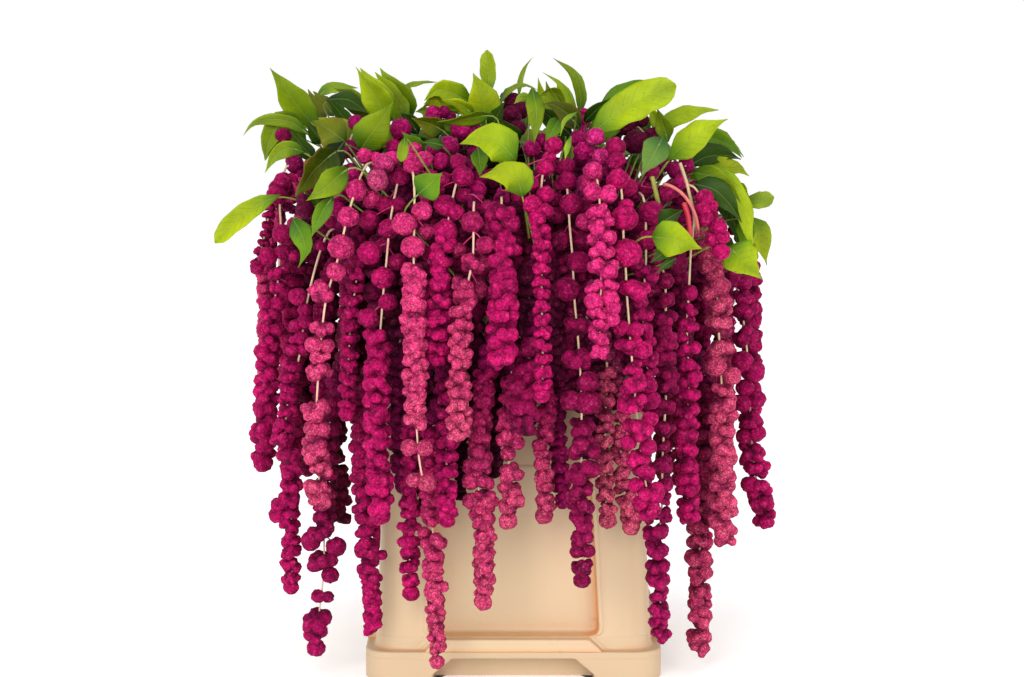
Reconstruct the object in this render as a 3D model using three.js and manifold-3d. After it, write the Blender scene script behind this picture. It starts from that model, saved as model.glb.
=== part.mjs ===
// Cut trailing amaranth in a square plastic flower bucket.
// Millimetres, +Z up. The origin is the centre of the bucket's underside, and the front is towards -Y.
import * as THREE from 'three';
import Module from 'manifold-3d';

const wasm = await Module();
wasm.setup();

// ---- driving dimensions -------------------------------------------------
const FOOT_SIZE = 298;          // square tray at the bottom, outer side
const FOOT_HEIGHT = 30.4;
const FOOT_RADIUS = 27;         // its upright corners
const BODY_SIZE = 270;          // square body above the tray
const BODY_RADIUS = 24;
const SKIRT_SIZE = 281;         // the body spreads towards the tray
const SKIRT_TOP = 140;
const BUCKET_HEIGHT = 380;
const WALL = 3.6;
const FLOOR = 14;               // thickness of the bottom
const RIM_SIZE = 286;           // rolled rim, outer side
const RIM_DEPTH = 12;
const PANEL_BOTTOM = 44.2;        // recessed panel on each side
const PANEL_TOP = 346;
const PANEL_HALF_LOW = 86.4;    // half width at its lower edge
const PANEL_HALF_HIGH = 70;     // half width at its upper edge
const PANEL_DEPTH = 12;
const PANEL_RADIUS = 8;
const PLINTH_TOP = 43;          // raised middle of the tray's ledge
const PLINTH_HALF_HIGH = 77;
const PLINTH_HALF_LOW = 90;
const NOTCH_TOP = 23.5;         // grip recess under the plinth
const NOTCH_HALF_HIGH = 61.3;
const NOTCH_HALF_LOW = 81;
const NOTCH_SHOULDER = 7;
const NOTCH_DEPTH = 26;
const STALK_RADIUS_FOOT = 5;    // cut end of a stem
const STALK_RADIUS_TOP = 4.4;
const TRUNK_RADIUS = 4.4;       // axis of a seed head, standing on its stem
const TRUNK_LENGTH = 15;
const JOINT_GAP = 0.4;
const LEAF_THICKNESS = 1.6;

// every cut stem: foot, top, then its leaves; every leaf: leaf-stalk points, blade midrib points, width, roll
const STEMS = [
  { foot: [21.4, -51.6, 14.5], top: [29.7, -71.6, 405], leaves: [
    { stalk: [[29.2, -70.4, 381, 1.4], [33.3, -64.1, 388.2, 1.4], [35.9, -60, 547.2, 1.2]], rib: [[35.9, -60, 547.2], [38, -60, 559.9], [39.1, -60, 572.5], [36.5, -60, 584.1], [32.8, -60, 596.4]], width: 20, roll: 20, face: [0, -1, 0], tint: "mid" },
    { stalk: [[29, -69.9, 372, 1.4], [66.3, -133, 410.5, 1.3], [113.5, -195.8, 441.6, 1.2], [121.9, -222.8, 452.7, 1.2], [130.7, -228, 453.2, 1.2]], rib: [[130.7, -228, 453.2], [142.6, -232.8, 452.7], [154.4, -237.3, 450], [165.2, -241.3, 446.4], [176.5, -246, 442.5]], width: 34, roll: 8, face: [0, -1, 0], tint: "bright" }
  ] },
  { foot: [55.1, -46.7, 14.5], top: [76.5, -64.8, 409.6], leaves: [
    { stalk: [[75.2, -63.7, 385.6, 1.1], [151.7, -130, 520.2, 1.1]], rib: [[151.7, -130, 520.2], [164.8, -134.6, 532.6], [178.5, -139.4, 544.3], [192.2, -144.3, 553.7], [208.3, -150, 560.9]], width: 25, roll: 10, face: [0, -1, 0], tint: "bright" },
    { stalk: [[74.7, -63.3, 376.6, 1.1], [124, -152.1, 502.3, 1.1], [145.2, -196, 550.4, 1.4], [142.1, -200, 545.3, 1.2]], rib: [[142.1, -200, 545.3], [135.3, -204.3, 533], [128.3, -207.2, 521.3], [120.9, -210, 508.8]], width: 22, roll: 10, face: [0, -1, 0], tint: "grey" },
    { stalk: [[74.2, -62.9, 367.6, 1.4], [175.3, -105, 501.2, 1.2]], rib: [[175.3, -105, 501.2], [203.2, -111.8, 500.2], [223.8, -116.7, 477.4], [232.8, -120.5, 449], [238.9, -125, 417.4]], width: 22, roll: 12, face: [0, -1, 0], tint: "bright" },
    { stalk: [[73.7, -62.5, 358.6, 1.4], [80.6, -66.3, 365.9, 1.4], [147.7, -69.2, 391, 1.4], [173.4, -114.2, 423, 1.4], [203.6, -136.5, 441.1, 1.4], [211.6, -140, 436.5, 1.2]], rib: [[211.6, -140, 436.5], [219.5, -143, 428.5], [227.3, -145.6, 420.2], [234.9, -147.8, 412.6], [243.3, -150, 404.9]], width: 34, roll: 10, face: [0, -1, 0], tint: "bright" }
  ] },
  { foot: [20.2, 65.1, 14.5], top: [28.1, 90.4, 437.7], leaves: [
    { stalk: [[27.7, 89, 413.7, 1.4], [29.9, 81.8, 421.1, 1.4], [29.9, 66.3, 520.2, 1.4], [32.5, 73.1, 525, 1.2]], rib: [[32.5, 73.1, 525], [47.4, 113.6, 536.7], [61.3, 153.7, 534.3], [73.1, 189.8, 517.6], [84.3, 224.7, 492]], width: 28, roll: -18.9, face: [0.1, 0.23, 1], tint: "olive" }
  ] },
  { foot: [-40, 55.1, 14.5], top: [-55.6, 76.5, 417.4], leaves: [
    { stalk: [[-54.6, 75.2, 393.4, 1.4], [-47.1, 76.6, 400.9, 1.4], [-26.4, 72.9, 524.7, 1.4], [-29.1, 79.9, 530, 1.2]], rib: [[-29.1, 79.9, 530], [-44.2, 113.3, 541.5], [-59.9, 146.6, 542.7], [-74.7, 176.8, 531.4], [-89.5, 206.4, 512]], width: 30, roll: 17.1, face: [-0.035, 0.25, 1], tint: "dark" },
    { stalk: [[-54.3, 74.7, 384.4, 1.4], [-47.5, 71.5, 391.6, 1.4], [-37.1, 62.6, 499.9, 1.4], [-41.2, 68.6, 505, 1.2]], rib: [[-41.2, 68.6, 505], [-65.8, 103.8, 519.3], [-90.6, 138.2, 518], [-113.5, 168.7, 500.5], [-135.7, 197.9, 474]], width: 34, roll: -17.2, face: [-0.098, 0.23, 1], tint: "mid" },
    { stalk: [[-53.9, 74.2, 375.4, 1.4], [-59.2, 69.1, 382.5, 1.4], [-53.7, 67.9, 514.3, 1.4], [-58.5, 74.9, 528, 1.2]], rib: [[-58.5, 74.9, 528], [-82.5, 101, 541.7], [-107.4, 127.3, 546.3], [-131.4, 151.8, 538.1], [-155.5, 176.2, 522]], width: 26, roll: -14.8, face: [-0.15, 0.2, 1], tint: "bright" }
  ] },
  { foot: [-56.9, 8.2, 14.5], top: [-79, 11.4, 407.2], leaves: [
    { stalk: [[-77.6, 11.2, 383.2, 1.1], [-202.2, 14.1, 573.7, 1.1], [-194.7, 15, 575.7, 1.2]], rib: [[-194.7, 15, 575.7], [-180.1, 13.5, 576.3], [-166.2, 12.2, 574], [-154.8, 11.1, 566.6], [-142.6, 10, 558.3]], width: 18, roll: 35, face: [0, -1, 0], tint: "dark" },
    { stalk: [[-77.1, 11.1, 374.2, 1.4], [-71.1, 15.6, 381.4, 1.4], [-46.2, 26.9, 523.2, 1.4], [-52, 30, 530, 1.2]], rib: [[-52, 30, 530], [-69.4, 38.1, 541.9], [-87.9, 46.5, 548.7], [-106.7, 54.7, 545.7], [-125.2, 62.6, 536]], width: 26, roll: 0.5, face: [-0.22, 0.12, 1], tint: "dark" }
  ] },
  { foot: [-56.7, 41.3, 14.5], top: [-78.7, 57.4, 408.7], leaves: [
    { stalk: [[-77.4, 56.4, 384.7, 1.4], [-84.9, 57.2, 392.4, 1.1], [-119.4, 64.7, 525.4, 1.1], [-128.6, 68, 575.1, 1.4], [-122.5, 70, 582, 1.2]], rib: [[-122.5, 70, 582], [-113, 72.7, 588.1], [-103.1, 75.3, 592.9], [-92.7, 77.6, 593.5], [-81.3, 80, 593.4]], width: 8, roll: 40, face: [0, -1, 0], tint: "mid" },
    { stalk: [[-76.9, 56.1, 375.7, 1.4], [-83.9, 53.3, 383.2, 1.4], [-83.8, 51.6, 413.6, 1.4], [-72.5, 57.2, 516.1, 1.4], [-78.8, 61.6, 521, 1.2]], rib: [[-78.8, 61.6, 521], [-109.9, 81.6, 530.3], [-139, 99.7, 521.3], [-163.2, 114.4, 499.6], [-185.3, 127.6, 471]], width: 32, roll: 17.9, face: [-0.21, 0.14, 1], tint: "midg" }
  ] },
  { foot: [63, 13.6, 14.5], top: [87.4, 18.9, 414.7], leaves: [
    { stalk: [[86, 18.6, 390.7, 1.4], [82, 25.1, 398.3, 1.4], [82.5, 29.1, 550.4, 1.4], [87.6, 30, 559.8, 1.2]], rib: [[87.6, 30, 559.8], [99.6, 32.1, 574.9], [114.2, 34.3, 586.8], [130.8, 36.6, 593.6], [149.6, 40, 596.1]], width: 16, roll: 30, face: [0, -1, 0], tint: "midg" },
    { stalk: [[85.4, 18.5, 381.7, 1.2], [115.8, 3.7, 422.5, 1.2], [176.2, 10.7, 535.7, 1.3], [185.7, 10, 538.6, 1.2]], rib: [[185.7, 10, 538.6], [201.7, 8.9, 539.9], [217.1, 7.6, 537.2], [229.5, 6.4, 529.6], [239.5, 5, 517]], width: 15, roll: 30, face: [0, -1, 0], tint: "mid" },
    { stalk: [[84.9, 18.4, 372.7, 1.3], [150.9, -2.9, 418, 1.2], [193.5, -22.4, 441.4, 1.2], [236.5, -28.6, 463.1, 1.4], [242.9, -30, 457.2, 1.2]], rib: [[242.9, -30, 457.2], [250.1, -31.2, 445.5], [254.5, -32.4, 432.8], [256.9, -33.5, 420.3], [260.5, -35, 407.1]], width: 20, roll: 10, face: [0, -1, 0], tint: "olive" }
  ] },
  { foot: [40.5, -62.6, 14.5], top: [56.3, -87, 405], leaves: [
    { stalk: [[55.3, -85.5, 381, 1.4], [47.9, -85.3, 388.1, 1.4], [48.4, -87.1, 417.9, 1.4], [61.2, -95, 553.3, 1.2]], rib: [[61.2, -95, 553.3], [58.3, -96, 570], [53, -97.2, 585.8], [42.8, -98.6, 597.2], [28.3, -100, 605.8]], width: 9, roll: 20, face: [0, -1, 0], tint: "mid" },
    { stalk: [[54.9, -84.9, 372, 1.4], [57.2, -91.7, 378.2, 1.1], [55.9, -101.5, 409.6, 1.1], [71, -122.4, 533.2, 1.1], [72.3, -125, 542.6, 1.1]], rib: [[72.3, -125, 542.6], [92.2, -128, 560.6], [114.5, -131.1, 575.4], [136.7, -134.5, 586.6], [162.1, -140, 591.6]], width: 31, roll: 10, face: [0, -1, 0], tint: "bright" },
    { stalk: [[54.6, -84.3, 363, 1.1], [166.9, -137.8, 496.8, 1.1], [176.6, -140, 497.3, 1.2]], rib: [[176.6, -140, 497.3], [192.3, -142.6, 494], [205.2, -145.2, 485.2], [214.6, -147.6, 473.6], [223.1, -150, 459.8]], width: 19, roll: 20, face: [0, -1, 0], tint: "dark" },
    { stalk: [[54.2, -83.8, 354, 1.4], [58.7, -90.2, 361.3, 1.4], [66.5, -148.7, 391.5, 1.1], [134.9, -178.6, 440, 1.1], [138.4, -185.8, 445.2, 1.2], [131.3, -201, 454.3, 1.2], [138.7, -205, 461, 1.2]], rib: [[138.7, -205, 461], [145.7, -207.2, 467.1], [152.8, -209.4, 472.3], [160.9, -212, 476.7]], width: 17, roll: 10, face: [0, -1, 0], tint: "dark" }
  ] },
  { foot: [61.6, -20.8, 14.5], top: [85.5, -28.9, 405], leaves: [
    { stalk: [[84, -28.4, 381, 1.4], [92.4, -27.7, 388, 1.1], [137.7, -28.9, 538, 1.1], [144.8, -30, 545.2, 1.2]], rib: [[144.8, -30, 545.2], [159.3, -32.4, 555.4], [175.4, -34.7, 562.5], [191.4, -37, 566.2], [209.1, -40, 566.8]], width: 17, roll: 25, face: [0, -1, 0], tint: "bright" },
    { stalk: [[83.5, -28.3, 372, 1.1], [178.6, -60, 510.9, 1.1]], rib: [[178.6, -60, 510.9], [190.1, -62.6, 518.5], [203.1, -65, 522.2], [215.9, -67.3, 522.1], [229.1, -70, 518.4]], width: 13, roll: 35, face: [0, -1, 0], tint: "dark" },
    { stalk: [[82.9, -28.1, 363, 1.1], [146.3, -47.7, 417.2, 1.1], [232.7, -70, 475.1, 1.2]], rib: [[232.7, -70, 475.1], [242.8, -71.8, 476], [252.4, -73.4, 477.9], [262.3, -75, 480.5]], width: 14, roll: 20, face: [0, -1, 0], tint: "light" }
  ] },
  { foot: [-59.2, -45.8, 14.5], top: [-82.3, -63.6, 405], leaves: [
    { stalk: [[-80.8, -62.5, 381, 1.1], [-199.2, -88.3, 519.9, 1.1], [-207.5, -95, 526.6, 1.2]], rib: [[-207.5, -95, 526.6], [-219.9, -101.4, 530.9], [-231.5, -108, 527.9], [-239.6, -114, 519.3], [-245, -120, 507]], width: 14, roll: 20, face: [0, -1, 0], tint: "light" },
    { stalk: [[-80.3, -62.1, 372, 1.1], [-224.9, -93.8, 482.2, 1.1], [-234.9, -95, 480.7, 1.2]], rib: [[-234.9, -95, 480.7], [-252.7, -96.3, 473.6], [-268.9, -97.6, 463.6], [-282.5, -98.8, 451.9], [-295.9, -100, 438.1]], width: 16, roll: 10, face: [0, -1, 0], tint: "yel" },
    { stalk: [[-79.8, -61.7, 363, 1.4], [-216.8, -157.1, 470.1, 1.4], [-214.2, -160, 464.4, 1.2]], rib: [[-214.2, -160, 464.4], [-206.9, -163, 453.1], [-201.6, -166.3, 441], [-202.4, -169.2, 429.6], [-208.8, -172, 417.7]], width: 18, roll: 5, face: [0, -1, 0], tint: "midg" }
  ] },
  { foot: [-24.5, -70.8, 14.5], top: [-34, -98.3, 405], leaves: [
    { stalk: [[-33.5, -96.6, 381, 1.2], [-139.8, -175.1, 507.7, 1.2], [-151.8, -182.5, 518.9, 1.4], [-159.5, -185, 515.2, 1.2]], rib: [[-159.5, -185, 515.2], [-169.1, -187, 506.7], [-178.7, -189.2, 498.3], [-187.6, -191.8, 490.7], [-198.3, -195, 484.2]], width: 18, roll: 10, face: [0, -1, 0], tint: "mid" },
    { stalk: [[-33.2, -95.9, 372, 1.4], [-74.2, -121.3, 413.3, 1.3], [-160.1, -166.2, 482.6, 1.2], [-166.8, -177.8, 493.2, 1.2], [-173.6, -180, 488, 1.2]], rib: [[-173.6, -180, 488], [-180.6, -181.5, 478.7], [-186.5, -182.9, 468.9], [-190.5, -183.9, 458.8], [-194.7, -185, 447.9]], width: 14, roll: 10, face: [0, -1, 0], tint: "midg" },
    { stalk: [[-33, -95.3, 363, 1.4], [-40.8, -144.5, 389, 1.1], [-105.4, -198.5, 468.8, 1.1], [-105.8, -205.9, 475.4, 1.3], [-90.2, -220, 492.4, 1.2]], rib: [[-90.2, -220, 492.4], [-82.3, -222.8, 499], [-74.9, -225.3, 505.6], [-67.2, -228, 512.6]], width: 24, roll: 8, face: [0, -1, 0], tint: "midg" }
  ] },
  { foot: [17.5, -72.8, 14.5], top: [24.3, -101.1, 405], leaves: [
    { stalk: [[23.9, -99.4, 381, 1.1], [5.5, -201.7, 516.2, 1.1], [2.4, -205, 523.7, 1.2]], rib: [[2.4, -205, 523.7], [-8.4, -209.5, 535.8], [-21.4, -214.4, 543.9], [-35.5, -219.5, 545], [-50.3, -225, 539.7]], width: 44, roll: 5, face: [0, -1, 0], tint: "bright" },
    { stalk: [[23.7, -98.7, 372, 1.4], [22.3, -145.4, 392, 1.1], [23.1, -159.5, 430.2, 1.1], [8.1, -212, 490, 1.2]], rib: [[8.1, -212, 490], [5.5, -218.5, 504.1], [-3.9, -225.5, 511.6], [-16.9, -231.9, 512.2], [-31.4, -238, 509.4]], width: 38, roll: 10, face: [0, -1, 0], tint: "yel" },
    { stalk: [[23.6, -98.1, 363, 1.4], [21, -106.4, 380.6, 1.3], [14.5, -108.6, 531.6, 1.3], [16.6, -118.2, 595.8, 1.3], [18.2, -120, 590.3, 1.2]], rib: [[18.2, -120, 590.3], [21.1, -122.9, 576.7], [22.6, -125.6, 562.9], [21.5, -127.8, 549.9], [20.2, -130, 535.9]], width: 16, roll: 15, face: [0, -1, 0], tint: "dark" }
  ] },
  { foot: [-72.9, -6.2, 14.5], top: [-101.3, -8.6, 415.9], leaves: [
    { stalk: [[-99.6, -8.5, 391.9, 1.4], [-203.8, 20, 544.5, 1.2]], rib: [[-203.8, 20, 544.5], [-216.9, 13.8, 560], [-228.6, 7.6, 576.6], [-239, 1.7, 592.4], [-250.5, -5, 608.9]], width: 28, roll: 20, face: [0, -1, 0], tint: "mid" },
    { stalk: [[-99, -8.4, 382.9, 1.4], [-146.6, 0.2, 454, 1.4], [-208.9, -3.2, 542.8, 1.4], [-218.2, -5, 547.4, 1.2]], rib: [[-218.2, -5, 547.4], [-233.6, -8.9, 551.5], [-245.5, -12.8, 544.5], [-251.9, -16.3, 531.3], [-254.3, -20, 515.1]], width: 22, roll: 10, face: [0, -1, 0], tint: "mid" }
  ] },
  { foot: [-61.1, -24.3, 14.5], top: [-84.9, -33.7, 405], leaves: [
    { stalk: [[-83.4, -33.2, 381, 1.4], [-205.9, -30, 540.1, 1.2]], rib: [[-205.9, -30, 540.1], [-222.7, -34.4, 552.7], [-242.6, -39, 557.6], [-261.2, -44.1, 555.2], [-274.1, -50, 540.8]], width: 12, roll: 35, face: [0, -1, 0], tint: "light" },
    { stalk: [[-82.9, -32.9, 372, 1.4], [-86.9, -39.3, 378.8, 1.1], [-124.5, -60, 555.2, 1.1]], rib: [[-124.5, -60, 555.2], [-132.4, -64.4, 569.4], [-140.6, -68.4, 583.5], [-148.7, -71.6, 596.5], [-157.4, -75, 610.5]], width: 29, roll: 10, face: [0, -1, 0], tint: "bright" }
  ] },
  { foot: [45.1, 51.4, 14.5], top: [62.6, 71.4, 407.9], leaves: [
    { stalk: [[61.5, 70.2, 383.9, 1.4], [68, 66.4, 391.1, 1.1], [75, 54, 522.9, 1.1], [80.9, 58.8, 528, 1.2]], rib: [[80.9, 58.8, 528], [111, 84.9, 540.1], [138.5, 109.6, 530.6], [161, 130.3, 506.5], [181.5, 149.3, 475]], width: 26, roll: -0, face: [0.21, 0.13, 1], tint: "bright" },
    { stalk: [[61.1, 69.7, 374.9, 1.4], [68.7, 69.3, 382.4, 1.4], [67.4, 65.6, 423.3, 1.4], [52.6, 70.4, 494, 1.4], [55.8, 76.9, 500, 1.2]], rib: [[55.8, 76.9, 500], [72.9, 105, 513.7], [89.9, 134.2, 518.3], [105.6, 161.9, 510.1], [121.1, 189.6, 494]], width: 34, roll: 4.1, face: [0.16, 0.19, 1], tint: "midg" }
  ] },
  { foot: [6.9, 45.6, 14.5], top: [9.5, 63.3, 414], leaves: [
    { stalk: [[9.4, 62.2, 390, 1.4], [10.3, 54.8, 397.3, 1.4], [6, 60, 579, 1.2]], rib: [[6, 60, 579], [6.8, 61.1, 590.4], [9.2, 62.3, 601.6], [13.5, 63.5, 611.2], [20.8, 65, 619.9]], width: 5, roll: 30, face: [0, -1, 0], tint: "light" },
    { stalk: [[9.3, 61.8, 381, 1.4], [9.7, 54.4, 388.2, 1.4], [10, 40.5, 481.3, 1.4], [9.2, 33.3, 531.9, 1.4], [10.4, 38.6, 540, 1.2]], rib: [[10.4, 38.6, 540], [13.8, 55.9, 556.5], [17.3, 74.8, 568.1], [20.7, 96.2, 566], [24.1, 117.6, 556]], width: 30, roll: 4.9, face: [0.065, 0.24, 1], tint: "olive" }
  ] },
  { foot: [-70.6, 24.9, 14.5], top: [-98.1, 34.5, 427.9], leaves: [
    { stalk: [[-96.5, 34, 403.9, 1.1], [-135.2, 31.7, 457, 1.1], [-200.3, 55, 545.4, 1.2]], rib: [[-200.3, 55, 545.4], [-204.3, 56.6, 560], [-209.5, 58.2, 573.3], [-217.2, 60, 586.3]], width: 18, roll: 30, face: [0, -1, 0], tint: "olive" },
    { stalk: [[-95.9, 33.7, 394.9, 1.4], [-130.6, 46.2, 457.3, 1.1], [-213.8, 62.8, 572.4, 1.1], [-208.2, 66, 578.9, 1.2]], rib: [[-208.2, 66, 578.9], [-198.4, 68.9, 585], [-187.9, 71.6, 588.7], [-177.1, 73.8, 588.1], [-165.3, 76, 587.1]], width: 13, roll: 40, face: [0, -1, 0], tint: "light" },
    { stalk: [[-95.3, 33.5, 385.9, 1.4], [-101.5, 29.3, 393.2, 1.3], [-108, 25, 552.6, 1.1]], rib: [[-108, 25, 552.6], [-114.8, 26.5, 567.5], [-122.3, 27.8, 581.9], [-130.4, 28.9, 594.9], [-139.2, 30, 608.7]], width: 26, roll: 15, face: [0, -1, 0], tint: "mid" }
  ] },
  { foot: [58.9, 34.9, 14.5], top: [81.9, 48.4, 406.8], leaves: [
    { stalk: [[80.5, 47.6, 382.8, 1.4], [74.4, 43.2, 389.9, 1.4], [70.1, 40, 558.5, 1.2]], rib: [[70.1, 40, 558.5], [72, 41.4, 577.2], [67.7, 42.7, 595.3], [57.5, 43.8, 608.6], [41.6, 45, 619]], width: 17, roll: 20, face: [0, -1, 0], tint: "mid" },
    { stalk: [[79.9, 47.3, 373.8, 1.4], [87, 44.1, 381.4, 1.4], [108.8, 28.9, 498, 1.4], [115.9, 31.1, 505, 1.2]], rib: [[115.9, 31.1, 505], [138.6, 40.3, 518.9], [162.1, 50.1, 522.1], [183.8, 59.4, 511.6], [204, 68, 494]], width: 30, roll: -14.9, face: [0.24, 0.065, 1], tint: "mid" }
  ] },
  { foot: [-16.8, 58.4, 14.5], top: [-23.4, 81.2, 421], leaves: [
    { stalk: [[-23, 79.8, 397, 1.4], [-23.5, 72.4, 404.1, 1.4], [-25.6, 45, 581.4, 1.2]], rib: [[-25.6, 45, 581.4], [-26.1, 46.2, 593.1], [-26.6, 47.4, 604.7], [-27.1, 48.6, 615.6], [-27.7, 50, 627.3]], width: 13, roll: 20, face: [0, -1, 0], tint: "bright" },
    { stalk: [[-22.8, 79.3, 388, 1.4], [-16.4, 83.4, 395.6, 1.4], [-5.3, 82, 532.3, 1.4], [-6.3, 89.8, 537, 1.2]], rib: [[-6.3, 89.8, 537], [-12.7, 133.1, 546.2], [-19.2, 172.2, 533.1], [-25, 204, 506.4], [-30.4, 233, 472]], width: 32, roll: -14.1, face: [0.035, 0.25, 1], tint: "yel" }
  ] },
  { foot: [35.3, -1.3, 14.5], top: [49.1, -1.8, 427], leaves: [
    { stalk: [[48.3, -1.8, 403, 1.4], [50.5, -9, 410.4, 1.4], [54, -20, 551, 1.2]], rib: [[54, -20, 551], [52.2, -20, 565.5], [49.7, -20, 579.1], [44.7, -20, 592.8]], width: 18, roll: 25, face: [0, -1, 0], tint: "mid" }
  ] },
  { foot: [-3.3, -66.9, 14.5], top: [-4.5, -92.8, 405], leaves: [
    { stalk: [[-4.5, -91.2, 381, 1.1], [-103, -213.8, 549.1, 1.1], [-102.4, -215, 545.9, 1.2]], rib: [[-102.4, -215, 545.9], [-103.6, -217.4, 538], [-104.8, -219.6, 530.5], [-106, -222, 522.7]], width: 9, roll: 10, face: [0, -1, 0], tint: "mid" },
    { stalk: [[-4.4, -90.6, 372, 1.4], [-12.3, -92.6, 389.3, 1.4], [-13.5, -93, 563.3, 1.4], [-21.3, -95, 564.2, 1.2]], rib: [[-21.3, -95, 564.2], [-35.1, -98.5, 561.6], [-48.8, -102, 559.1], [-61.7, -105.8, 557.8], [-75.5, -110, 556.8]], width: 15, roll: 30, face: [0, -1, 0], tint: "mid" },
    { stalk: [[-4.4, -90, 363, 1.3], [-34.2, -154.7, 510.4, 1.3], [-34.8, -172.5, 539.7, 1.3], [-34.1, -175, 533.9, 1.2]], rib: [[-34.1, -175, 533.9], [-32.8, -176.7, 524.2], [-32.2, -178.3, 515], [-32.2, -180, 505.3]], width: 14, roll: 10, face: [0, -1, 0], tint: "midg" }
  ] },
  { foot: [-25.6, -48.9, 14.5], top: [-35.6, -68, 405], leaves: [
    { stalk: [[-35, -66.8, 381, 1.4], [-40.8, -71.6, 388.2, 1.2], [-61.6, -92.4, 542.6, 1.2], [-69, -95, 548.4, 1.2]], rib: [[-69, -95, 548.4], [-79.7, -98.4, 553.2], [-90.1, -101.6, 557.1], [-101.4, -105, 560.6]], width: 16, roll: 30, face: [0, -1, 0], tint: "olive" },
    { stalk: [[-34.8, -66.3, 372, 1.4], [-32.9, -59, 379.4, 1.4], [-26.9, -35, 552.4, 1.2]], rib: [[-26.9, -35, 552.4], [-28.9, -37.6, 566], [-31.5, -40.1, 579.5], [-35.8, -42.5, 591.5], [-40.9, -45, 604.2]], width: 33, roll: 8, face: [0, -1, 0], tint: "yel" }
  ] },
  { foot: [-16.2, 3, 14.5], top: [-22.6, 4.1, 445], leaves: [
    { stalk: [[-22.2, 4.1, 421, 1.4], [-26.4, -2, 428.1, 1.4], [-35.2, -21.9, 569.1, 1.4], [-42.3, -25, 574.6, 1.2]], rib: [[-42.3, -25, 574.6], [-56, -30.3, 580.4], [-69.2, -35.5, 586.9], [-80.3, -40.1, 586.4], [-90.6, -45, 576]], width: 18, roll: 25, face: [0, -1, 0], tint: "bright" },
    { stalk: [[-22.1, 4, 412, 1.4], [-22.8, 11.6, 419.5, 1.4], [-22.7, 12.2, 440.2, 1.1], [-15.9, 5, 569.8, 1.1]], rib: [[-15.9, 5, 569.8], [-8.6, 2.7, 581], [1.4, 0.4, 589], [12.7, -2, 591.7], [24.4, -5, 586.4]], width: 10, roll: 40, face: [0, -1, 0], tint: "mid" },
    { stalk: [[-21.9, 4, 403, 1.4], [-25, 11.1, 410.6, 1.4], [-29.6, 28.9, 529.7, 1.4], [-34.5, 33.3, 538, 1.2]], rib: [[-34.5, 33.3, 538], [-47.7, 44.2, 552.4], [-62, 55.9, 563.2], [-78.1, 68.3, 564], [-95, 81.3, 558]], width: 26, roll: -5.2, face: [-0.18, 0.17, 1], tint: "yel" }
  ] },
  { foot: [-43.7, -60.8, 14.5], top: [-60.7, -84.5, 405], leaves: [
    { stalk: [[-59.6, -83, 381, 1.4], [-165.1, -147.4, 534.4, 1.4], [-172.5, -150, 530.9, 1.2]], rib: [[-172.5, -150, 530.9], [-184, -153.3, 520.7], [-194.6, -156.7, 509.7], [-203.5, -160.1, 498.6], [-211.5, -165, 486.1]], width: 34, roll: 15, face: [0, -1, 0], tint: "oldark" },
    { stalk: [[-59.2, -82.5, 372, 1.1], [-110.8, -97.6, 453, 1.1], [-165.5, -110, 537.1, 1.1]], rib: [[-165.5, -110, 537.1], [-176.3, -106.7, 545.5], [-187.3, -103.4, 552.1], [-199.8, -100, 557.5]], width: 28, roll: 20, face: [0, -1, 0], tint: "olive" },
    { stalk: [[-58.8, -81.9, 363, 1.4], [-65.4, -85.4, 370.2, 1.1], [-109, -116, 582.7, 1.1], [-115.4, -120, 580.6, 1.2]], rib: [[-115.4, -120, 580.6], [-127.9, -127.4, 570.6], [-138.8, -135.1, 559.3], [-147.5, -142.5, 547.3], [-156, -150, 533.8]], width: 32, roll: 15, face: [0, -1, 0], tint: "olive" }
  ] },
];
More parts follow.
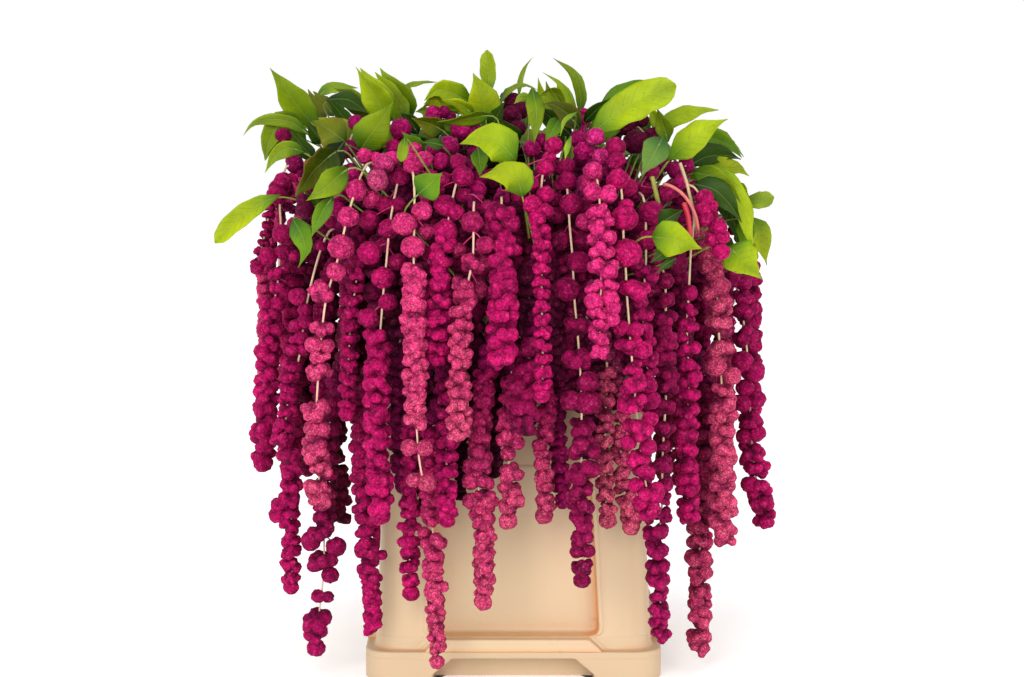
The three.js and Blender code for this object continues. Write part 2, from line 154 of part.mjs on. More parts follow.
// every seed head: its tassels, each a run of [x, y, z, radius] rings from the head's axis to the tip
const HEADS = [
  [
    [[29.7, -71.6, 412, 1.7], [50, -155.4, 518.5, 2.6], [50.6, -159.2, 510.4, 11.7], [54.3, -187.5, 451.5, 13], [61.1, -206.9, 364.7, 13], [65.6, -213.1, 299.1, 13], [68, -215.8, 134, 12.3], [68.2, -216, 120.3, 7.2]],
    [[29.7, -71.6, 412, 1.7], [79.9, -188.9, 513.4, 2.6], [80.3, -192.9, 505.4, 9.9], [82.8, -218.5, 455, 11], [81.6, -243.6, 354.8, 10.4], [81.4, -246.5, 343.3, 6.1]],
    [[29.7, -71.6, 412, 1.7], [28.2, -111.8, 541.1, 2.6], [24.4, -114.6, 537.4, 8.1], [21.7, -116.5, 534.8, 8.1], [16, -120.6, 529.3, 5]],
    [[29.7, -71.6, 412, 1.7], [36.1, -150.7, 391, 1.9], [45.7, -157.5, 316, 2.4], [45.1, -158.3, 307.1, 8.6], [42, -162.4, 260.7, 9.5], [48, -166.4, 191.9, 9], [48.9, -167.1, 181.4, 5.2]],
    [[29.7, -71.6, 412, 1.7], [48.6, -146.4, 398, 2.2], [78.6, -162, 365.9, 2.6], [78.5, -162.1, 356.9, 7.5], [77.2, -163.5, 256.1, 8.4], [77.1, -163.6, 245.5, 5.2]]
  ],
  [
    [[76.5, -64.8, 416.6, 1.6], [123.5, -161.3, 496.6, 1.6], [125.6, -164.8, 490.2, 9.9], [129.2, -171.5, 478.4, 7.4], [128, -188.8, 438.5, 7.4], [123.7, -197.4, 363, 10.8], [130.4, -201.9, 298, 10.4], [131.7, -202.7, 286.2, 6.1]],
    [[76.5, -64.8, 416.6, 1.7], [147.2, -150.2, 421.6, 2.2], [147.6, -153.1, 413.1, 10.3], [148.8, -161, 389.8, 11.5], [149.4, -171.3, 303.7, 11.5], [141.9, -175.6, 141.5, 11.5], [147.7, -175.8, 65.1, 10.9], [148.6, -175.8, 52.8, 6.3]],
    [[76.5, -64.8, 416.6, 1.7], [181.1, -123.5, 475.6, 2.6], [179.7, -125.5, 467, 9.9], [174.2, -133.3, 432.4, 11], [169.9, -144.2, 355.8, 11], [172.9, -149.6, 178.9, 10.4], [173.1, -150, 167, 6.1]],
    [[76.5, -64.8, 416.6, 1.6], [164.7, -154.2, 502.3, 1.6], [176.3, -150.9, 495.9, 7.5], [198.3, -161.5, 456.1, 8.5], [200.3, -163, 443.2, 9.5], [201.9, -164.2, 432.6, 5.5]],
    [[76.5, -64.8, 416.6, 1.7], [150.2, -107, 521.1, 2.6], [154.3, -109.7, 517.3, 8.1], [161.9, -114.9, 510.2, 9], [166.9, -117, 512.3, 8.5], [172, -119.1, 514.5, 5]]
  ],
  [
    [[28.1, 90.4, 444.7, 1.7], [64.4, 142.7, 473.2, 2.5], [67.7, 148, 472.1, 9.8], [73.9, 157.9, 470.2, 10.9], [84.2, 177, 452.2, 10.9], [93.2, 199.4, 398, 10.9], [95.9, 204.8, 135.9, 10.3], [96.1, 205, 124.1, 6]],
    [[28.1, 90.4, 444.7, 1.7], [7.3, 163, 494.7, 2.3], [6.5, 171.7, 492.4, 10.3], [5.1, 189, 487.7, 11.5], [4.6, 209.8, 468.1, 11.5], [2.6, 229.6, 411.8, 11.5], [0.5, 236.3, 272.7, 11.5], [3.1, 235, 63.6, 10.9], [3.3, 234.9, 51.3, 6.3]],
    [[28.1, 90.4, 444.7, 1.7], [41.6, 171.1, 492.4, 2.6], [43, 177.1, 491.1, 10.3], [45.6, 188.2, 488.7, 11.4], [52.4, 208.2, 469.9, 11.4], [57.4, 230.1, 415.6, 11.4], [58, 237.8, 277.5, 11.4], [56.3, 235.7, 91.3, 10.8], [56.2, 235.6, 79, 6.3]],
    [[28.1, 90.4, 444.7, 1.7], [60.6, 136.2, 481.6, 2.3], [86, 173.2, 493.9, 2.6], [89.3, 178.7, 492.5, 11.6], [95.5, 188.9, 490, 12.9], [106.6, 208.8, 472.6, 12.9], [120.1, 232.2, 419.8, 12.9], [119.6, 235.1, 141.8, 12.3], [119.5, 235.3, 128.1, 7.1]],
    [[28.1, 90.4, 444.7, 1.7], [46.2, 134.2, 500.9, 2.6], [49.4, 142.2, 500.8, 7.8], [55.3, 157, 500.7, 8.7], [61.2, 177.6, 479.8, 8.3], [63.1, 184.4, 472.9, 4.8]]
  ],
  [
    [[-55.6, 76.5, 424.4, 1.7], [-84.2, 118.4, 440.4, 2.6], [-88.9, 124.7, 436.1, 11.2], [-103.4, 144.2, 422.7, 12.4], [-117, 164.8, 379.8, 12.4], [-122.6, 173.4, 184.9, 11.8], [-122.9, 174, 171.8, 6.8]],
    [[-55.6, 76.5, 424.4, 1.7], [-110.8, 146.2, 463.6, 2.6], [-114.7, 151.3, 462.3, 9.8], [-121.8, 160.7, 459.9, 10.8], [-135.4, 179, 442.5, 10.8], [-150.2, 199.6, 389, 10.8], [-154.3, 204.2, 315.8, 10.8], [-152.1, 204.4, 75.9, 10.3], [-152, 204.4, 64.1, 6]],
    [[-55.6, 76.5, 424.4, 1.7], [-72, 124.8, 468.3, 2.3], [-88.5, 170.7, 493.3, 2.6], [-91.1, 176.5, 492.6, 11.2], [-96, 187.3, 491.4, 12.4], [-106.7, 207.8, 475.3, 12.4], [-113.8, 222.9, 451, 12.4], [-118.6, 232.7, 412.2, 12.4], [-118.5, 232.8, 65, 11.8], [-118.5, 232.8, 51.8, 6.8]],
    [[-55.6, 76.5, 424.4, 1.7], [-151.7, 153.2, 466.2, 2.6], [-157.8, 158.4, 462.1, 10.4], [-184.2, 181, 444.4, 11.6], [-201.8, 197.7, 400.3, 11.6], [-209.2, 205.7, 204.9, 11], [-209.7, 206.2, 192.5, 6.4]],
    [[-55.6, 76.5, 424.4, 1.7], [-100.3, 103.4, 490.1, 2.6], [-107.2, 108.5, 490.2, 7.9], [-120, 117.9, 490.5, 8.8], [-138, 128.9, 469.3, 8.3], [-143.9, 132.6, 462.4, 4.8]]
  ],
  [
    [[-79, 11.4, 414.2, 1.6], [-130, 16.1, 464.3, 1.6], [-189, 18.3, 498.2, 1.6], [-197.5, 19, 495.4, 8.6], [-223.6, 21.1, 486.6, 9.5], [-254.7, 25.3, 436.9, 9.5], [-264.2, 25.1, 230.5, 9], [-264.7, 25.1, 220, 5.2]],
    [[-79, 11.4, 414.2, 1.6], [-149.7, 20.1, 460, 1.6], [-156.8, 18.3, 459.2, 10.4], [-168.1, 19.1, 456.9, 11.5], [-189.7, 20.8, 438.9, 11.5], [-212.3, 23.2, 395.5, 11.5], [-218.8, 25.5, 312.3, 11.5], [-218.5, 21.3, 192.6, 11], [-218.4, 20.9, 180.2, 6.3]],
    [[-79, 11.4, 414.2, 1.7], [-112.3, 17.7, 426.5, 2.1], [-118.6, 18.1, 424.5, 10.5], [-130.2, 18.7, 420.9, 11.6], [-160.6, 21.6, 394.9, 11.6], [-178, 24.7, 311.8, 11], [-180.6, 25.1, 299.7, 6.4]],
    [[-79, 11.4, 414.2, 1.6], [-134.4, 41.4, 451.2, 1.6], [-142.5, 43.9, 447.2, 9.8], [-164.1, 53.3, 438.7, 11.8], [-191, 63.3, 389.8, 11.8], [-200.9, 62.8, 199.4, 11.2], [-201.6, 62.7, 186.8, 6.5]]
  ],
  [
    [[-78.7, 57.4, 415.7, 1.6], [-123.5, 73.4, 437.7, 1.6], [-130.7, 76.1, 433.4, 9.6], [-150.9, 86, 420.6, 10.7], [-171.8, 98.8, 379.8, 10.7], [-180.5, 102.5, 255.2, 10.2], [-181.3, 102.8, 243.6, 5.9]],
    [[-78.7, 57.4, 415.7, 1.7], [-129.7, 82.1, 458.6, 2.2], [-185.9, 109.2, 485.4, 2.6], [-191.6, 112.1, 484.4, 10.6], [-202.3, 117.5, 482.6, 11.8], [-222.4, 128.7, 465.8, 11.8], [-242.4, 141.1, 422.8, 11.8], [-250.7, 145.3, 297.1, 11.8], [-249.4, 146.5, 145.1, 11.2], [-249.3, 146.6, 132.4, 6.5]],
    [[-78.7, 57.4, 415.7, 1.7], [-147.7, 102, 461.8, 2.6], [-153.1, 105.5, 460.7, 10], [-163, 111.9, 458.8, 11.1], [-180.9, 126.7, 441.6, 11.1], [-201, 140.2, 398.1, 11.1], [-208.4, 144.3, 346.4, 11.1], [-212.1, 145.5, 192.5, 10.6], [-212.4, 145.6, 180.4, 6.1]],
    [[-78.7, 57.4, 415.7, 1.7], [-142.7, 112.4, 450.9, 2.3], [-190.9, 145.5, 462.1, 2.6], [-197.7, 149.7, 458, 10.4], [-226.9, 167.6, 440.3, 11.6], [-246.8, 181.7, 397.5, 11.6], [-250.8, 187.8, 173.2, 11], [-251, 188.1, 160.8, 6.4]]
  ],
  [
    [[87.4, 18.9, 421.7, 1.7], [130.3, 19.1, 462.5, 2.2], [180.2, 18.8, 487.4, 2.6], [188.7, 19.5, 484.5, 10.2], [214.4, 21.4, 475.5, 11.4], [244.8, 25, 425.7, 11.4], [250.2, 24.7, 200.3, 10.8], [250.5, 24.7, 188.1, 6.3]],
    [[87.4, 18.9, 421.7, 1.7], [138.4, 18.5, 455.9, 2.2], [144.2, 19, 454.4, 8.8], [154.9, 19.7, 451.7, 9.7], [173.8, 22.2, 432, 9.7], [195.8, 24.6, 378.5, 9.7], [201.2, 21.5, 77.1, 9.3], [201.4, 21.3, 66.4, 5.4]],
    [[87.4, 18.9, 421.7, 1.7], [164, 39.5, 475.7, 2.5], [171.7, 42.4, 472, 9.4], [194.8, 51.2, 461, 10.5], [220.8, 61.3, 408.7, 10.5], [227.2, 65.6, 334.9, 10.5], [227.3, 65, 190.3, 9.9], [227.3, 65, 178.9, 5.7]],
    [[87.4, 18.9, 421.7, 1.7], [123.7, 40.7, 446.8, 2.6], [131, 43.8, 442.4, 9], [152.6, 53, 429.5, 10], [180.7, 62.8, 378.6, 10], [186.6, 65.8, 305, 10], [184.9, 62.5, 170.9, 9.5], [184.8, 62.2, 159.8, 5.5]],
    [[87.4, 18.9, 421.7, 1.7], [137.2, 45.5, 475.5, 2.6], [145, 49.5, 475.2, 8.3], [159.4, 56.9, 474.6, 9.2], [179.3, 63.2, 453.5, 8.7], [186.2, 65.3, 446.2, 5]]
  ],
  [
    [[56.3, -87, 412, 1.6], [73.9, -150.2, 391.3, 1.6], [89.5, -158, 355.7, 2.2], [92.1, -171.4, 317.9, 2.6], [91.7, -172.4, 309, 8], [88.4, -179.8, 243.5, 9], [91.1, -181.8, 177, 9], [91.6, -182.1, 166.4, 5.2]],
    [[56.3, -87, 412, 1.6], [74.6, -150.2, 390.9, 1.6], [108.4, -161.4, 286.9, 2.4], [108.1, -161.9, 277.9, 8.6], [106.4, -165.3, 212.7, 9.5], [114.2, -166.9, 168.8, 9], [116.1, -167.3, 158.5, 5.2]],
    [[56.3, -87, 412, 1.7], [98.8, -172, 522.2, 2.3], [99.8, -176.1, 514.2, 12.2], [105.3, -200.1, 467.6, 8.2], [107, -215.8, 404.2, 8.2], [117.1, -226.2, 285.4, 13.5], [129.9, -227.7, 200.5, 12.8], [132, -227.9, 186.5, 7.4]],
    [[56.3, -87, 412, 1.7], [69.4, -114, 549, 2.3], [67.5, -121.1, 543.7, 1.6], [64.7, -131.7, 535.5, 1.6], [63.7, -139.7, 529.2, 5.2]],
    [[56.3, -87, 412, 1.6], [82.3, -146.2, 538.5, 1.8], [83.9, -150, 533.2, 8.1], [85, -152.6, 529.5, 8.5], [87.3, -158.1, 521.9, 5]]
  ],
  [
    [[85.5, -28.9, 412, 1.7], [186.4, -97.7, 443, 2.6], [189.1, -99.9, 434.6, 11.7], [202.8, -111.1, 392, 13], [204.4, -114.8, 370.5, 13], [208.9, -122.8, 284.4, 13], [211, -124.7, 154.2, 12.3], [211.3, -124.9, 140.6, 7.2]],
    [[85.5, -28.9, 412, 1.6], [151.7, -41.7, 393, 1.6], [175, -71, 340, 2.3], [199.9, -87.4, 286.1, 2.6], [199.2, -88.2, 277.1, 10.8], [191, -97.8, 168.3, 12], [190.4, -99.7, 27.6, 11.4], [190.4, -99.8, 14.8, 6.6]],
    [[85.5, -28.9, 412, 1.6], [229.1, -52.7, 394.3, 1.6], [230.4, -53.2, 385.5, 11.7], [238.1, -58.1, 329.1, 13], [242.9, -60.8, 241, 13], [257.2, -61.7, 154.5, 12.3], [259.4, -61.8, 141, 7.2]],
    [[85.5, -28.9, 412, 1.7], [97.6, -37.2, 495.8, 2.3], [107.8, -54.2, 562.1, 2.6], [114.1, -58.1, 558.7, 9], [125.8, -65.5, 552.4, 10], [132.5, -74.2, 543.5, 9.5], [137.8, -81, 536.6, 5.5]],
    [[85.5, -28.9, 412, 1.6], [148.8, -14.8, 468.6, 1.6], [154.8, -14.6, 467.5, 10.5], [165.9, -13.2, 465.9, 11.7], [187.3, -9.8, 448.4, 8.3], [208.9, -13.4, 405.4, 8.3], [217.9, -14.3, 160.4, 11.1], [218.4, -14.3, 147.9, 6.4]]
  ],
  [
    [[-82.3, -63.6, 412, 1.7], [-139.6, -148.6, 526, 2.6], [-142.2, -153.7, 519, 7.2], [-155.3, -179.1, 484.2, 8.5], [-180.1, -198.6, 393.9, 11.2], [-189.6, -206.7, 286.6, 12.5], [-188.8, -207.8, 200.7, 11.9], [-188.7, -207.9, 187.4, 6.9]],
    [[-82.3, -63.6, 412, 1.6], [-149.5, -85.9, 395.3, 1.6], [-164.6, -109.4, 341.3, 2.3], [-179.4, -127.1, 286.8, 2.6], [-180.1, -128.2, 277.9, 10.3], [-186.5, -137.9, 199, 11.5], [-197, -141.7, 43.3, 10.9], [-197.8, -142, 31, 6.3]],
    [[-82.3, -63.6, 412, 1.7], [-196.5, -123.5, 492.4, 2.6], [-199.6, -126.2, 484.4, 8.1], [-204.1, -130.3, 472.6, 8.5], [-207.5, -133.3, 463.6, 5]],
    [[-82.3, -63.6, 412, 1.7], [-177.9, -132.6, 510.6, 2.6], [-181.3, -134.1, 506.9, 7.7], [-183.7, -135.1, 504.2, 8.1], [-188.8, -137.5, 498.6, 4.7]],
    [[-82.3, -63.6, 412, 1.6], [-162.5, -141, 512.6, 1.6], [-161.7, -145.4, 505.3, 7.7], [-169.3, -161.6, 476.2, 8.1], [-171.4, -166.2, 467.9, 4.7]]
  ],
  [
    [[-34, -98.3, 412, 1.7], [-47.4, -184.5, 524.7, 2.6], [-49.4, -187, 516.3, 10.8], [-67.8, -210.5, 438.2, 12], [-72.3, -219, 348.7, 11.4], [-73, -220.2, 336, 6.6]],
    [[-34, -98.3, 412, 1.6], [-42.1, -149.8, 393.8, 1.6], [-79.1, -186.9, 261.3, 2.6], [-79.1, -188.1, 252.3, 9.5], [-79.5, -198, 175.5, 10.5], [-74, -203.8, 44.5, 10], [-73.5, -204.3, 33.1, 5.8]],
    [[-34, -98.3, 412, 1.7], [-40.4, -149.9, 396.2, 1.8], [-62.2, -192.5, 311.1, 2.6], [-62.3, -194, 302.2, 9.9], [-63, -213.4, 187.8, 10.4], [-63.1, -215.4, 176.1, 6.1]],
    [[-34, -98.3, 412, 1.6], [-34.7, -199.4, 493.4, 1.6], [-37.6, -204.4, 481.8, 10.3], [-37.4, -222.9, 429, 11.5], [-48, -231.7, 387.3, 11.5], [-52.2, -241.2, 278.6, 10.9], [-52.6, -242.2, 266.3, 6.3]],
    [[-34, -98.3, 412, 1.6], [-38.2, -151.2, 392.4, 1.6], [-50.4, -159.8, 286.6, 2.6], [-50.5, -160.3, 277.7, 5.9], [-51.5, -164.8, 193.8, 6.2], [-51.6, -165.2, 186, 3.6]]
  ],
  [
    [[24.3, -101.1, 412, 1.6], [26.8, -167.9, 385.2, 1.6], [16.8, -205.3, 346.7, 2.6], [15.9, -208.2, 338.3, 13.5], [10.5, -225.5, 288.6, 14.2], [8.9, -230.6, 274.1, 8.2]],
    [[24.3, -101.1, 412, 1.7], [31.3, -177.6, 527.3, 2.6], [30.1, -182.3, 519.7, 8.1], [25.8, -198.7, 493.1, 9], [26.1, -218.5, 444, 9], [26.9, -244.3, 314.1, 8.5], [26.9, -246.3, 304.2, 5]],
    [[24.3, -101.1, 412, 1.6], [25.8, -151.4, 393.1, 1.6], [27.1, -177.4, 327.4, 2.3], [34.5, -181.7, 299.7, 2.6], [34.2, -182.4, 290.8, 8.6], [30.1, -190.3, 184.7, 9], [29.7, -191.1, 174.2, 5.2]],
    [[24.3, -101.1, 412, 1.6], [19.1, -159.7, 424.1, 1.6], [16, -161.3, 415.5, 7.7], [13.4, -173.8, 266.2, 9.3], [13.2, -174.7, 255.3, 5.5]],
    [[24.3, -101.1, 412, 1.7], [38.6, -155.6, 424.1, 2.6], [38.5, -157, 415.2, 7.5], [37.6, -171.1, 326.5, 8], [37.5, -172.8, 316.1, 5.2]]
  ],
  [
    [[-101.3, -8.6, 422.9, 1.7], [-148.9, -22.6, 442.2, 2.3], [-249, -36.3, 471.9, 2.6], [-250.7, -37.4, 463.2, 5.4], [-261.3, -44.3, 408.2, 5.7], [-262.7, -45.2, 401, 3.3]],
    [[-101.3, -8.6, 422.9, 1.7], [-232.8, -50.5, 518.6, 2.6], [-234, -52.3, 509.8, 10.8], [-238.4, -58.8, 477.3, 12], [-233.9, -63, 445.2, 12], [-237.8, -68.8, 392.1, 12], [-245.8, -71.6, 360.7, 12], [-254.8, -74.8, 219.8, 11.4], [-255.6, -75.1, 207, 6.6]],
    [[-101.3, -8.6, 422.9, 1.7], [-164.9, -12.1, 481.2, 2.6], [-173.1, -12.4, 477.5, 10.3], [-196.7, -13.2, 466.7, 11.4], [-224, -14.3, 415.1, 11.4], [-231.4, -18.6, 165.1, 10.9], [-231.8, -18.8, 152.8, 6.3]],
    [[-101.3, -8.6, 422.9, 1.7], [-137.7, -10.4, 448.3, 2.6], [-145.5, -10.9, 443.8, 8.9], [-167.1, -12.3, 431.5, 9.9], [-191.3, -14.6, 391.2, 9.9], [-199.8, -15.8, 341.6, 9.9], [-201.3, -16.5, 255.6, 9.4], [-201.5, -16.6, 244.7, 5.4]]
  ],
  [
    [[-84.9, -33.7, 412, 1.6], [-183.4, -92.7, 456.5, 1.6], [-185, -95.3, 448.2, 8.7], [-204.9, -110, 383.5, 10.5], [-228.6, -120, 254.4, 10.5], [-223, -119.7, 200, 10.5], [-224, -119.9, 98.6, 10], [-224.1, -119.9, 87.2, 5.8]],
    [[-84.9, -33.7, 412, 1.7], [-150.4, -50.4, 391.9, 1.8], [-163.7, -75.4, 338, 2.3], [-177.1, -91.6, 281.6, 2.6], [-177.7, -92.8, 272.7, 9.9], [-181, -99.3, 225.5, 11], [-177.8, -103.3, 167.6, 10.4], [-177.2, -104.1, 155.7, 6.1]],
    [[-84.9, -33.7, 412, 1.6], [-156.9, -74.8, 558.4, 1.6], [-158.1, -81.3, 550.7, 8.6], [-164.1, -93.8, 533.4, 9], [-167, -99.7, 525.2, 5.2]],
    [[-84.9, -33.7, 412, 1.7], [-115.1, -87.7, 560.1, 2.6], [-114.2, -92, 556, 9.5], [-113.6, -95.1, 553.2, 10], [-112.3, -101.5, 547.2, 5.8]]
  ],
  [
    [[62.6, 71.4, 414.9, 1.7], [84, 116.7, 438, 2.6], [87.2, 121.8, 436.6, 11.1], [93.2, 131.2, 434.1, 12.3], [105.2, 148.4, 415.9, 12.3], [118.7, 167.8, 362.7, 12.3], [118.9, 172, 63.8, 11.7], [118.9, 172.2, 50.7, 6.8]],
    [[62.6, 71.4, 414.9, 1.7], [103.6, 144.9, 464.4, 2.6], [106.5, 150.5, 463.4, 9.5], [112.1, 160.8, 461.4, 10.5], [125.6, 179.1, 444.6, 10.5], [141.8, 199.8, 392.4, 10.5], [146.9, 206.9, 91, 10], [147.1, 207.1, 79.5, 5.8]],
    [[62.6, 71.4, 414.9, 1.7], [157.9, 137, 459.2, 2.6], [163.3, 142.5, 454.6, 9.6], [186.2, 166.1, 435.3, 10.7], [201.2, 181.4, 390.4, 10.7], [204, 186.9, 93.9, 10.2], [204.1, 187.1, 82.3, 5.9]],
    [[62.6, 71.4, 414.9, 1.7], [126.3, 148, 459.8, 2.6], [130.5, 152.9, 458.6, 9], [138.2, 162, 456.4, 10], [151.4, 180.9, 439.1, 10], [165.8, 200.2, 396.2, 10], [171.9, 207.2, 125.7, 9.5], [172.1, 207.5, 114.7, 5.5]],
    [[62.6, 71.4, 414.9, 1.7], [108.6, 103.1, 484.5, 2.6], [114.9, 108.7, 484.5, 7.9], [126.6, 119.2, 484.6, 8.8], [137.8, 133.6, 461.5, 8.4], [141.5, 138.5, 453.7, 4.8]]
  ],
  [
    [[9.5, 63.3, 421, 1.7], [3.7, 107.8, 437.3, 2.6], [3.3, 115.6, 432.9, 9.7], [2, 139.9, 419.1, 10.8], [2.8, 163.2, 387.7, 10.8], [-1.9, 172.5, 217.4, 10.3], [-2.2, 173.2, 205.7, 5.9]],
    [[9.5, 63.3, 421, 1.6], [28.7, 108.9, 443.6, 1.6], [34.1, 113.1, 442.3, 10.7], [40, 123, 439.7, 12.3], [48.5, 143.6, 422, 12.3], [55.4, 165.4, 378.8, 12.3], [59.2, 170.2, 110.9, 11.7], [59.4, 170.5, 97.8, 6.8]],
    [[9.5, 63.3, 421, 1.7], [18.8, 136.6, 469.9, 2.4], [19.7, 142.7, 468.9, 7.9], [21.2, 154, 467.1, 10.6], [23.7, 175.6, 449.1, 10.6], [25.9, 197.4, 405.5, 10.6], [29.9, 204.7, 332.8, 10.6], [29.7, 203, 200.9, 10.1], [29.7, 202.9, 189.4, 5.9]],
    [[9.5, 63.3, 421, 1.7], [9.7, 75, 518.1, 2.6], [10.5, 82.5, 518.9, 8], [12.1, 96.4, 520.5, 8.9], [14.4, 115.5, 498.4, 8.5], [15.2, 122, 490.8, 4.9]]
  ],
  [
    [[-98.1, 34.5, 434.9, 1.7], [-172.7, 48.8, 480.3, 2.5], [-178.7, 50.2, 479.2, 8.6], [-190, 52.8, 477.2, 9.6], [-211.5, 58.1, 459.7, 9.6], [-237, 62.2, 407.1, 9.6], [-240, 65.9, 115.7, 9.1], [-240.1, 66, 105, 5.3]],
    [[-98.1, 34.5, 434.9, 1.7], [-145.5, 50.8, 484.9, 1.6], [-203.3, 78.3, 505, 1.6], [-210.9, 81.2, 501.2, 9], [-234.7, 91.4, 489.8, 9.9], [-260.8, 102.5, 437.9, 9.9], [-268.2, 103.4, 231.1, 9.5], [-268.6, 103.4, 220.1, 5.5]],
    [[-98.1, 34.5, 434.9, 1.7], [-159.6, 79.8, 464.4, 2.6], [-167.2, 82.6, 460.7, 9.5], [-190.5, 91.5, 449.3, 10.6], [-215.4, 100, 407.9, 10.6], [-224.6, 104.6, 335.8, 10.6], [-225.8, 103, 258.7, 10], [-226, 102.8, 247.2, 5.8]],
    [[-98.1, 34.5, 434.9, 1.7], [-138.4, 57.4, 475, 2.6], [-146.8, 59.5, 474.8, 8], [-162.5, 63.3, 474.4, 10.3], [-181.4, 68.2, 453.8, 9.8], [-188.9, 70.1, 445.7, 5.7]]
  ],
  [
    [[81.9, 48.4, 413.8, 1.7], [132.6, 62.4, 461.1, 2.3], [189.5, 78.8, 492.4, 2.6], [195.6, 81, 491.6, 8.9], [206.8, 84.9, 490.3, 9.9], [228.5, 93.3, 474, 9.9], [251.1, 101.9, 431.5, 9.9], [259.5, 105.5, 327.2, 9.9], [259.2, 101.9, 217.1, 9.4], [259.1, 101.5, 206.2, 5.5]],
    [[81.9, 48.4, 413.8, 1.7], [146.1, 74.9, 462.2, 2.6], [153.5, 78.3, 458.4, 9.1], [175, 88, 447.6, 10.1], [200.3, 102.5, 398.6, 10.1], [208.5, 107, 142.6, 9.6], [208.8, 107.2, 131.6, 5.5]],
    [[81.9, 48.4, 413.8, 1.7], [111.2, 65.4, 417.3, 2.6], [118.8, 68.6, 413.9, 8.9], [157, 85, 396.7, 9.9], [159.4, 89.4, 388.1, 9.9], [162.4, 101, 328.4, 9.9], [163.5, 104.1, 173.3, 9.4], [163.6, 104.3, 162.4, 5.5]],
    [[81.9, 48.4, 413.8, 1.7], [127.2, 78.4, 455.5, 2.3], [170.3, 106.2, 478.5, 2.6], [175.9, 109.4, 477.5, 10.7], [186.4, 115.3, 475.7, 11.9], [206.6, 127.2, 458.9, 11.9], [226.7, 139.6, 415.4, 11.9], [235, 143.7, 320.2, 11.9], [232.5, 141.8, 187.5, 11.3], [232.3, 141.6, 174.8, 6.5]],
    [[81.9, 48.4, 413.8, 1.7], [136.2, 101.1, 445.3, 2.6], [142.2, 106.4, 441.2, 8.7], [161, 122.6, 428.3, 9.7], [181.1, 137.8, 385.9, 9.7], [191.1, 141.7, 189.6, 9.2], [191.7, 142, 178.9, 5.3]]
  ],
  [
    [[-23.4, 81.2, 428, 1.7], [-35.7, 110.6, 446.8, 2.6], [-38.9, 117.9, 442.7, 11.1], [-48.3, 138.6, 430.9, 12.4], [-57.8, 164.5, 380.2, 12.4], [-62.8, 175.3, 123.1, 11.7], [-63.1, 175.8, 110, 6.8]],
    [[-23.4, 81.2, 428, 1.7], [-45.6, 105.6, 452.5, 2.3], [-62.3, 137.7, 465.1, 2.6], [-65.9, 144.9, 461.1, 11.6], [-80.9, 174.6, 444.5, 12.9], [-91.7, 196.2, 401.3, 12.9], [-93.4, 204, 338.9, 12.9], [-93.4, 203.5, 197.7, 12.2], [-93.4, 203.5, 184.1, 7.1]],
    [[-23.4, 81.2, 428, 1.7], [-22, 138.8, 468.1, 2.6], [-22.4, 144.8, 466.5, 11.3], [-23.3, 155.9, 463.6, 12.6], [-25.2, 176.7, 444.4, 12.6], [-27.8, 197.4, 399.6, 12.6], [-28.6, 200.4, 182.6, 11.9], [-28.6, 200.6, 169.3, 6.9]],
    [[-23.4, 81.2, 428, 1.7], [-47.4, 169.2, 499.9, 2.6], [-48.4, 177.8, 497.3, 11.2], [-50.4, 194.6, 492.1, 12.5], [-55.4, 214.2, 472.1, 12.5], [-60.6, 234.3, 416.6, 12.5], [-62.7, 232.7, 82.6, 11.8], [-62.8, 232.6, 69.4, 6.8]],
    [[-23.4, 81.2, 428, 1.7], [-28.1, 128.9, 494.3, 2.6], [-29.4, 137.3, 494.5, 8.8], [-31.6, 152.9, 495, 9.8], [-37.9, 174, 475.9, 9.3], [-40.2, 181.8, 468.8, 5.4]]
  ],
  [
    [[49.1, -1.8, 434, 1.7], [62.7, -3.8, 495.4, 2.3], [74.5, 12.2, 539.6, 2.6], [74.4, 17.8, 546.6, 5], [74.1, 27.5, 559, 5.2], [73.9, 31.8, 564.5, 3]],
    [[49.1, -1.8, 434, 1.7], [105.3, -8.9, 436.4, 2.6], [112.9, -10, 431.8, 10.2], [146.9, -14.9, 411.4, 11.4], [168.8, -15.1, 379, 11.9], [175.9, -15.6, 328.5, 11.9], [174.2, -21.1, 189.6, 11.3], [174, -21.6, 176.9, 6.5]],
    [[49.1, -1.8, 434, 1.7], [96.7, 8.6, 429.1, 2.5], [104.5, 11.1, 425.5, 6.8], [126.2, 18.2, 415.8, 8], [160.6, 21.8, 388.7, 11.6], [161.5, 24.9, 193.1, 11], [161.6, 25.1, 180.7, 6.4]],
    [[49.1, -1.8, 434, 1.7], [62.2, 49.6, 513.3, 2.6], [67.8, 55.5, 513.9, 3.2], [78.4, 66.5, 514.9, 4], [98.3, 76.5, 494.7, 8.1], [104.7, 79.8, 488.2, 4.7]],
    [[49.1, -1.8, 434, 1.7], [77.8, -11.9, 514.1, 2.6], [85.7, -13.3, 514.6, 9.1], [100.4, -15.9, 515.6, 10.1], [119.9, -16.9, 494.9, 9.6], [127.6, -17.4, 486.9, 5.6]]
  ],
  [
    [[-4.5, -92.8, 412, 1.6], [-10.7, -150.5, 393.3, 1.6], [-26.6, -185.3, 319.8, 2.6], [-27.3, -186.6, 310.9, 9.9], [-35, -200.7, 212.4, 11], [-28.8, -203.3, 158.4, 11], [-30.3, -204.5, 102.8, 10.4], [-30.6, -204.8, 90.9, 6.1]],
    [[-4.5, -92.8, 412, 1.7], [-11.9, -192.1, 494.5, 2.6], [-11.5, -195.4, 486.1, 12.6], [-9.2, -212.5, 443.2, 14], [-10.7, -238.8, 345.4, 13.3], [-10.9, -242.6, 331.3, 7.7]],
    [[-4.5, -92.8, 412, 1.7], [-3.9, -147.6, 398.2, 2], [-1.4, -187.3, 310.3, 2.6], [-1.7, -188.6, 301.4, 10.8], [-5, -205.1, 188, 11.4], [-5.3, -206.9, 175.4, 6.6]],
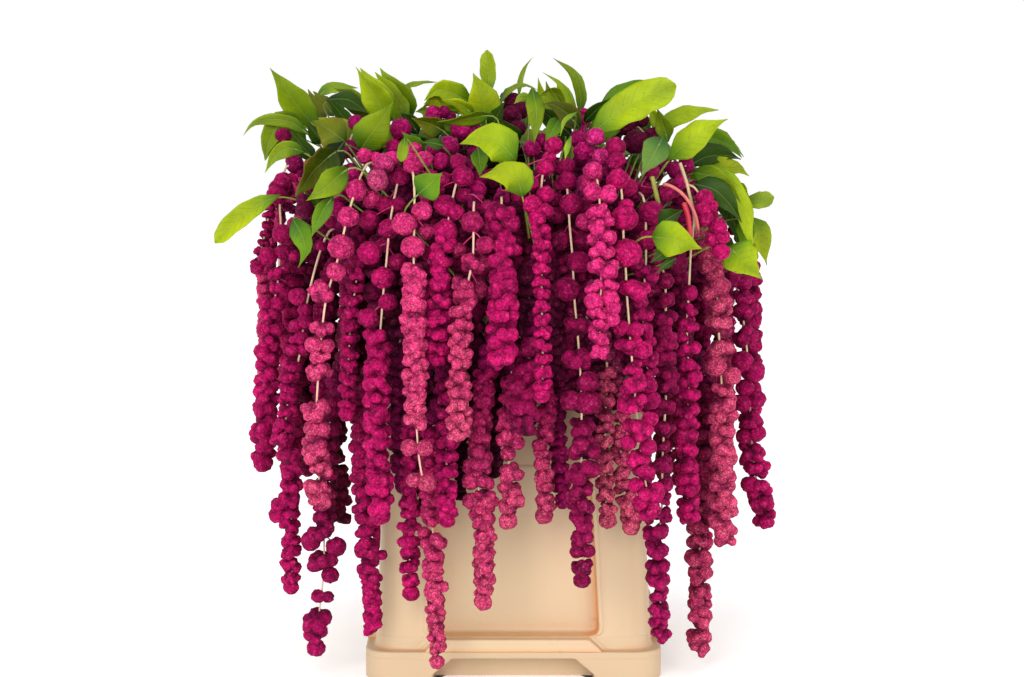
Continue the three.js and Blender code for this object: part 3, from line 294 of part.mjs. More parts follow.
    [[-4.5, -92.8, 412, 1.7], [-25.6, -158.5, 515.8, 2.6], [-28, -162.9, 508.6, 8.1], [-29.8, -166.4, 502.9, 10], [-32.8, -172.1, 493.5, 5.8]],
    [[-4.5, -92.8, 412, 1.6], [-10.2, -151.2, 391.3, 1.6], [-18.1, -159.4, 316.3, 2.6], [-18.1, -160, 307.3, 8.1], [-19, -166.3, 221.4, 8.5], [-19.1, -167.1, 211.3, 5]]
  ],
  [
    [[-35.6, -68, 412, 1.6], [-103.6, -169.8, 531.7, 1.9], [-101, -173.7, 526.2, 10.8], [-96.1, -180.9, 515.9, 12], [-94.1, -195.3, 488.6, 8.5], [-94.9, -222.3, 403.9, 8.5], [-93.3, -235.9, 304.9, 12], [-86.1, -238, 227.4, 11.4], [-84.9, -238.3, 214.6, 6.6]],
    [[-35.6, -68, 412, 1.7], [-50.2, -147.1, 396.8, 2], [-82.6, -166.7, 321.7, 2.3], [-99, -175.7, 259.4, 2.6], [-99.1, -175.9, 250.4, 9.2], [-101.4, -179.9, 106.6, 9.7], [-101.6, -180.2, 95.1, 5.8]],
    [[-35.6, -68, 412, 1.7], [-75.2, -151.7, 540.6, 2.6], [-73.4, -157.6, 534.2, 9], [-71.8, -162.9, 528.5, 9.5], [-69.5, -170.2, 520.6, 5.5]],
    [[-35.6, -68, 412, 1.7], [-41.3, -84.8, 556, 2.6], [-44.8, -85.9, 552.9, 8.6], [-47.3, -86.7, 550.7, 9], [-52.7, -88.4, 545.9, 5.2]],
    [[-35.6, -68, 412, 1.7], [-49.6, -145.3, 398.2, 1.9], [-54.4, -151.5, 390.8, 2.3], [-83.7, -159.2, 306.4, 2.6], [-83.8, -159.6, 297.4, 9.5], [-84.1, -164.3, 185.4, 10], [-84.1, -164.8, 173.9, 5.8]]
  ],
  [
    [[-22.6, 4.1, 452, 1.7], [-68.7, -34.2, 564.6, 2.6], [-72.9, -35.4, 563.6, 7.7], [-76, -36.3, 562.8, 8.1], [-82.7, -38.2, 561.2, 4.7]],
    [[-22.6, 4.1, 452, 1.6], [-3.2, 16.3, 583.9, 1.6], [-2.6, 13.8, 579, 9.9], [-1.1, 8.9, 569.8, 10.3], [0.8, -8.6, 554.6, 10.1], [1.8, -17.9, 546.5, 6.3]],
    [[-22.6, 4.1, 452, 1.7], [-52.7, 49.4, 510, 2.6], [-58.4, 56, 510, 7.7], [-69.1, 68.3, 510.1, 8.6], [-85.5, 83.6, 490.1, 8.1], [-90.8, 88.6, 483.7, 4.7]],
    [[-22.6, 4.1, 452, 1.7], [-3.3, 5.4, 525.4, 2.6], [-2.5, 12.7, 525, 8.2], [-1.1, 26.4, 524.1, 9.2], [-2.2, 43.5, 500.6, 8.7], [-2.6, 49.6, 492.3, 5]],
    [[-22.6, 4.1, 452, 1.7], [-69.4, -15.4, 513, 2.6], [-77.6, -18, 513.2, 7.8], [-93, -22.8, 513.7, 8.7], [-114, -28.5, 493, 8.2], [-120.9, -30.4, 486.3, 4.8]]
  ],
  [
    [[-60.7, -84.5, 412, 1.6], [-151.2, -161.2, 426.5, 1.6], [-152.2, -163.2, 417.8, 7.7], [-158.5, -176.5, 362.8, 8.5], [-161.1, -186.5, 284.6, 8.1], [-161.5, -187.7, 275.1, 4.7]],
    [[-60.7, -84.5, 412, 1.7], [-108.3, -151.8, 519.3, 2.6], [-109.9, -155.7, 511.4, 6.6], [-119.1, -179, 463.8, 7.9], [-125.6, -196.1, 388.6, 13], [-131, -205.3, 301.4, 13], [-128.3, -207.7, 192.3, 12.3], [-127.9, -208, 178.6, 7.2]],
    [[-60.7, -84.5, 412, 1.7], [-85.9, -150.4, 392, 1.8], [-114.2, -152.4, 361.2, 2.3], [-146.4, -159.8, 306.5, 2.6], [-146.8, -160.4, 297.5, 9.9], [-150.2, -165.7, 220.3, 11], [-139.6, -167.7, 67.7, 10.4], [-138.8, -167.9, 55.9, 6.1]],
    [[-60.7, -84.5, 412, 1.7], [-121.1, -149.7, 512.9, 2.3], [-121.1, -166.6, 525.8, 2.6], [-124, -172.4, 519.5, 9.5], [-127.8, -179.9, 511.3, 10], [-131.5, -187.2, 503.3, 5.8]],
    [[-60.7, -84.5, 412, 1.7], [-81.4, -148.9, 393.9, 1.9], [-112.8, -160.5, 355.9, 2.6], [-112.6, -160.4, 346.9, 8.8], [-109, -160, 206, 9.3], [-108.8, -159.9, 195, 5.5]]
  ],
];

// ---- solids ---------------------------------------------------------------
const V = (p) => new THREE.Vector3(p[0], p[1], p[2]);

// a closed skin over a row of rings that all have the same number of corners;
// mirrored turns the diagonal round on every second side, so that a twisted thin blade keeps its thickness
function loft(rings, mirrored = false) {
  const n = rings[0].length;
  const pos = [];
  const idx = [];
  rings.forEach((ring) => ring.forEach((p) => pos.push(p.x, p.y, p.z)));
  for (let k = 0; k < rings.length - 1; k++) {
    for (let j = 0; j < n; j++) {
      const a = k * n + j;
      const b = k * n + (j + 1) % n;
      if (mirrored && j % 2 === 1) idx.push(a, b, a + n, b, b + n, a + n);
      else idx.push(a, b, b + n, a, b + n, a + n);
    }
  }
  for (let j = 1; j < n - 1; j++) idx.push(0, j + 1, j);
  const e = (rings.length - 1) * n;
  for (let j = 1; j < n - 1; j++) idx.push(e, e + j, e + j + 1);
  return { pos, idx };
}

function toManifold(mesh) {
  return new wasm.Manifold(new wasm.Mesh({
    numProp: 3,
    vertProperties: new Float32Array(mesh.pos),
    triVerts: new Uint32Array(mesh.idx),
  }));
}

// round bar through points of [x, y, z, radius]
function bar(points, sides) {
  const c = points.map(V);
  const t = c.map((p, k) => {
    const a = c[Math.max(0, k - 1)];
    const b = c[Math.min(c.length - 1, k + 1)];
    const before = p.clone().sub(a).normalize();
    const after = b.clone().sub(p).normalize();
    return before.add(after).normalize();
  });
  let side = new THREE.Vector3(1, 0, 0);
  if (Math.abs(t[0].x) > 0.9) side = new THREE.Vector3(0, 1, 0);
  const rings = c.map((p, k) => {
    side = side.clone().sub(t[k].clone().multiplyScalar(side.dot(t[k]))).normalize();
    const up = new THREE.Vector3().crossVectors(t[k], side);
    const ring = [];
    for (let j = 0; j < sides; j++) {
      const a = (j / sides) * Math.PI * 2;
      ring.push(p.clone()
        .add(side.clone().multiplyScalar(Math.cos(a) * points[k][3]))
        .add(up.clone().multiplyScalar(Math.sin(a) * points[k][3])));
    }
    return ring;
  });
  return toManifold(loft(rings));
}

// half width of a blade along its length, widest before the middle
const bladeProfile = (u) => Math.max(0.06, Math.sin(Math.PI * Math.min(1, u + 0.02) ** 0.75) ** 0.85);

// a leaf: its stalk, then the blade, a thin plate over the midrib
function buildLeaf(leaf) {
  const c = leaf.rib.map(V);
  const stalk = leaf.stalk.slice(0, -1);
  const face = V(leaf.face);
  const roll = THREE.MathUtils.degToRad(leaf.roll);
  const diamond = (p, across, out, half, h) => [
    p.clone().add(across.clone().multiplyScalar(half)),
    p.clone().add(out.clone().multiplyScalar(h)),
    p.clone().add(across.clone().multiplyScalar(-half)),
    p.clone().add(out.clone().multiplyScalar(-h)),
  ];
  let first = null;
  const rings = c.map((p, k) => {
    const t = c[Math.min(c.length - 1, k + 1)].clone().sub(c[Math.max(0, k - 1)]).normalize();
    const s = new THREE.Vector3().crossVectors(t, face).normalize();
    const n = new THREE.Vector3().crossVectors(s, t);
    const across = s.clone().multiplyScalar(Math.cos(roll)).add(n.clone().multiplyScalar(Math.sin(roll)));
    const out = new THREE.Vector3().crossVectors(across, t).normalize();
    if (!first) first = across.clone();
    const half = Math.max(1.2, leaf.width / 2 * bladeProfile(k / (c.length - 1)));
    return diamond(p, across, out, half, LEAF_THICKNESS / 2);
  });
  let side = first;
  for (let k = stalk.length - 1; k >= 0; k--) {
    const p = V(stalk[k]);
    const next = k + 1 < stalk.length ? V(stalk[k + 1]) : c[0];
    const before = k > 0 ? V(stalk[k - 1]) : p;
    const t = next.clone().sub(before).normalize();
    side = side.clone().sub(t.clone().multiplyScalar(side.dot(t))).normalize();
    const out = new THREE.Vector3().crossVectors(side, t).normalize();
    rings.unshift(diamond(p, side, out, stalk[k][3], stalk[k][3]));
  }
  const solid = toManifold(loft(rings, true));
  return solid.volume() < 0 ? toManifold(loft(rings.map((r) => [r[0], r[3], r[2], r[1]]), true)) : solid;
}

function roundedSquare(size, radius) {
  const h = size / 2;
  const s = new THREE.Shape();
  s.moveTo(-h + radius, -h);
  s.lineTo(h - radius, -h);
  s.absarc(h - radius, -h + radius, radius, -Math.PI / 2, 0, false);
  s.lineTo(h, h - radius);
  s.absarc(h - radius, h - radius, radius, 0, Math.PI / 2, false);
  s.lineTo(-h + radius, h);
  s.absarc(-h + radius, h - radius, radius, Math.PI / 2, Math.PI, false);
  s.lineTo(-h, -h + radius);
  s.absarc(-h + radius, -h + radius, radius, Math.PI, Math.PI * 1.5, false);
  return s;
}

// prism of a plan shape from z0 to z1
function plate(shape, z0, z1, curveSegments = 5) {
  const g = new THREE.ExtrudeGeometry(shape, { depth: z1 - z0, bevelEnabled: false, curveSegments });
  g.translate(0, 0, z0);
  return fromGeometry(g);
}

// prism of an elevation shape (x, z) standing across the front, from y0 to y1
function wallPlate(shape, y0, y1, curveSegments = 4) {
  const g = new THREE.ExtrudeGeometry(shape, { depth: y1 - y0, bevelEnabled: false, curveSegments });
  g.rotateX(Math.PI / 2);
  g.translate(0, y1, 0);
  return fromGeometry(g);
}

function fromGeometry(g) {
  const p = g.getAttribute('position');
  const key = new Map();
  const pos = [];
  const map = [];
  for (let i = 0; i < p.count; i++) {
    const k = [p.getX(i), p.getY(i), p.getZ(i)].map((v) => v.toFixed(4)).join(',');
    if (!key.has(k)) {
      key.set(k, pos.length / 3);
      pos.push(p.getX(i), p.getY(i), p.getZ(i));
    }
    map.push(key.get(k));
  }
  const idx = [];
  const index = g.index;
  const total = index ? index.count : p.count;
  for (let i = 0; i < total; i += 3) {
    const t = [0, 1, 2].map((j) => map[index ? index.getX(i + j) : i + j]);
    if (t[0] !== t[1] && t[1] !== t[2] && t[0] !== t[2]) idx.push(...t);
  }
  return toManifold({ pos, idx });
}

function toMesh(solid, name, colour, roughness) {
  const m = solid.getMesh();
  const g = new THREE.BufferGeometry();
  g.setAttribute('position', new THREE.BufferAttribute(new Float32Array(m.vertProperties), 3));
  g.setIndex(new THREE.BufferAttribute(new Uint32Array(m.triVerts), 1));
  g.computeVertexNormals();
  const mesh = new THREE.Mesh(g, new THREE.MeshStandardMaterial({ color: colour, roughness, metalness: 0 }));
  mesh.name = name;
  return mesh;
}

// ---- bucket ---------------------------------------------------------------
function trapezium(halfLow, halfHigh, z0, z1, r) {
  const s = new THREE.Shape();
  if (r > 0) {
    s.moveTo(-halfLow + r, z0);
    s.lineTo(halfLow - r, z0);
    s.absarc(halfLow - r, z0 + r, r, -Math.PI / 2, 0, false);
    s.lineTo(halfHigh, z1 - r);
    s.lineTo(halfHigh - r, z1);
    s.lineTo(-halfHigh + r, z1);
    s.lineTo(-halfHigh, z1 - r);
    s.lineTo(-halfLow, z0 + r);
    s.absarc(-halfLow + r, z0 + r, r, Math.PI, Math.PI * 1.5, false);
  } else {
    s.moveTo(-halfLow, z0);
    s.lineTo(halfLow, z0);
    s.lineTo(halfHigh, z1);
    s.lineTo(-halfHigh, z1);
    s.closePath();
  }
  return s;
}

// corners of a rounded square at one height
function squareRing(size, radius, z) {
  const h = size / 2 - radius;
  const ring = [];
  for (let k = 0; k < 4; k++) {
    const cx = [h, h, -h, -h][k];
    const cy = [-h, h, h, -h][k];
    for (let j = 0; j <= 6; j++) {
      const a = -Math.PI / 2 + k * Math.PI / 2 + (j / 6) * Math.PI / 2;
      ring.push(new THREE.Vector3(cx + radius * Math.cos(a), cy + radius * Math.sin(a), z));
    }
  }
  return ring;
}

function buildBucket() {
  const body = BODY_SIZE / 2;
  const foot = FOOT_SIZE / 2;
  let shell = plate(roundedSquare(FOOT_SIZE, FOOT_RADIUS), 0, FOOT_HEIGHT)
    .add(plate(roundedSquare(BODY_SIZE, BODY_RADIUS), FOOT_HEIGHT - 5, BUCKET_HEIGHT))
    .add(toManifold(loft([squareRing(SKIRT_SIZE, BODY_RADIUS + 2, FOOT_HEIGHT - 2), squareRing(BODY_SIZE, BODY_RADIUS, SKIRT_TOP)])))
    .add(plate(roundedSquare(RIM_SIZE, BODY_RADIUS + 8), BUCKET_HEIGHT - RIM_DEPTH, BUCKET_HEIGHT));
  let cavity = plate(roundedSquare(BODY_SIZE - 2 * WALL, BODY_RADIUS - WALL), FLOOR, BUCKET_HEIGHT + 20);
  for (let k = 0; k < 4; k++) {
    const turn = 90 * k;
    const plinth = wallPlate(trapezium(PLINTH_HALF_LOW, PLINTH_HALF_HIGH, FOOT_HEIGHT - 1, PLINTH_TOP, 0), -foot, -body + 6);
    const panel = wallPlate(trapezium(PANEL_HALF_LOW, PANEL_HALF_HIGH, PANEL_BOTTOM, PANEL_TOP, PANEL_RADIUS), -body - 30, -body + PANEL_DEPTH);
    const inner = wallPlate(trapezium(PANEL_HALF_LOW + WALL, PANEL_HALF_HIGH + WALL, FLOOR - 6, PANEL_TOP + WALL, 0), -body - 30, -body + PANEL_DEPTH + WALL);
    const s = new THREE.Shape();
    s.moveTo(-NOTCH_HALF_LOW, -5);
    s.lineTo(NOTCH_HALF_LOW, -5);
    s.lineTo(NOTCH_HALF_LOW, NOTCH_SHOULDER);
    s.lineTo(NOTCH_HALF_HIGH, NOTCH_TOP);
    s.lineTo(-NOTCH_HALF_HIGH, NOTCH_TOP);
    s.lineTo(-NOTCH_HALF_LOW, NOTCH_SHOULDER);
    s.closePath();
    const notch = wallPlate(s, -foot - 10, -foot + NOTCH_DEPTH);
    shell = shell.add(plinth.rotate([0, 0, turn]));
    shell = shell.subtract(panel.rotate([0, 0, turn])).subtract(notch.rotate([0, 0, turn]));
    cavity = cavity.subtract(inner.rotate([0, 0, turn]));
  }
  return shell.subtract(cavity);
}

// ---- the whole arrangement --------------------------------------------------
const group = new THREE.Group();
group.add(toMesh(buildBucket(), 'bucket', 0xeccca0, 0.45));

const two = (k) => String(k + 1).padStart(2, '0');
const LEAF_GREEN = 0x6f9a1c;
const TASSEL_RED = 0xb3165e;

STEMS.forEach((stem, k) => {
  let solid = bar([[...stem.foot, STALK_RADIUS_FOOT], [...stem.top, STALK_RADIUS_TOP]], 6);
  stem.leaves.forEach((leaf) => {
    solid = solid.add(buildLeaf(leaf));
  });
  group.add(toMesh(solid, `leafy_stem_${two(k)}`, LEAF_GREEN, 0.5));
});

HEADS.forEach((tassels, k) => {
  const [x, y, z] = STEMS[k].top;
  let solid = bar([[x, y, z + JOINT_GAP, TRUNK_RADIUS], [x, y, z + TRUNK_LENGTH, TRUNK_RADIUS * 0.8]], 6);
  tassels.forEach((tassel) => {
    solid = solid.add(bar(tassel, tassel.length > 9 ? 5 : 4));
  });
  group.add(toMesh(solid, `seed_head_${two(k)}`, TASSEL_RED, 0.85));
});

export default group;
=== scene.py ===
# Looks for a square flower bucket filled with cut trailing amaranth.
import math
import bpy
import numpy as np
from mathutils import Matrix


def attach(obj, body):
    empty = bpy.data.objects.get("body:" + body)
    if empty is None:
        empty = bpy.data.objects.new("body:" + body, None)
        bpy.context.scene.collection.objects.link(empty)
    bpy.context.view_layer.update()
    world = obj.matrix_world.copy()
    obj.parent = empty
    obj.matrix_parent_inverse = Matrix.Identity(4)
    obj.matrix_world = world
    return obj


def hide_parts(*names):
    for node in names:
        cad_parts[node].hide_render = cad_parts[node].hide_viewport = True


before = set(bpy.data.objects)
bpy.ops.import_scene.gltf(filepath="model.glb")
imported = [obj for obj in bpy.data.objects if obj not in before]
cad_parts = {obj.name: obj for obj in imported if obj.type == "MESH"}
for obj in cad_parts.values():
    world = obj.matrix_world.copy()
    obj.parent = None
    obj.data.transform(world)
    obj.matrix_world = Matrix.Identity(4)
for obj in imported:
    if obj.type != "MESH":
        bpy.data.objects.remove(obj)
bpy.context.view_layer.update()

MM = 0.001

# ---- arrangement, in millimetres ------------------------------------------
# HEADS: x, y, z of the top of the cut stem, then its tassels:
#   name, colour, radius, thin part of the axis, beaded part of the axis, beads (0 ball or 1 tier, x, y, z, radius[, tone])
# STEMS: foot, top, then its leaves: name, colour, width, roll, facing, leaf stalk, midrib
HEADS = [
 [29.7, -71.6, 405.0, [
  ("T21","red",13.0,[(29.7,-71.6,415.0),(50.0,-155.4,518.5)],[(50.0,-155.4,518.5),(53.0,-175.8,482.0),(54.3,-187.5,451.5),(57.4,-193.8,430.0),(57.3,-201.3,397.3),(61.1,-206.9,364.7),(65.6,-213.1,299.1),(64.9,-215.0,243.9),(68.1,-216.0,122.3)],[(0,49.5,-157.7,514.8,9.7),(0,51.8,-165.8,501.6,9.2),(0,55.5,-176.8,479.6,10.6),(0,62.8,-194.9,425.6,10.5),(0,51.3,-200.7,400.2,11.5),(1,61.8,-207.1,363.4,12.4),(1,60.8,-210.4,334.8,12.9),(0,71.4,-212.3,311.9,10.5),(0,55.1,-213.4,293.7,10.1),(0,71.4,-213.5,292.7,12.0),(1,65.7,-214.4,268.6,12.5),(1,66.7,-214.9,249.3,14.2),(1,66.8,-215.4,224.1,14.6),(1,64.0,-215.6,205.6,12.3),(1,66.0,-215.7,190.9,12.5),(1,65.0,-215.8,176.3,12.0),(1,66.1,-215.9,160.6,11.1),(0,61.3,-215.9,146.9,6.8),(0,71.9,-215.9,147.8,6.8),(1,66.2,-216.0,132.1,10.1),(0,66.2,-216.0,119.3,8.2),(0,44.1,-162.3,497.6,5.8,-0.1),(0,46.0,-173.5,445.1,9.7,-0.4),(0,42.2,-166.1,468.7,8.7,-0.3),(0,41.3,-161.8,484.0,7.8,-0.2),(0,67.5,-161.8,478.2,8.7,-0.3),(0,67.2,-176.8,445.3,8.7,-0.4)]),
  ("T22","pinkb",11.0,[(29.7,-71.6,415.0),(35.5,-86.4,429.7),(50.2,-123.0,460.8),(79.9,-188.9,513.4)],[(79.9,-188.9,513.4),(82.3,-205.4,485.6),(82.8,-218.5,455.0),(83.2,-230.8,411.1),(80.6,-241.1,367.1),(81.5,-246.0,345.2)],[(0,75.8,-189.5,512.5,9.1),(0,75.8,-201.4,493.1,8.9),(0,90.0,-202.3,491.3,8.6),(1,81.2,-210.1,475.6,10.9),(1,83.0,-215.2,463.6,11.9),(1,83.8,-219.5,451.6,12.8),(1,83.8,-223.7,437.7,11.8),(1,85.2,-228.0,422.0,13.7),(1,77.0,-232.2,405.3,9.0),(1,91.1,-231.8,407.2,8.5),(0,76.0,-235.3,392.3,9.0),(0,91.1,-234.7,395.1,8.5),(1,78.8,-237.9,381.2,9.0),(0,93.9,-236.9,385.9,7.1),(0,92.9,-239.2,375.7,7.1),(1,79.7,-240.8,368.3,9.0),(1,79.6,-243.3,357.2,8.9),(1,80.5,-245.8,346.1,8.9),(0,68.3,-200.5,464.5,8.6,-0.4),(0,73.5,-180.9,501.5,7.7,-0.3)]),
  ("C17","mag",9.0,[(29.7,-71.6,415.0),(28.2,-111.8,541.1)],[(28.2,-111.8,541.1),(17.3,-119.7,530.6)],[(0,28.2,-113.3,539.2,6.9),(0,18.3,-119.7,530.6,8.4)]),
  ("H6","crimd",9.5,[(29.7,-71.6,415.0),(31.2,-95.2,410.9),(33.7,-130.9,401.2),(34.8,-141.0,396.4),(36.1,-148.0,389.4),(38.9,-153.1,369.8),(45.7,-157.5,316.0)],[(45.7,-157.5,316.0),(42.0,-162.4,260.7),(48.7,-166.9,183.4)],[]),
  ("H7","vdark",9.5,[(29.7,-71.6,415.0),(42.9,-125.2,403.9),(49.6,-144.5,396.9),(54.6,-150.7,391.7),(60.4,-154.5,385.5),(78.6,-162.0,365.9)],[(78.6,-162.0,365.9),(78.5,-162.9,355.2),(77.9,-161.0,301.0),(77.1,-163.6,247.5)],[]),
 ]],
 [76.5, -64.8, 409.6, [
  ("T25b","dmag",11.0,[(76.5,-64.8,419.6),(90.4,-94.6,445.2),(123.7,-161.2,496.5)],[(123.7,-161.2,496.5),(129.2,-171.5,478.4),(126.7,-180.4,458.9),(128.0,-188.8,438.5),(123.7,-197.4,363.0),(127.8,-199.2,341.9),(131.5,-202.5,288.2)],[(0,133.7,-174.8,471.3,12.1),(0,128.4,-185.9,446.1,9.6),(1,129.2,-192.2,414.8,11.0),(0,121.6,-195.2,387.1,7.7),(1,124.5,-196.4,374.7,10.1),(1,124.1,-197.6,360.3,10.1),(1,126.9,-198.9,345.9,10.1),(1,128.7,-200.0,331.5,10.1),(1,129.3,-200.9,317.1,10.1),(0,129.5,-201.5,306.5,8.7),(0,131.4,-202.3,293.0,9.6),(0,133.1,-147.2,510.3,8.8,-0.5),(0,148.0,-152.6,489.2,8.8,-0.5),(0,127.9,-147.2,491.8,8.8,-0.5),(0,122.7,-166.4,459.1,8.7,-0.4),(0,137.2,-166.4,456.1,8.7,-0.5),(0,136.8,-176.6,430.8,8.7,-0.5)]),
  ("T26","dark",11.5,[(76.5,-64.8,419.6),(86.7,-78.9,421.7),(109.3,-108.2,422.0),(147.2,-150.2,421.6)],[(147.2,-150.2,421.6),(148.8,-161.0,389.8),(147.9,-166.8,346.7),(149.4,-171.3,303.7),(145.3,-174.8,228.1),(145.9,-175.6,184.7),(141.9,-175.6,141.5),(145.3,-175.7,76.3),(148.5,-175.8,54.8)],[(0,148.4,-156.7,403.6,8.3),(1,147.8,-161.8,384.5,9.7),(1,147.7,-164.1,368.1,11.7),(1,148.1,-166.0,353.6,10.7),(1,148.0,-167.5,341.0,10.7),(1,148.5,-168.9,328.4,10.7),(1,149.3,-170.2,315.8,10.7),(1,149.7,-171.4,302.2,11.7),(1,147.9,-172.8,280.7,10.7),(1,146.0,-173.9,259.1,10.7),(1,145.1,-174.4,242.4,7.8),(1,145.2,-174.9,225.7,10.8),(0,148.3,-175.3,204.9,7.8),(1,146.5,-175.5,191.0,7.8),(1,146.6,-175.6,175.1,9.8),(0,132.9,-175.6,170.1,4.9),(1,139.9,-175.6,156.1,12.8),(1,141.0,-175.6,139.2,11.8),(1,142.1,-175.6,123.1,11.3),(1,142.2,-175.7,110.1,11.8),(1,143.2,-175.7,96.1,9.6),(1,143.4,-175.7,81.0,10.3),(1,142.5,-175.8,66.9,9.2),(1,146.5,-175.8,54.8,9.7),(0,159.5,-136.2,419.4,12.3,-0.2),(0,145.2,-136.2,416.4,7.9,-0.2)]),
  ("T27","crim",11.0,[(76.5,-64.8,419.6),(91.9,-74.7,430.0),(131.2,-98.7,451.2),(181.1,-123.5,475.6)],[(181.1,-123.5,475.6),(174.2,-133.3,432.4),(172.6,-140.6,388.6),(169.9,-144.2,355.8),(173.4,-147.9,301.2),(170.7,-149.2,246.1),(173.0,-150.0,169.0)],[(0,173.7,-140.4,390.1,7.9),(1,172.7,-142.3,374.5,8.9),(1,170.8,-143.9,358.8,10.3),(0,164.9,-145.0,346.1,6.9),(1,171.8,-145.9,334.3,11.3),(1,171.9,-147.0,319.6,10.8),(1,173.9,-147.7,305.7,11.3),(1,172.1,-148.3,287.9,11.3),(1,171.7,-148.7,274.0,11.0),(1,171.2,-149.0,260.7,11.1),(1,170.7,-149.2,247.3,11.1),(1,171.0,-149.4,233.9,11.1),(1,172.1,-149.6,220.5,11.1),(1,172.7,-149.7,207.0,11.1),(1,172.8,-149.8,193.5,11.1),(1,172.9,-149.9,180.0,11.1),(1,173.0,-150.0,168.0,10.4),(0,166.3,-109.5,479.7,8.4,-0.5),(0,157.2,-112.3,466.0,8.9,-0.5),(0,157.1,-117.2,448.5,8.9,-0.6)]),
  ("T31","brightm",10.0,[(76.5,-64.8,419.6),(110.6,-93.5,451.7),(172.0,-148.9,503.6)],[(172.0,-148.9,503.6),(178.1,-154.3,494.9),(183.5,-157.0,485.6),(198.3,-161.5,456.1),(201.0,-162.8,445.6),(201.6,-164.0,434.6)],[(0,185.7,-157.2,484.6,8.7),(0,184.2,-158.8,474.1,7.8),(0,192.9,-158.4,477.0,5.8),(0,186.6,-160.2,464.4,7.8),(0,198.7,-161.4,456.7,8.7),(0,201.6,-162.6,447.1,8.3),(0,192.9,-163.0,444.2,6.8),(0,201.6,-164.0,433.6,8.7)]),
  ("C23","dark",9.0,[(76.5,-64.8,419.6),(94.7,-75.3,446.9),(150.2,-107.0,521.1)],[(150.2,-107.0,521.1),(161.9,-114.9,510.2),(170.3,-118.4,513.8)],[(0,147.8,-110.5,515.8,8.9),(0,160.2,-114.9,509.7,8.4),(0,170.8,-110.8,515.4,7.9)]),
 ]],
 [28.1, 90.4, 437.7, [
  ("B33","mag",10.9,[(28.1,90.4,447.7),(43.6,112.6,460.6),(64.4,142.7,473.2)],[(64.4,142.7,473.2),(69.3,150.4,473.0),(73.9,157.9,470.2),(77.8,164.8,465.4),(84.2,177.0,452.2),(90.3,191.3,427.2),(93.2,199.4,398.0),(93.9,202.6,356.2),(93.9,205.0,192.5),(96.0,205.0,126.1)],[]),
  ("B37","crim",11.5,[(28.1,90.4,447.7),(17.4,125.1,474.9),(7.3,163.0,494.7)],[(7.3,163.0,494.7),(6.0,171.9,494.7),(5.1,189.0,487.7),(5.0,196.6,482.1),(4.6,209.8,468.1),(4.4,215.3,460.0),(3.6,223.1,441.7),(2.6,229.6,411.8),(1.9,234.2,359.2),(0.5,236.3,272.7),(3.2,234.9,53.3)],[]),
  ("B38","mag",11.4,[(28.1,90.4,447.7),(30.9,106.3,459.5),(34.9,129.7,473.2),(41.6,171.1,492.4)],[(41.6,171.1,492.4),(43.0,180.1,492.1),(45.6,188.2,488.7),(48.2,195.4,483.4),(52.4,208.2,469.9),(53.9,213.8,462.1),(55.9,222.7,444.7),(57.4,230.1,415.6),(58.0,233.1,384.5),(58.0,237.8,277.5),(58.4,236.7,157.6),(56.2,235.6,81.0)],[]),
  ("B39","bright",12.9,[(28.1,90.4,447.7),(42.0,110.0,463.9),(60.7,136.4,481.2),(86.0,173.2,493.9)],[(86.0,173.2,493.9),(91.0,181.2,493.1),(95.5,188.9,490.0),(99.6,196.1,485.3),(106.6,208.8,472.6),(114.9,223.6,448.2),(117.1,227.2,439.2),(120.1,232.2,419.8),(121.6,234.9,399.4),(122.0,236.5,368.0),(123.2,234.7,217.2),(119.5,235.3,130.1)],[]),
  ("Y5","crim",8.7,[(28.1,90.4,447.7),(34.7,106.4,469.9),(46.2,134.2,500.9)],[(46.2,134.2,500.9),(49.1,141.6,504.0),(52.2,149.4,503.9),(55.3,157.0,500.7),(60.6,170.1,489.0),(62.8,183.0,474.3)],[]),
 ]],
 [-55.6, 76.5, 417.4, [
  ("B24","crim",12.4,[(-55.6,76.5,427.4),(-65.0,90.2,433.3),(-84.2,118.4,440.4)],[(-84.2,118.4,440.4),(-89.6,125.7,439.0),(-94.7,132.4,435.0),(-103.4,144.2,422.7),(-113.0,158.6,398.5),(-117.0,164.8,379.8),(-120.4,169.1,349.0),(-122.7,171.2,306.2),(-123.9,172.2,251.4),(-122.9,173.9,173.7)],[]),
  ("B29","crim",10.8,[(-55.6,76.5,427.4),(-66.5,89.9,437.7),(-82.7,110.1,449.4),(-110.8,146.2,463.6)],[(-110.8,146.2,463.6),(-116.5,153.6,463.0),(-121.8,160.7,459.9),(-126.7,167.3,455.1),(-135.4,179.0,442.5),(-142.3,188.4,426.8),(-145.0,192.2,418.0),(-150.2,199.6,389.0),(-152.9,202.8,358.1),(-154.3,204.2,315.8),(-152.1,204.4,66.1)],[]),
  ("B35","red",12.4,[(-55.6,76.5,427.4),(-60.2,90.2,441.2),(-69.6,117.8,463.3),(-79.9,147.3,481.8),(-88.5,170.7,493.3)],[(-88.5,170.7,493.3),(-91.8,179.3,493.4),(-96.0,187.3,491.4),(-100.1,194.8,487.4),(-106.7,207.8,475.3),(-113.8,222.9,451.0),(-116.7,229.2,432.3),(-118.6,232.7,412.2),(-120.5,235.2,370.3),(-121.4,236.8,273.1),(-118.5,232.8,53.8)],[]),
  ("K41","mag",11.6,[(-55.6,76.5,427.4),(-69.9,88.1,436.6),(-98.6,111.6,450.0),(-128.3,135.7,460.4),(-151.7,153.2,466.2)],[(-151.7,153.2,466.2),(-159.4,159.1,465.2),(-166.5,165.1,462.0),(-173.0,170.8,457.3),(-184.2,181.0,444.4),(-196.4,192.9,419.5),(-201.8,197.7,400.3),(-206.7,200.9,369.4),(-208.4,202.9,337.4),(-209.6,206.1,194.5)],[]),
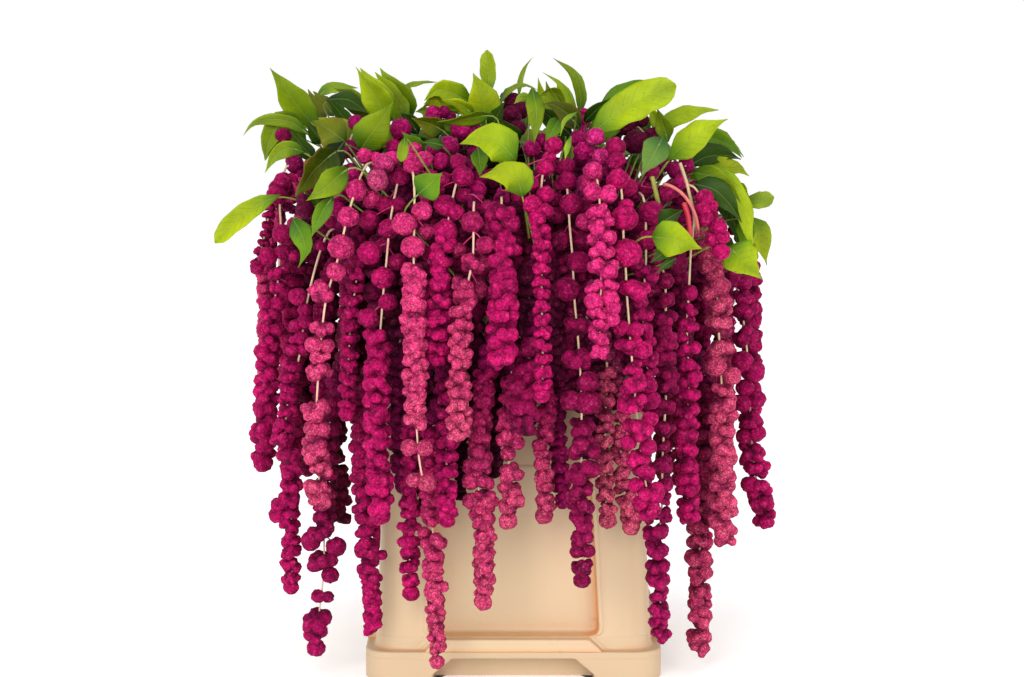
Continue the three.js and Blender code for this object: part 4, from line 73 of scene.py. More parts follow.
  ("Y3","red",8.8,[(-55.6,76.5,427.4),(-74.6,88.0,457.7),(-100.3,103.4,490.1)],[(-100.3,103.4,490.1),(-106.8,108.0,493.5),(-113.4,112.9,493.6),(-120.0,117.9,490.5),(-131.7,125.9,478.8),(-142.7,131.9,463.8)],[]),
 ]],
 [-79.0, 11.4, 407.2, [
  ("S2","pink",9.5,[(-79.0,11.4,417.2),(-100.7,13.0,439.6),(-130.5,15.2,464.2),(-154.5,16.5,480.3),(-189.0,18.3,498.3)],[(-189.0,18.3,498.3),(-198.3,19.0,498.8),(-207.4,19.7,496.5),(-223.6,21.1,486.6),(-230.6,21.8,479.9),(-242.6,23.2,464.4),(-251.6,24.8,446.5),(-254.7,25.3,436.9),(-258.9,25.7,416.7),(-260.9,25.5,395.8),(-260.9,25.6,287.9),(-264.6,25.1,222.0)],[]),
  ("S3","red",11.5,[(-79.0,11.4,417.2),(-110.0,14.3,439.4),(-150.7,17.8,460.5)],[(-150.7,17.8,460.5),(-159.6,18.5,460.2),(-168.1,19.1,456.9),(-175.9,19.6,451.9),(-189.7,20.8,438.9),(-205.7,22.3,414.4),(-212.3,23.2,395.5),(-217.0,24.4,365.1),(-218.8,25.5,312.3),(-220.3,23.6,247.6),(-218.4,21.0,182.2)],[]),
  ("S4","dusty",11.6,[(-79.0,11.4,417.2),(-112.3,17.7,426.5)],[(-112.3,17.7,426.5),(-121.5,18.2,424.8),(-130.2,18.7,420.9),(-146.2,20.1,409.3),(-160.6,21.6,394.9),(-167.9,23.2,376.0),(-173.0,24.1,355.9),(-180.2,25.1,301.6)],[]),
  ("S6","mag",11.8,[(-79.0,11.4,417.2),(-106.6,25.1,436.4),(-134.8,40.5,450.2)],[(-134.8,40.5,450.2),(-142.8,43.9,451.0),(-150.4,47.5,448.8),(-164.1,53.3,438.7),(-180.8,59.6,416.8),(-188.5,62.4,399.1),(-191.0,63.3,389.8),(-194.1,64.2,369.9),(-196.4,64.6,339.0),(-201.5,62.7,188.8)],[]),
 ]],
 [-78.7, 57.4, 408.7, [
  ("S9","mag",10.7,[(-78.7,57.4,418.7),(-93.6,62.5,426.8),(-123.7,72.6,437.9)],[(-123.7,72.6,437.9),(-131.6,75.9,436.5),(-138.8,79.2,432.5),(-150.9,86.0,420.6),(-165.1,94.9,397.7),(-171.8,98.8,379.8),(-175.7,101.0,360.4),(-178.6,102.5,329.9),(-181.2,102.8,245.6)],[]),
  ("S10","pink",11.8,[(-78.7,57.4,418.7),(-100.2,68.3,438.0),(-129.8,82.2,458.5),(-153.2,93.4,471.5),(-185.9,109.2,485.4)],[(-185.9,109.2,485.4),(-194.3,113.4,485.3),(-202.3,117.5,482.6),(-209.7,121.5,478.2),(-222.4,128.7,465.8),(-236.7,137.4,441.6),(-242.4,141.1,422.8),(-247.1,144.2,382.1),(-250.7,145.3,297.1),(-249.3,146.6,134.4)],[]),
  ("S11","red",11.1,[(-78.7,57.4,418.7),(-92.3,66.1,430.1),(-112.5,79.0,443.4),(-147.7,102.0,461.8)],[(-147.7,102.0,461.8),(-155.5,107.0,461.6),(-163.0,111.9,458.8),(-169.7,116.9,454.1),(-180.9,126.7,441.6),(-190.5,133.9,426.0),(-201.0,140.2,398.1),(-205.3,142.7,377.9),(-208.4,144.3,346.4),(-208.9,143.5,248.6),(-212.4,145.5,182.4)],[]),
  ("K40","crim",11.6,[(-78.7,57.4,418.7),(-99.8,75.5,431.9),(-135.5,106.1,448.1),(-157.8,124.6,455.4),(-190.9,145.5,462.1)],[(-190.9,145.5,462.1),(-199.1,150.4,460.9),(-207.0,155.0,457.6),(-214.3,159.4,452.8),(-226.9,167.6,440.3),(-237.1,174.8,424.9),(-241.1,177.7,416.3),(-246.8,181.7,397.5),(-250.4,184.0,367.0),(-251.2,185.6,335.6),(-251.2,187.6,271.4),(-251.0,188.1,162.8)],[]),
 ]],
 [87.4, 18.9, 414.7, [
  ("S14","mag",11.4,[(87.4,18.9,424.7),(101.7,19.5,439.3),(130.5,19.1,462.2),(180.2,18.8,487.4)],[(180.2,18.8,487.4),(189.4,19.2,487.7),(198.4,19.9,485.4),(214.4,21.4,475.5),(221.3,22.1,468.8),(233.1,23.5,453.2),(241.8,24.6,435.3),(244.8,25.0,425.7),(248.6,25.3,405.6),(250.9,25.6,374.3),(251.2,26.3,266.6),(250.5,24.7,190.1)],[]),
  ("S15","bright",9.7,[(87.4,18.9,424.7),(108.1,19.9,441.6),(138.4,18.5,455.9)],[(138.4,18.5,455.9),(147.0,19.0,455.4),(154.9,19.7,451.7),(161.9,20.6,446.1),(173.8,22.2,432.0),(188.2,23.8,407.1),(195.8,24.6,378.5),(199.5,25.5,337.5),(202.0,26.0,263.2),(203.7,23.8,155.2),(201.3,21.4,68.4)],[]),
  ("S17","mag",10.5,[(87.4,18.9,424.7),(102.3,23.1,437.9),(124.5,29.2,453.5),(164.0,39.5,475.7)],[(164.0,39.5,475.7),(172.9,41.7,475.8),(180.8,45.3,472.6),(194.8,51.2,461.0),(200.9,53.4,453.7),(210.9,57.4,437.1),(220.8,61.3,408.7),(225.3,63.6,377.7),(227.2,65.6,334.9),(227.3,65.0,180.9)],[]),
  ("S18","pink",10.0,[(87.4,18.9,424.7),(101.9,27.7,435.2),(123.7,40.7,446.8)],[(123.7,40.7,446.8),(131.6,44.7,445.7),(139.1,48.0,441.7),(152.6,53.0,429.5),(169.7,58.4,406.2),(178.0,61.5,388.3),(180.7,62.8,378.6),(185.0,65.3,347.8),(186.6,65.8,305.0),(187.7,64.3,228.4),(184.8,62.3,161.8)],[]),
  ("Y8","crim",9.2,[(87.4,18.9,424.7),(105.8,28.8,446.0),(137.2,45.5,475.5)],[(137.2,45.5,475.5),(144.6,49.2,478.3),(152.1,53.1,477.9),(159.4,56.9,474.6),(172.7,61.6,462.8),(184.9,64.9,447.7)],[]),
 ]],
 [56.3, -87.0, 405.0, [
  ("T23","grey",9.5,[(56.3,-87.0,415.0),(66.2,-131.3,402.0),(69.2,-141.0,397.1),(72.8,-148.0,390.7),(77.1,-152.1,382.8),(88.6,-158.4,355.6),(92.1,-171.4,317.9)],[(92.1,-171.4,317.9),(90.8,-175.6,296.9),(88.4,-179.8,243.5),(91.5,-182.0,168.4)],[(1,91.9,-172.4,314.1,9.3),(1,91.1,-175.0,301.3,9.3),(1,90.3,-176.6,288.3,9.3),(1,89.5,-177.8,275.2,9.3),(1,88.9,-178.7,262.1,9.3),(1,88.5,-179.5,249.0,9.3),(1,88.5,-180.2,235.8,9.3),(1,88.9,-180.7,222.6,9.3),(1,89.4,-181.1,209.4,9.3),(1,90.0,-181.5,196.1,9.3),(1,92.4,-181.7,183.3,9.1),(0,92.4,-182.0,171.4,8.8)]),
  ("T24","grey",9.5,[(56.3,-87.0,415.0),(61.7,-109.8,409.7),(67.0,-132.3,402.0),(70.1,-141.9,396.9),(73.7,-148.4,389.9),(81.5,-153.1,370.9),(108.4,-161.4,286.9)],[(108.4,-161.4,286.9),(104.7,-163.8,244.5),(106.4,-165.3,212.7),(115.7,-167.3,160.4)],[(1,108.0,-161.7,283.0,9.3),(1,106.7,-162.5,269.5,9.3),(1,105.4,-163.2,256.1,9.3),(1,104.8,-163.9,242.6,9.3),(1,105.5,-164.6,229.1,9.3),(1,106.3,-165.2,215.6,9.3),(1,108.1,-165.8,202.1,9.3),(1,111.7,-166.3,188.3,9.8),(1,114.7,-166.8,174.4,10.3),(0,115.7,-167.2,161.4,8.4)]),
  ("T25","bright",13.5,[(56.3,-87.0,415.0),(68.6,-111.1,447.7),(98.8,-172.0,522.2)],[(98.8,-172.0,522.2),(102.8,-182.2,505.3),(105.3,-200.1,467.6),(103.9,-207.3,447.1),(107.1,-212.1,425.9),(107.0,-215.8,404.2),(111.5,-222.5,350.3),(117.1,-226.2,285.4),(123.5,-227.4,231.3),(131.7,-227.9,188.4)],[(0,100.3,-183.0,503.6,10.6),(0,107.6,-194.9,479.4,7.2),(0,106.0,-199.8,468.2,12.4),(0,108.1,-210.2,435.6,13.8),(1,114.6,-216.4,400.8,13.8),(0,102.3,-221.1,365.0,7.6),(0,115.6,-221.3,363.1,8.1),(1,110.8,-222.9,346.1,12.4),(0,123.2,-223.0,344.2,8.6),(1,113.7,-224.2,328.0,8.6),(1,114.7,-225.1,312.8,11.9),(1,112.0,-226.0,292.7,12.4),(1,118.8,-226.7,268.7,13.8),(0,130.1,-226.5,278.3,7.6),(0,110.2,-227.0,256.2,7.6),(0,128.4,-227.1,251.4,8.1),(1,118.9,-227.3,239.8,11.0),(1,125.7,-227.5,226.3,11.5),(0,117.1,-227.6,214.6,7.6),(1,130.6,-227.7,205.9,12.9),(0,121.1,-227.8,197.2,7.7),(1,130.7,-227.9,189.4,10.5),(0,100.0,-168.0,522.0,8.2,-0.1),(0,98.9,-158.0,534.1,9.7,-0.3),(0,110.5,-172.9,495.3,9.2,-0.4),(0,117.3,-198.1,425.9,7.7,-0.4)]),
  ("C19","mag",9.5,[(56.3,-87.0,415.0),(70.6,-114.0,549.0)],[(70.6,-114.0,549.0),(68.6,-118.0,542.7),(64.1,-138.2,530.4)],[(0,63.5,-122.0,540.5,8.4),(0,68.6,-138.2,527.7,9.8)]),
  ("C21","pinkb",9.0,[(56.3,-87.0,415.0),(82.3,-146.2,538.5)],[(82.3,-146.2,538.5),(86.9,-156.9,523.4)],[(0,79.9,-146.2,543.3,8.8),(0,85.9,-156.3,524.4,9.2)]),
 ]],
 [85.5, -28.9, 405.0, [
  ("T28","palep",13.0,[(85.5,-28.9,415.0),(99.8,-40.4,421.0),(137.5,-68.7,431.5),(186.4,-97.7,443.0)],[(186.4,-97.7,443.0),(194.0,-106.2,411.5),(202.8,-111.1,392.0),(204.4,-114.8,370.5),(203.5,-117.5,349.0),(206.5,-119.9,327.6),(206.5,-121.5,306.0),(208.9,-122.8,284.4),(208.8,-124.6,186.2),(211.2,-124.9,142.6)],[(0,183.4,-97.7,443.0,8.0),(0,189.3,-100.0,435.1,9.0),(0,192.1,-103.0,424.4,8.0),(0,193.0,-105.7,413.6,9.0),(0,203.0,-105.1,416.0,8.0),(0,201.4,-107.9,404.8,9.0),(0,204.8,-110.6,394.1,11.0),(0,194.8,-112.2,386.2,8.0),(1,205.7,-114.3,373.4,12.9),(1,203.7,-116.7,355.7,12.9),(1,207.6,-119.5,331.9,12.4),(0,201.7,-120.8,315.0,10.5),(0,217.7,-121.5,305.1,9.0),(1,208.8,-122.4,291.1,10.5),(1,208.9,-123.1,277.1,13.2),(1,209.0,-123.5,263.3,13.2),(1,209.1,-123.9,249.5,13.2),(1,209.2,-124.2,235.6,13.2),(1,208.8,-124.3,221.7,13.2),(1,208.6,-124.5,207.7,13.2),(1,208.7,-124.6,193.7,13.2),(1,209.1,-124.7,179.8,13.2),(1,209.9,-124.8,165.8,13.2),(1,210.7,-124.8,151.7,13.2),(1,211.2,-124.9,141.5,11.5)]),
  ("T29","dark",12.0,[(85.5,-28.9,415.0),(109.4,-33.9,409.5),(132.2,-39.1,401.8),(141.9,-42.3,397.0),(149.6,-46.0,390.8),(159.4,-54.8,374.9),(175.0,-70.8,340.0),(199.9,-87.4,286.1)],[(199.9,-87.4,286.1),(194.8,-93.9,232.8),(191.0,-97.8,168.3),(188.5,-99.0,114.3),(190.4,-99.8,16.8)],[(1,199.4,-88.0,282.1,12.1),(1,197.9,-90.1,267.5,12.1),(1,196.5,-91.9,252.8,12.1),(1,195.2,-93.4,238.1,12.1),(1,194.1,-94.7,223.4,12.1),(1,193.1,-95.8,208.6,12.1),(1,192.3,-96.6,193.7,12.1),(1,191.5,-97.4,178.9,12.2),(1,190.9,-97.9,163.9,12.2),(1,190.5,-98.4,149.0,12.2),(1,189.9,-98.7,134.0,12.2),(1,188.5,-99.0,115.4,14.7),(1,189.6,-99.3,97.9,12.7),(1,189.5,-99.5,82.4,12.2),(1,189.0,-99.5,66.8,12.2),(1,189.0,-99.6,51.2,12.2),(1,189.4,-99.7,35.6,12.2),(1,190.3,-99.8,23.1,10.7)]),
  ("T30","dcrim",13.0,[(85.5,-28.9,415.0),(104.8,-32.4,414.1),(145.8,-39.8,408.2),(229.2,-52.4,394.4)],[(229.2,-52.4,394.4),(238.1,-58.1,329.1),(242.0,-60.1,285.2),(242.9,-60.8,241.0),(251.3,-61.5,175.2),(259.1,-61.8,143.0)],[(0,224.7,-52.4,395.4,9.2),(0,234.9,-52.7,391.3,8.2),(1,234.4,-54.2,377.1,10.2),(1,236.4,-55.6,361.9,12.8),(1,236.5,-57.6,337.4,13.3),(0,233.7,-59.0,310.9,11.2),(0,247.0,-59.5,300.6,10.7),(0,236.9,-60.1,284.2,9.2),(0,234.0,-60.4,268.7,9.7),(0,249.3,-60.4,272.8,9.2),(1,242.4,-60.7,252.2,11.8),(0,236.4,-60.9,234.6,8.2),(0,249.7,-60.9,237.7,9.2),(1,244.8,-61.2,218.0,12.3),(1,250.1,-61.4,200.3,12.3),(0,243.1,-61.5,184.7,9.2),(1,253.5,-61.5,179.5,11.8),(1,255.7,-61.7,162.8,12.3),(1,259.0,-61.8,148.2,11.3)]),
  ("C20","vdark",10.0,[(85.5,-28.9,415.0),(97.6,-37.3,495.7),(102.7,-44.2,529.1),(107.8,-54.2,562.1)],[(107.8,-54.2,562.1),(117.7,-59.5,557.9),(125.8,-65.5,552.4),(136.8,-79.8,537.9)],[(0,113.3,-66.5,551.4,9.6),(0,122.3,-79.8,535.9,12.0),(0,129.6,-62.3,555.3,8.1),(0,139.0,-75.4,542.2,8.0)]),
  ("S12","dusty",11.7,[(85.5,-28.9,415.0),(112.5,-22.8,441.9),(148.8,-15.3,468.3)],[(148.8,-15.3,468.3),(157.5,-14.1,468.7),(165.9,-13.2,465.9),(173.7,-12.2,461.1),(187.3,-9.8,448.4),(193.3,-8.6,441.0),(198.3,-9.9,432.8),(206.3,-12.5,415.0),(208.9,-13.4,405.4),(213.1,-15.2,375.2),(215.1,-16.2,333.3),(217.4,-16.2,236.8),(218.3,-14.3,149.9)],[]),
 ]],
 [-82.3, -63.6, 405.0, [
  ("T3","pink",12.5,[(-82.3,-63.6,415.0),(-102.1,-93.7,456.9),(-139.6,-148.6,526.0)],[(-139.6,-148.6,526.0),(-146.7,-160.8,510.2),(-155.3,-179.1,484.2),(-160.6,-185.0,465.2),(-169.0,-193.4,423.8),(-180.1,-198.6,393.9),(-185.7,-204.0,340.4),(-189.6,-206.7,286.6),(-189.4,-207.4,254.2),(-186.9,-207.6,221.8),(-188.7,-207.9,189.4)],[(0,-158.5,-184.2,468.1,10.1),(0,-165.6,-190.4,439.7,12.0),(0,-170.3,-194.8,416.0,9.1),(1,-182.7,-198.0,398.0,12.5),(1,-182.7,-202.2,361.8,11.0),(0,-191.4,-203.5,346.5,8.6),(0,-178.9,-203.6,345.6,7.2),(1,-185.6,-204.4,335.0,9.6),(1,-187.6,-205.3,320.6,12.0),(1,-189.8,-206.9,283.0,12.5),(0,-192.8,-207.2,266.5,8.7),(0,-184.2,-207.3,265.5,7.7),(1,-191.0,-207.4,253.9,12.0),(1,-190.2,-207.5,239.3,12.0),(1,-185.5,-207.6,225.6,11.1),(1,-189.5,-207.8,209.0,12.1),(1,-186.7,-207.9,195.3,10.6),(0,-144.7,-144.6,524.8,7.8,0.0),(0,-134.0,-144.6,522.9,5.9,0.0),(0,-152.1,-169.5,493.2,10.6,0.1),(0,-137.3,-159.5,482.9,8.7,-0.2)]),
  ("T4","dark",11.5,[(-82.3,-63.6,415.0),(-130.5,-75.4,401.7),(-140.7,-78.4,397.1),(-148.2,-82.3,391.2),(-155.6,-91.7,375.6),(-164.6,-109.3,341.2),(-171.9,-119.5,314.3),(-179.4,-127.1,286.8)],[(-179.4,-127.1,286.8),(-183.3,-133.8,243.1),(-186.5,-137.9,199.0),(-189.4,-140.5,143.7),(-187.8,-140.6,132.6),(-191.1,-141.4,88.2),(-196.7,-141.8,55.3),(-197.7,-142.0,33.0)],[(1,-179.9,-128.0,281.9,10.9),(1,-181.1,-130.5,267.2,10.9),(1,-182.4,-132.6,252.4,10.9),(1,-183.7,-134.4,237.6,10.9),(1,-184.8,-136.0,222.8,10.9),(1,-185.9,-137.3,207.9,10.9),(1,-186.7,-138.3,192.9,10.9),(1,-187.1,-139.1,177.9,10.9),(1,-187.8,-139.8,162.9,11.0),(1,-191.7,-140.2,150.8,12.0),(0,-201.7,-140.5,141.8,10.0),(0,-176.8,-140.5,135.7,10.0),(1,-189.9,-140.9,120.5,13.5),(0,-183.0,-141.1,107.3,8.5),(0,-195.2,-141.4,86.0,7.0),(0,-185.2,-141.4,85.0,6.0),(1,-195.4,-141.8,62.6,14.0),(1,-197.5,-141.9,47.3,12.0),(0,-197.7,-142.0,33.0,9.0)]),
  ("C2","vdark",9.0,[(-82.3,-63.6,415.0),(-96.9,-72.2,427.6),(-133.9,-93.0,453.6),(-196.5,-123.5,492.4)],[(-196.5,-123.5,492.4),(-205.2,-129.9,475.1),(-206.8,-132.7,465.4)],[(0,-196.5,-123.5,492.4,7.9),(0,-205.0,-130.7,472.2,8.9),(0,-207.1,-127.8,480.8,6.9),(0,-206.2,-118.7,454.5,7.9,-0.4)]),
  ("C3","dmag",8.5,[(-82.3,-63.6,415.0),(-94.4,-73.2,430.1),(-125.1,-96.8,462.1),(-177.9,-132.6,510.6)],[(-177.9,-132.6,510.6),(-187.5,-136.9,500.0)],[(0,-177.9,-132.6,510.6,6.9),(0,-189.0,-136.9,500.0,7.8)]),
  ("C5","crim",8.5,[(-82.3,-63.6,415.0),(-114.3,-97.5,459.3),(-159.7,-141.1,513.0)],[(-159.7,-141.1,513.0),(-165.3,-151.2,496.5),(-171.0,-165.3,469.7)],[(0,-156.5,-144.9,506.8,7.8),(0,-166.6,-155.9,488.0,8.7),(0,-171.2,-162.4,475.3,7.8)]),
 ]],
 [-34.0, -98.3, 405.0, [
  ("T10","mag",12.0,[(-34.0,-98.3,415.0),(-38.2,-124.6,450.9),(-47.4,-184.5,524.7)],[(-47.4,-184.5,524.7),(-58.4,-196.5,489.4),(-63.1,-205.5,459.3),(-67.8,-210.5,438.2),(-70.4,-217.2,393.9),(-72.9,-220.0,338.0)],[(0,-48.3,-191.0,507.8,10.0),(0,-65.3,-199.2,480.1,10.5),(0,-54.8,-201.5,473.1,8.1),(0,-65.2,-206.3,456.3,11.4),(1,-66.6,-209.4,443.2,11.7),(1,-69.0,-212.2,429.4,11.7),(1,-69.7,-214.5,415.5,11.7),(1,-70.2,-216.3,401.7,11.7),(1,-70.6,-217.8,387.7,11.7),(1,-71.2,-218.9,373.8,11.7),(1,-71.8,-219.5,359.8,11.7),(1,-72.5,-219.9,345.7,11.7),(1,-72.9,-220.0,336.1,9.5),(0,-52.6,-184.1,520.9,8.1,0.0),(0,-65.8,-179.8,503.4,7.7,-0.4),(0,-73.4,-182.5,493.9,7.7,-0.4),(0,-79.9,-196.5,433.5,7.7,-0.5)]),
  ("T12","mag",10.5,[(-34.0,-98.3,415.0),(-37.5,-120.2,407.4),(-41.0,-140.3,397.6),(-43.2,-147.9,391.3),(-45.8,-153.1,383.5),(-65.2,-173.9,318.8),(-79.1,-186.9,261.3)],[(-79.1,-186.9,261.3),(-80.0,-193.3,218.4),(-79.5,-198.0,175.5),(-77.1,-199.6,154.1),(-73.6,-204.3,35.1)],[(1,-79.2,-187.6,257.4,10.2),(1,-79.5,-189.7,243.8,10.2),(1,-79.8,-191.6,230.2,10.2),(1,-80.0,-193.5,216.6,10.2),(1,-80.0,-195.2,202.9,10.2),(1,-80.0,-196.7,189.2,10.2),(1,-80.0,-197.9,176.6,9.7),(0,-86.8,-199.0,162.0,6.3),(1,-77.1,-199.6,153.2,13.1),(1,-78.1,-201.0,131.8,10.2),(1,-78.2,-201.7,119.0,9.7),(1,-75.3,-202.2,106.3,11.2),(1,-76.3,-202.9,89.5,9.7),(1,-75.4,-203.3,75.7,9.2),(1,-74.4,-203.7,61.9,8.8),(1,-73.5,-204.0,48.0,8.3),(0,-74.5,-204.3,35.1,7.3)]),
  ("T13","mag",11.0,[(-34.0,-98.3,415.0),(-39.1,-139.7,400.3),(-40.8,-148.2,394.8),(-42.8,-154.6,387.8),(-51.9,-173.1,354.4),(-62.2,-192.5,311.1)],[(-62.2,-192.5,311.1),(-63.0,-200.2,277.9),(-64.9,-208.2,233.6),(-63.0,-215.0,178.1)],[(1,-62.3,-193.4,307.3,10.6),(1,-62.6,-196.7,293.6,10.6),(1,-63.0,-199.7,279.9,10.6),(1,-63.5,-202.5,266.2,10.6),(1,-64.1,-205.1,252.5,10.6),(1,-64.7,-207.4,238.7,10.6),(1,-64.7,-209.5,224.9,10.6),(1,-64.3,-211.3,211.1,10.6),(1,-63.8,-212.9,197.2,10.6),(1,-64.0,-214.0,187.7,10.1),(0,-64.0,-215.0,178.1,7.7)]),
  ("T14","dusty",11.5,[(-34.0,-98.3,415.0),(-35.1,-129.6,441.3),(-37.6,-201.4,490.3)],[(-37.6,-201.4,490.3),(-38.2,-210.5,470.9),(-37.4,-222.9,429.0),(-43.8,-227.7,408.4),(-48.0,-231.7,387.3),(-50.2,-238.4,333.3),(-52.5,-242.1,268.3)],[(0,-39.4,-212.4,465.3,10.4),(0,-27.0,-218.9,444.0,8.5),(1,-38.3,-223.5,426.3,11.4),(1,-47.8,-228.0,406.8,9.9),(1,-46.9,-230.6,393.7,11.2),(1,-48.6,-232.7,381.0,11.2),(1,-49.4,-234.6,368.2,11.2),(1,-49.6,-236.2,355.4,11.2),(1,-49.7,-237.5,342.5,11.2),(1,-50.3,-238.7,329.6,11.2),(1,-50.6,-239.6,316.7,11.2),(1,-50.9,-240.4,303.8,11.2),(1,-51.5,-241.1,290.8,11.2),(1,-52.1,-241.7,277.8,11.2),(1,-51.6,-242.1,267.3,9.9),(0,-47.4,-187.4,488.5,7.7,-0.4),(0,-25.3,-192.6,477.3,7.7,-0.3),(0,-51.9,-206.1,438.1,7.6,-0.4),(0,-24.3,-200.0,458.7,6.7,-0.3),(0,-25.2,-208.9,426.9,8.6,-0.4),(0,-31.9,-213.7,400.6,8.6,-0.5)]),
  ("H3","vdark",6.5,[(-34.0,-98.3,415.0),(-36.3,-130.9,403.1),(-37.2,-141.0,397.4),(-38.2,-148.0,390.1),(-40.7,-153.2,370.9),(-50.4,-159.8,286.6)],[(-50.4,-159.8,286.6),(-51.6,-165.1,188.0)],[]),
 ]],
 [24.3, -101.1, 405.0, [
  ("T18","red",15.0,[(24.3,-101.1,415.0),(25.5,-134.9,402.0),(26.5,-159.4,389.0),(24.3,-180.5,371.9),(16.8,-205.3,346.7)],[(16.8,-205.3,346.7),(11.5,-216.2,316.5),(9.1,-229.9,276.0)],[(1,16.1,-206.7,343.1,13.4),(1,12.9,-212.8,326.5,13.4),(1,10.9,-218.4,309.9,13.4),(1,10.1,-220.9,302.5,15.3),(1,9.1,-226.5,286.0,15.2),(1,9.1,-229.9,272.1,12.4)]),
  ("T19","pinkc",9.0,[(24.3,-101.1,415.0),(31.3,-177.6,527.3)],[(31.3,-177.6,527.3),(26.2,-193.9,502.2),(25.8,-198.7,493.1),(25.5,-207.5,474.3),(26.1,-218.5,444.0),(26.9,-234.2,380.3),(27.9,-241.5,337.9),(26.9,-245.9,306.2)],[(0,29.7,-185.7,515.2,8.1),(0,16.7,-194.7,500.8,8.1),(0,30.5,-200.0,490.7,8.1),(0,18.3,-204.4,481.4,9.0),(0,30.5,-207.1,475.4,7.6),(0,22.4,-210.0,468.0,8.1),(1,26.1,-214.6,456.0,9.5),(1,27.0,-218.5,443.9,9.0),(1,26.1,-221.7,432.8,8.5),(1,26.0,-224.8,421.7,8.3),(1,26.7,-227.6,410.5,8.1),(1,27.0,-230.4,398.5,8.1),(1,26.9,-233.0,386.4,8.1),(1,27.0,-235.4,374.3,8.1),(1,27.3,-237.6,362.2,8.1),(1,27.7,-239.6,350.1,8.1),(1,27.9,-241.5,338.0,8.1),(1,27.8,-243.2,325.8,8.1),(1,27.3,-244.9,313.7,8.1),(0,26.4,-245.9,304.3,7.7),(0,38.6,-173.6,536.2,8.7,0.0),(0,34.2,-173.6,524.2,6.7,-0.1),(0,5.3,-174.6,512.7,7.7,-0.5)]),
  ("T20","mag",9.5,[(24.3,-101.1,415.0),(24.7,-121.8,407.6),(25.1,-141.1,397.5),(25.3,-148.8,390.8),(25.7,-154.5,382.6),(27.5,-177.0,327.4),(34.5,-181.7,299.7)],[(34.5,-181.7,299.7),(31.4,-185.8,254.8),(31.4,-189.7,198.6),(29.7,-191.0,176.2)],[(1,34.2,-182.1,295.9,9.2),(1,33.2,-183.3,282.6,9.2),(1,32.3,-184.5,269.4,9.2),(1,31.5,-185.7,256.1,9.2),(0,25.8,-186.5,246.4,7.3),(1,28.7,-187.2,236.7,8.7),(0,27.8,-187.8,228.0,7.8),(1,30.7,-188.6,216.3,9.2),(1,30.7,-189.4,203.6,8.8),(1,31.7,-190.2,189.9,10.0),(0,29.7,-190.9,177.2,8.6)]),
  ("H5","vdark",10.0,[(24.3,-101.1,415.0),(21.8,-125.5,420.3),(16.1,-160.5,424.5)],[(16.1,-160.5,424.5),(15.5,-164.8,402.3),(14.4,-169.3,357.7),(13.2,-174.6,257.3)],[(0,7.4,-146.5,423.2,8.8,-0.5),(0,8.4,-150.8,399.1,8.8,-0.5)]),
  ("H9","vdark",9.5,[(24.3,-101.1,415.0),(27.9,-115.5,418.7),(38.6,-155.6,424.1)],[(38.6,-155.6,424.1),(38.5,-163.3,392.4),(37.6,-172.5,318.1)],[(0,41.8,-141.6,424.8,8.8,-0.5)]),
 ]],
 [-101.3, -8.6, 415.9, [
  ("T0","crim",6.0,[(-101.3,-8.6,425.9),(-120.1,-14.2,433.5),(-158.8,-24.0,445.4),(-249.0,-36.3,471.9)],[(-249.0,-36.3,471.9),(-255.1,-41.2,431.8),(-262.3,-43.9,413.1),(-262.3,-45.0,402.9)],[(1,-249.3,-36.7,468.9,6.1),(1,-250.4,-37.8,459.6,6.1),(1,-251.5,-38.9,450.3,6.1),(1,-253.3,-40.0,441.0,6.1),(1,-255.1,-41.2,431.8,6.1),(1,-259.3,-42.6,422.5,6.1),(1,-262.2,-43.9,413.2,6.1),(1,-262.3,-44.9,403.9,6.1)]),
  ("T1","crim",12.0,[(-101.3,-8.6,425.9),(-117.2,-14.1,439.9),(-157.3,-27.5,469.5),(-232.8,-50.5,518.6)],[(-232.8,-50.5,518.6),(-233.5,-54.7,497.7),(-238.4,-58.8,477.3),(-233.9,-63.0,445.2),(-238.4,-66.0,424.2),(-236.8,-67.9,402.8),(-237.8,-68.8,392.1),(-245.8,-71.6,360.7),(-255.2,-75.0,230.8),(-255.5,-75.1,209.0)],[(0,-233.6,-55.2,495.5,9.1),(0,-239.6,-58.0,481.5,10.1),(0,-233.5,-63.4,442.3,10.1),(0,-248.6,-66.5,419.2,9.6),(0,-233.4,-66.0,424.2,8.1),(0,-222.3,-66.4,420.2,6.1),(0,-259.8,-67.5,408.1,7.1),(1,-235.5,-67.8,404.0,11.1),(1,-237.6,-69.3,386.9,11.2),(0,-250.8,-70.6,372.7,7.1),(0,-238.7,-70.7,371.7,8.1),(1,-245.8,-71.7,358.6,10.1),(0,-251.0,-72.3,346.4,8.1),(0,-239.8,-72.3,345.4,8.1),(1,-247.0,-72.9,333.2,10.2),(1,-249.0,-73.4,320.9,12.7),(1,-249.3,-73.7,306.7,12.7),(1,-250.1,-74.0,292.3,12.7),(1,-251.1,-74.3,278.0,12.7),(1,-252.4,-74.6,263.6,12.7),(1,-253.7,-74.8,249.2,12.7),(1,-254.9,-74.9,234.8,12.7),(1,-255.4,-75.0,220.4,12.7),(0,-255.5,-75.1,209.0,9.7),(0,-237.0,-42.8,486.7,12.2,-0.3),(0,-224.0,-36.5,514.9,8.2,-0.3),(0,-234.9,-36.5,540.3,8.2,-0.5),(0,-228.9,-36.5,530.1,6.1,-0.5)]),
  ("S0","crim",11.4,[(-101.3,-8.6,425.9),(-128.3,-10.2,453.7),(-164.9,-12.1,481.2)],[(-164.9,-12.1,481.2),(-173.7,-12.4,481.5),(-182.2,-12.6,478.3),(-196.7,-13.2,466.7),(-213.6,-14.0,443.0),(-221.5,-14.2,424.9),(-224.0,-14.3,415.1),(-228.3,-14.7,384.2),(-230.7,-15.2,341.6),(-231.8,-18.8,154.8)],[]),
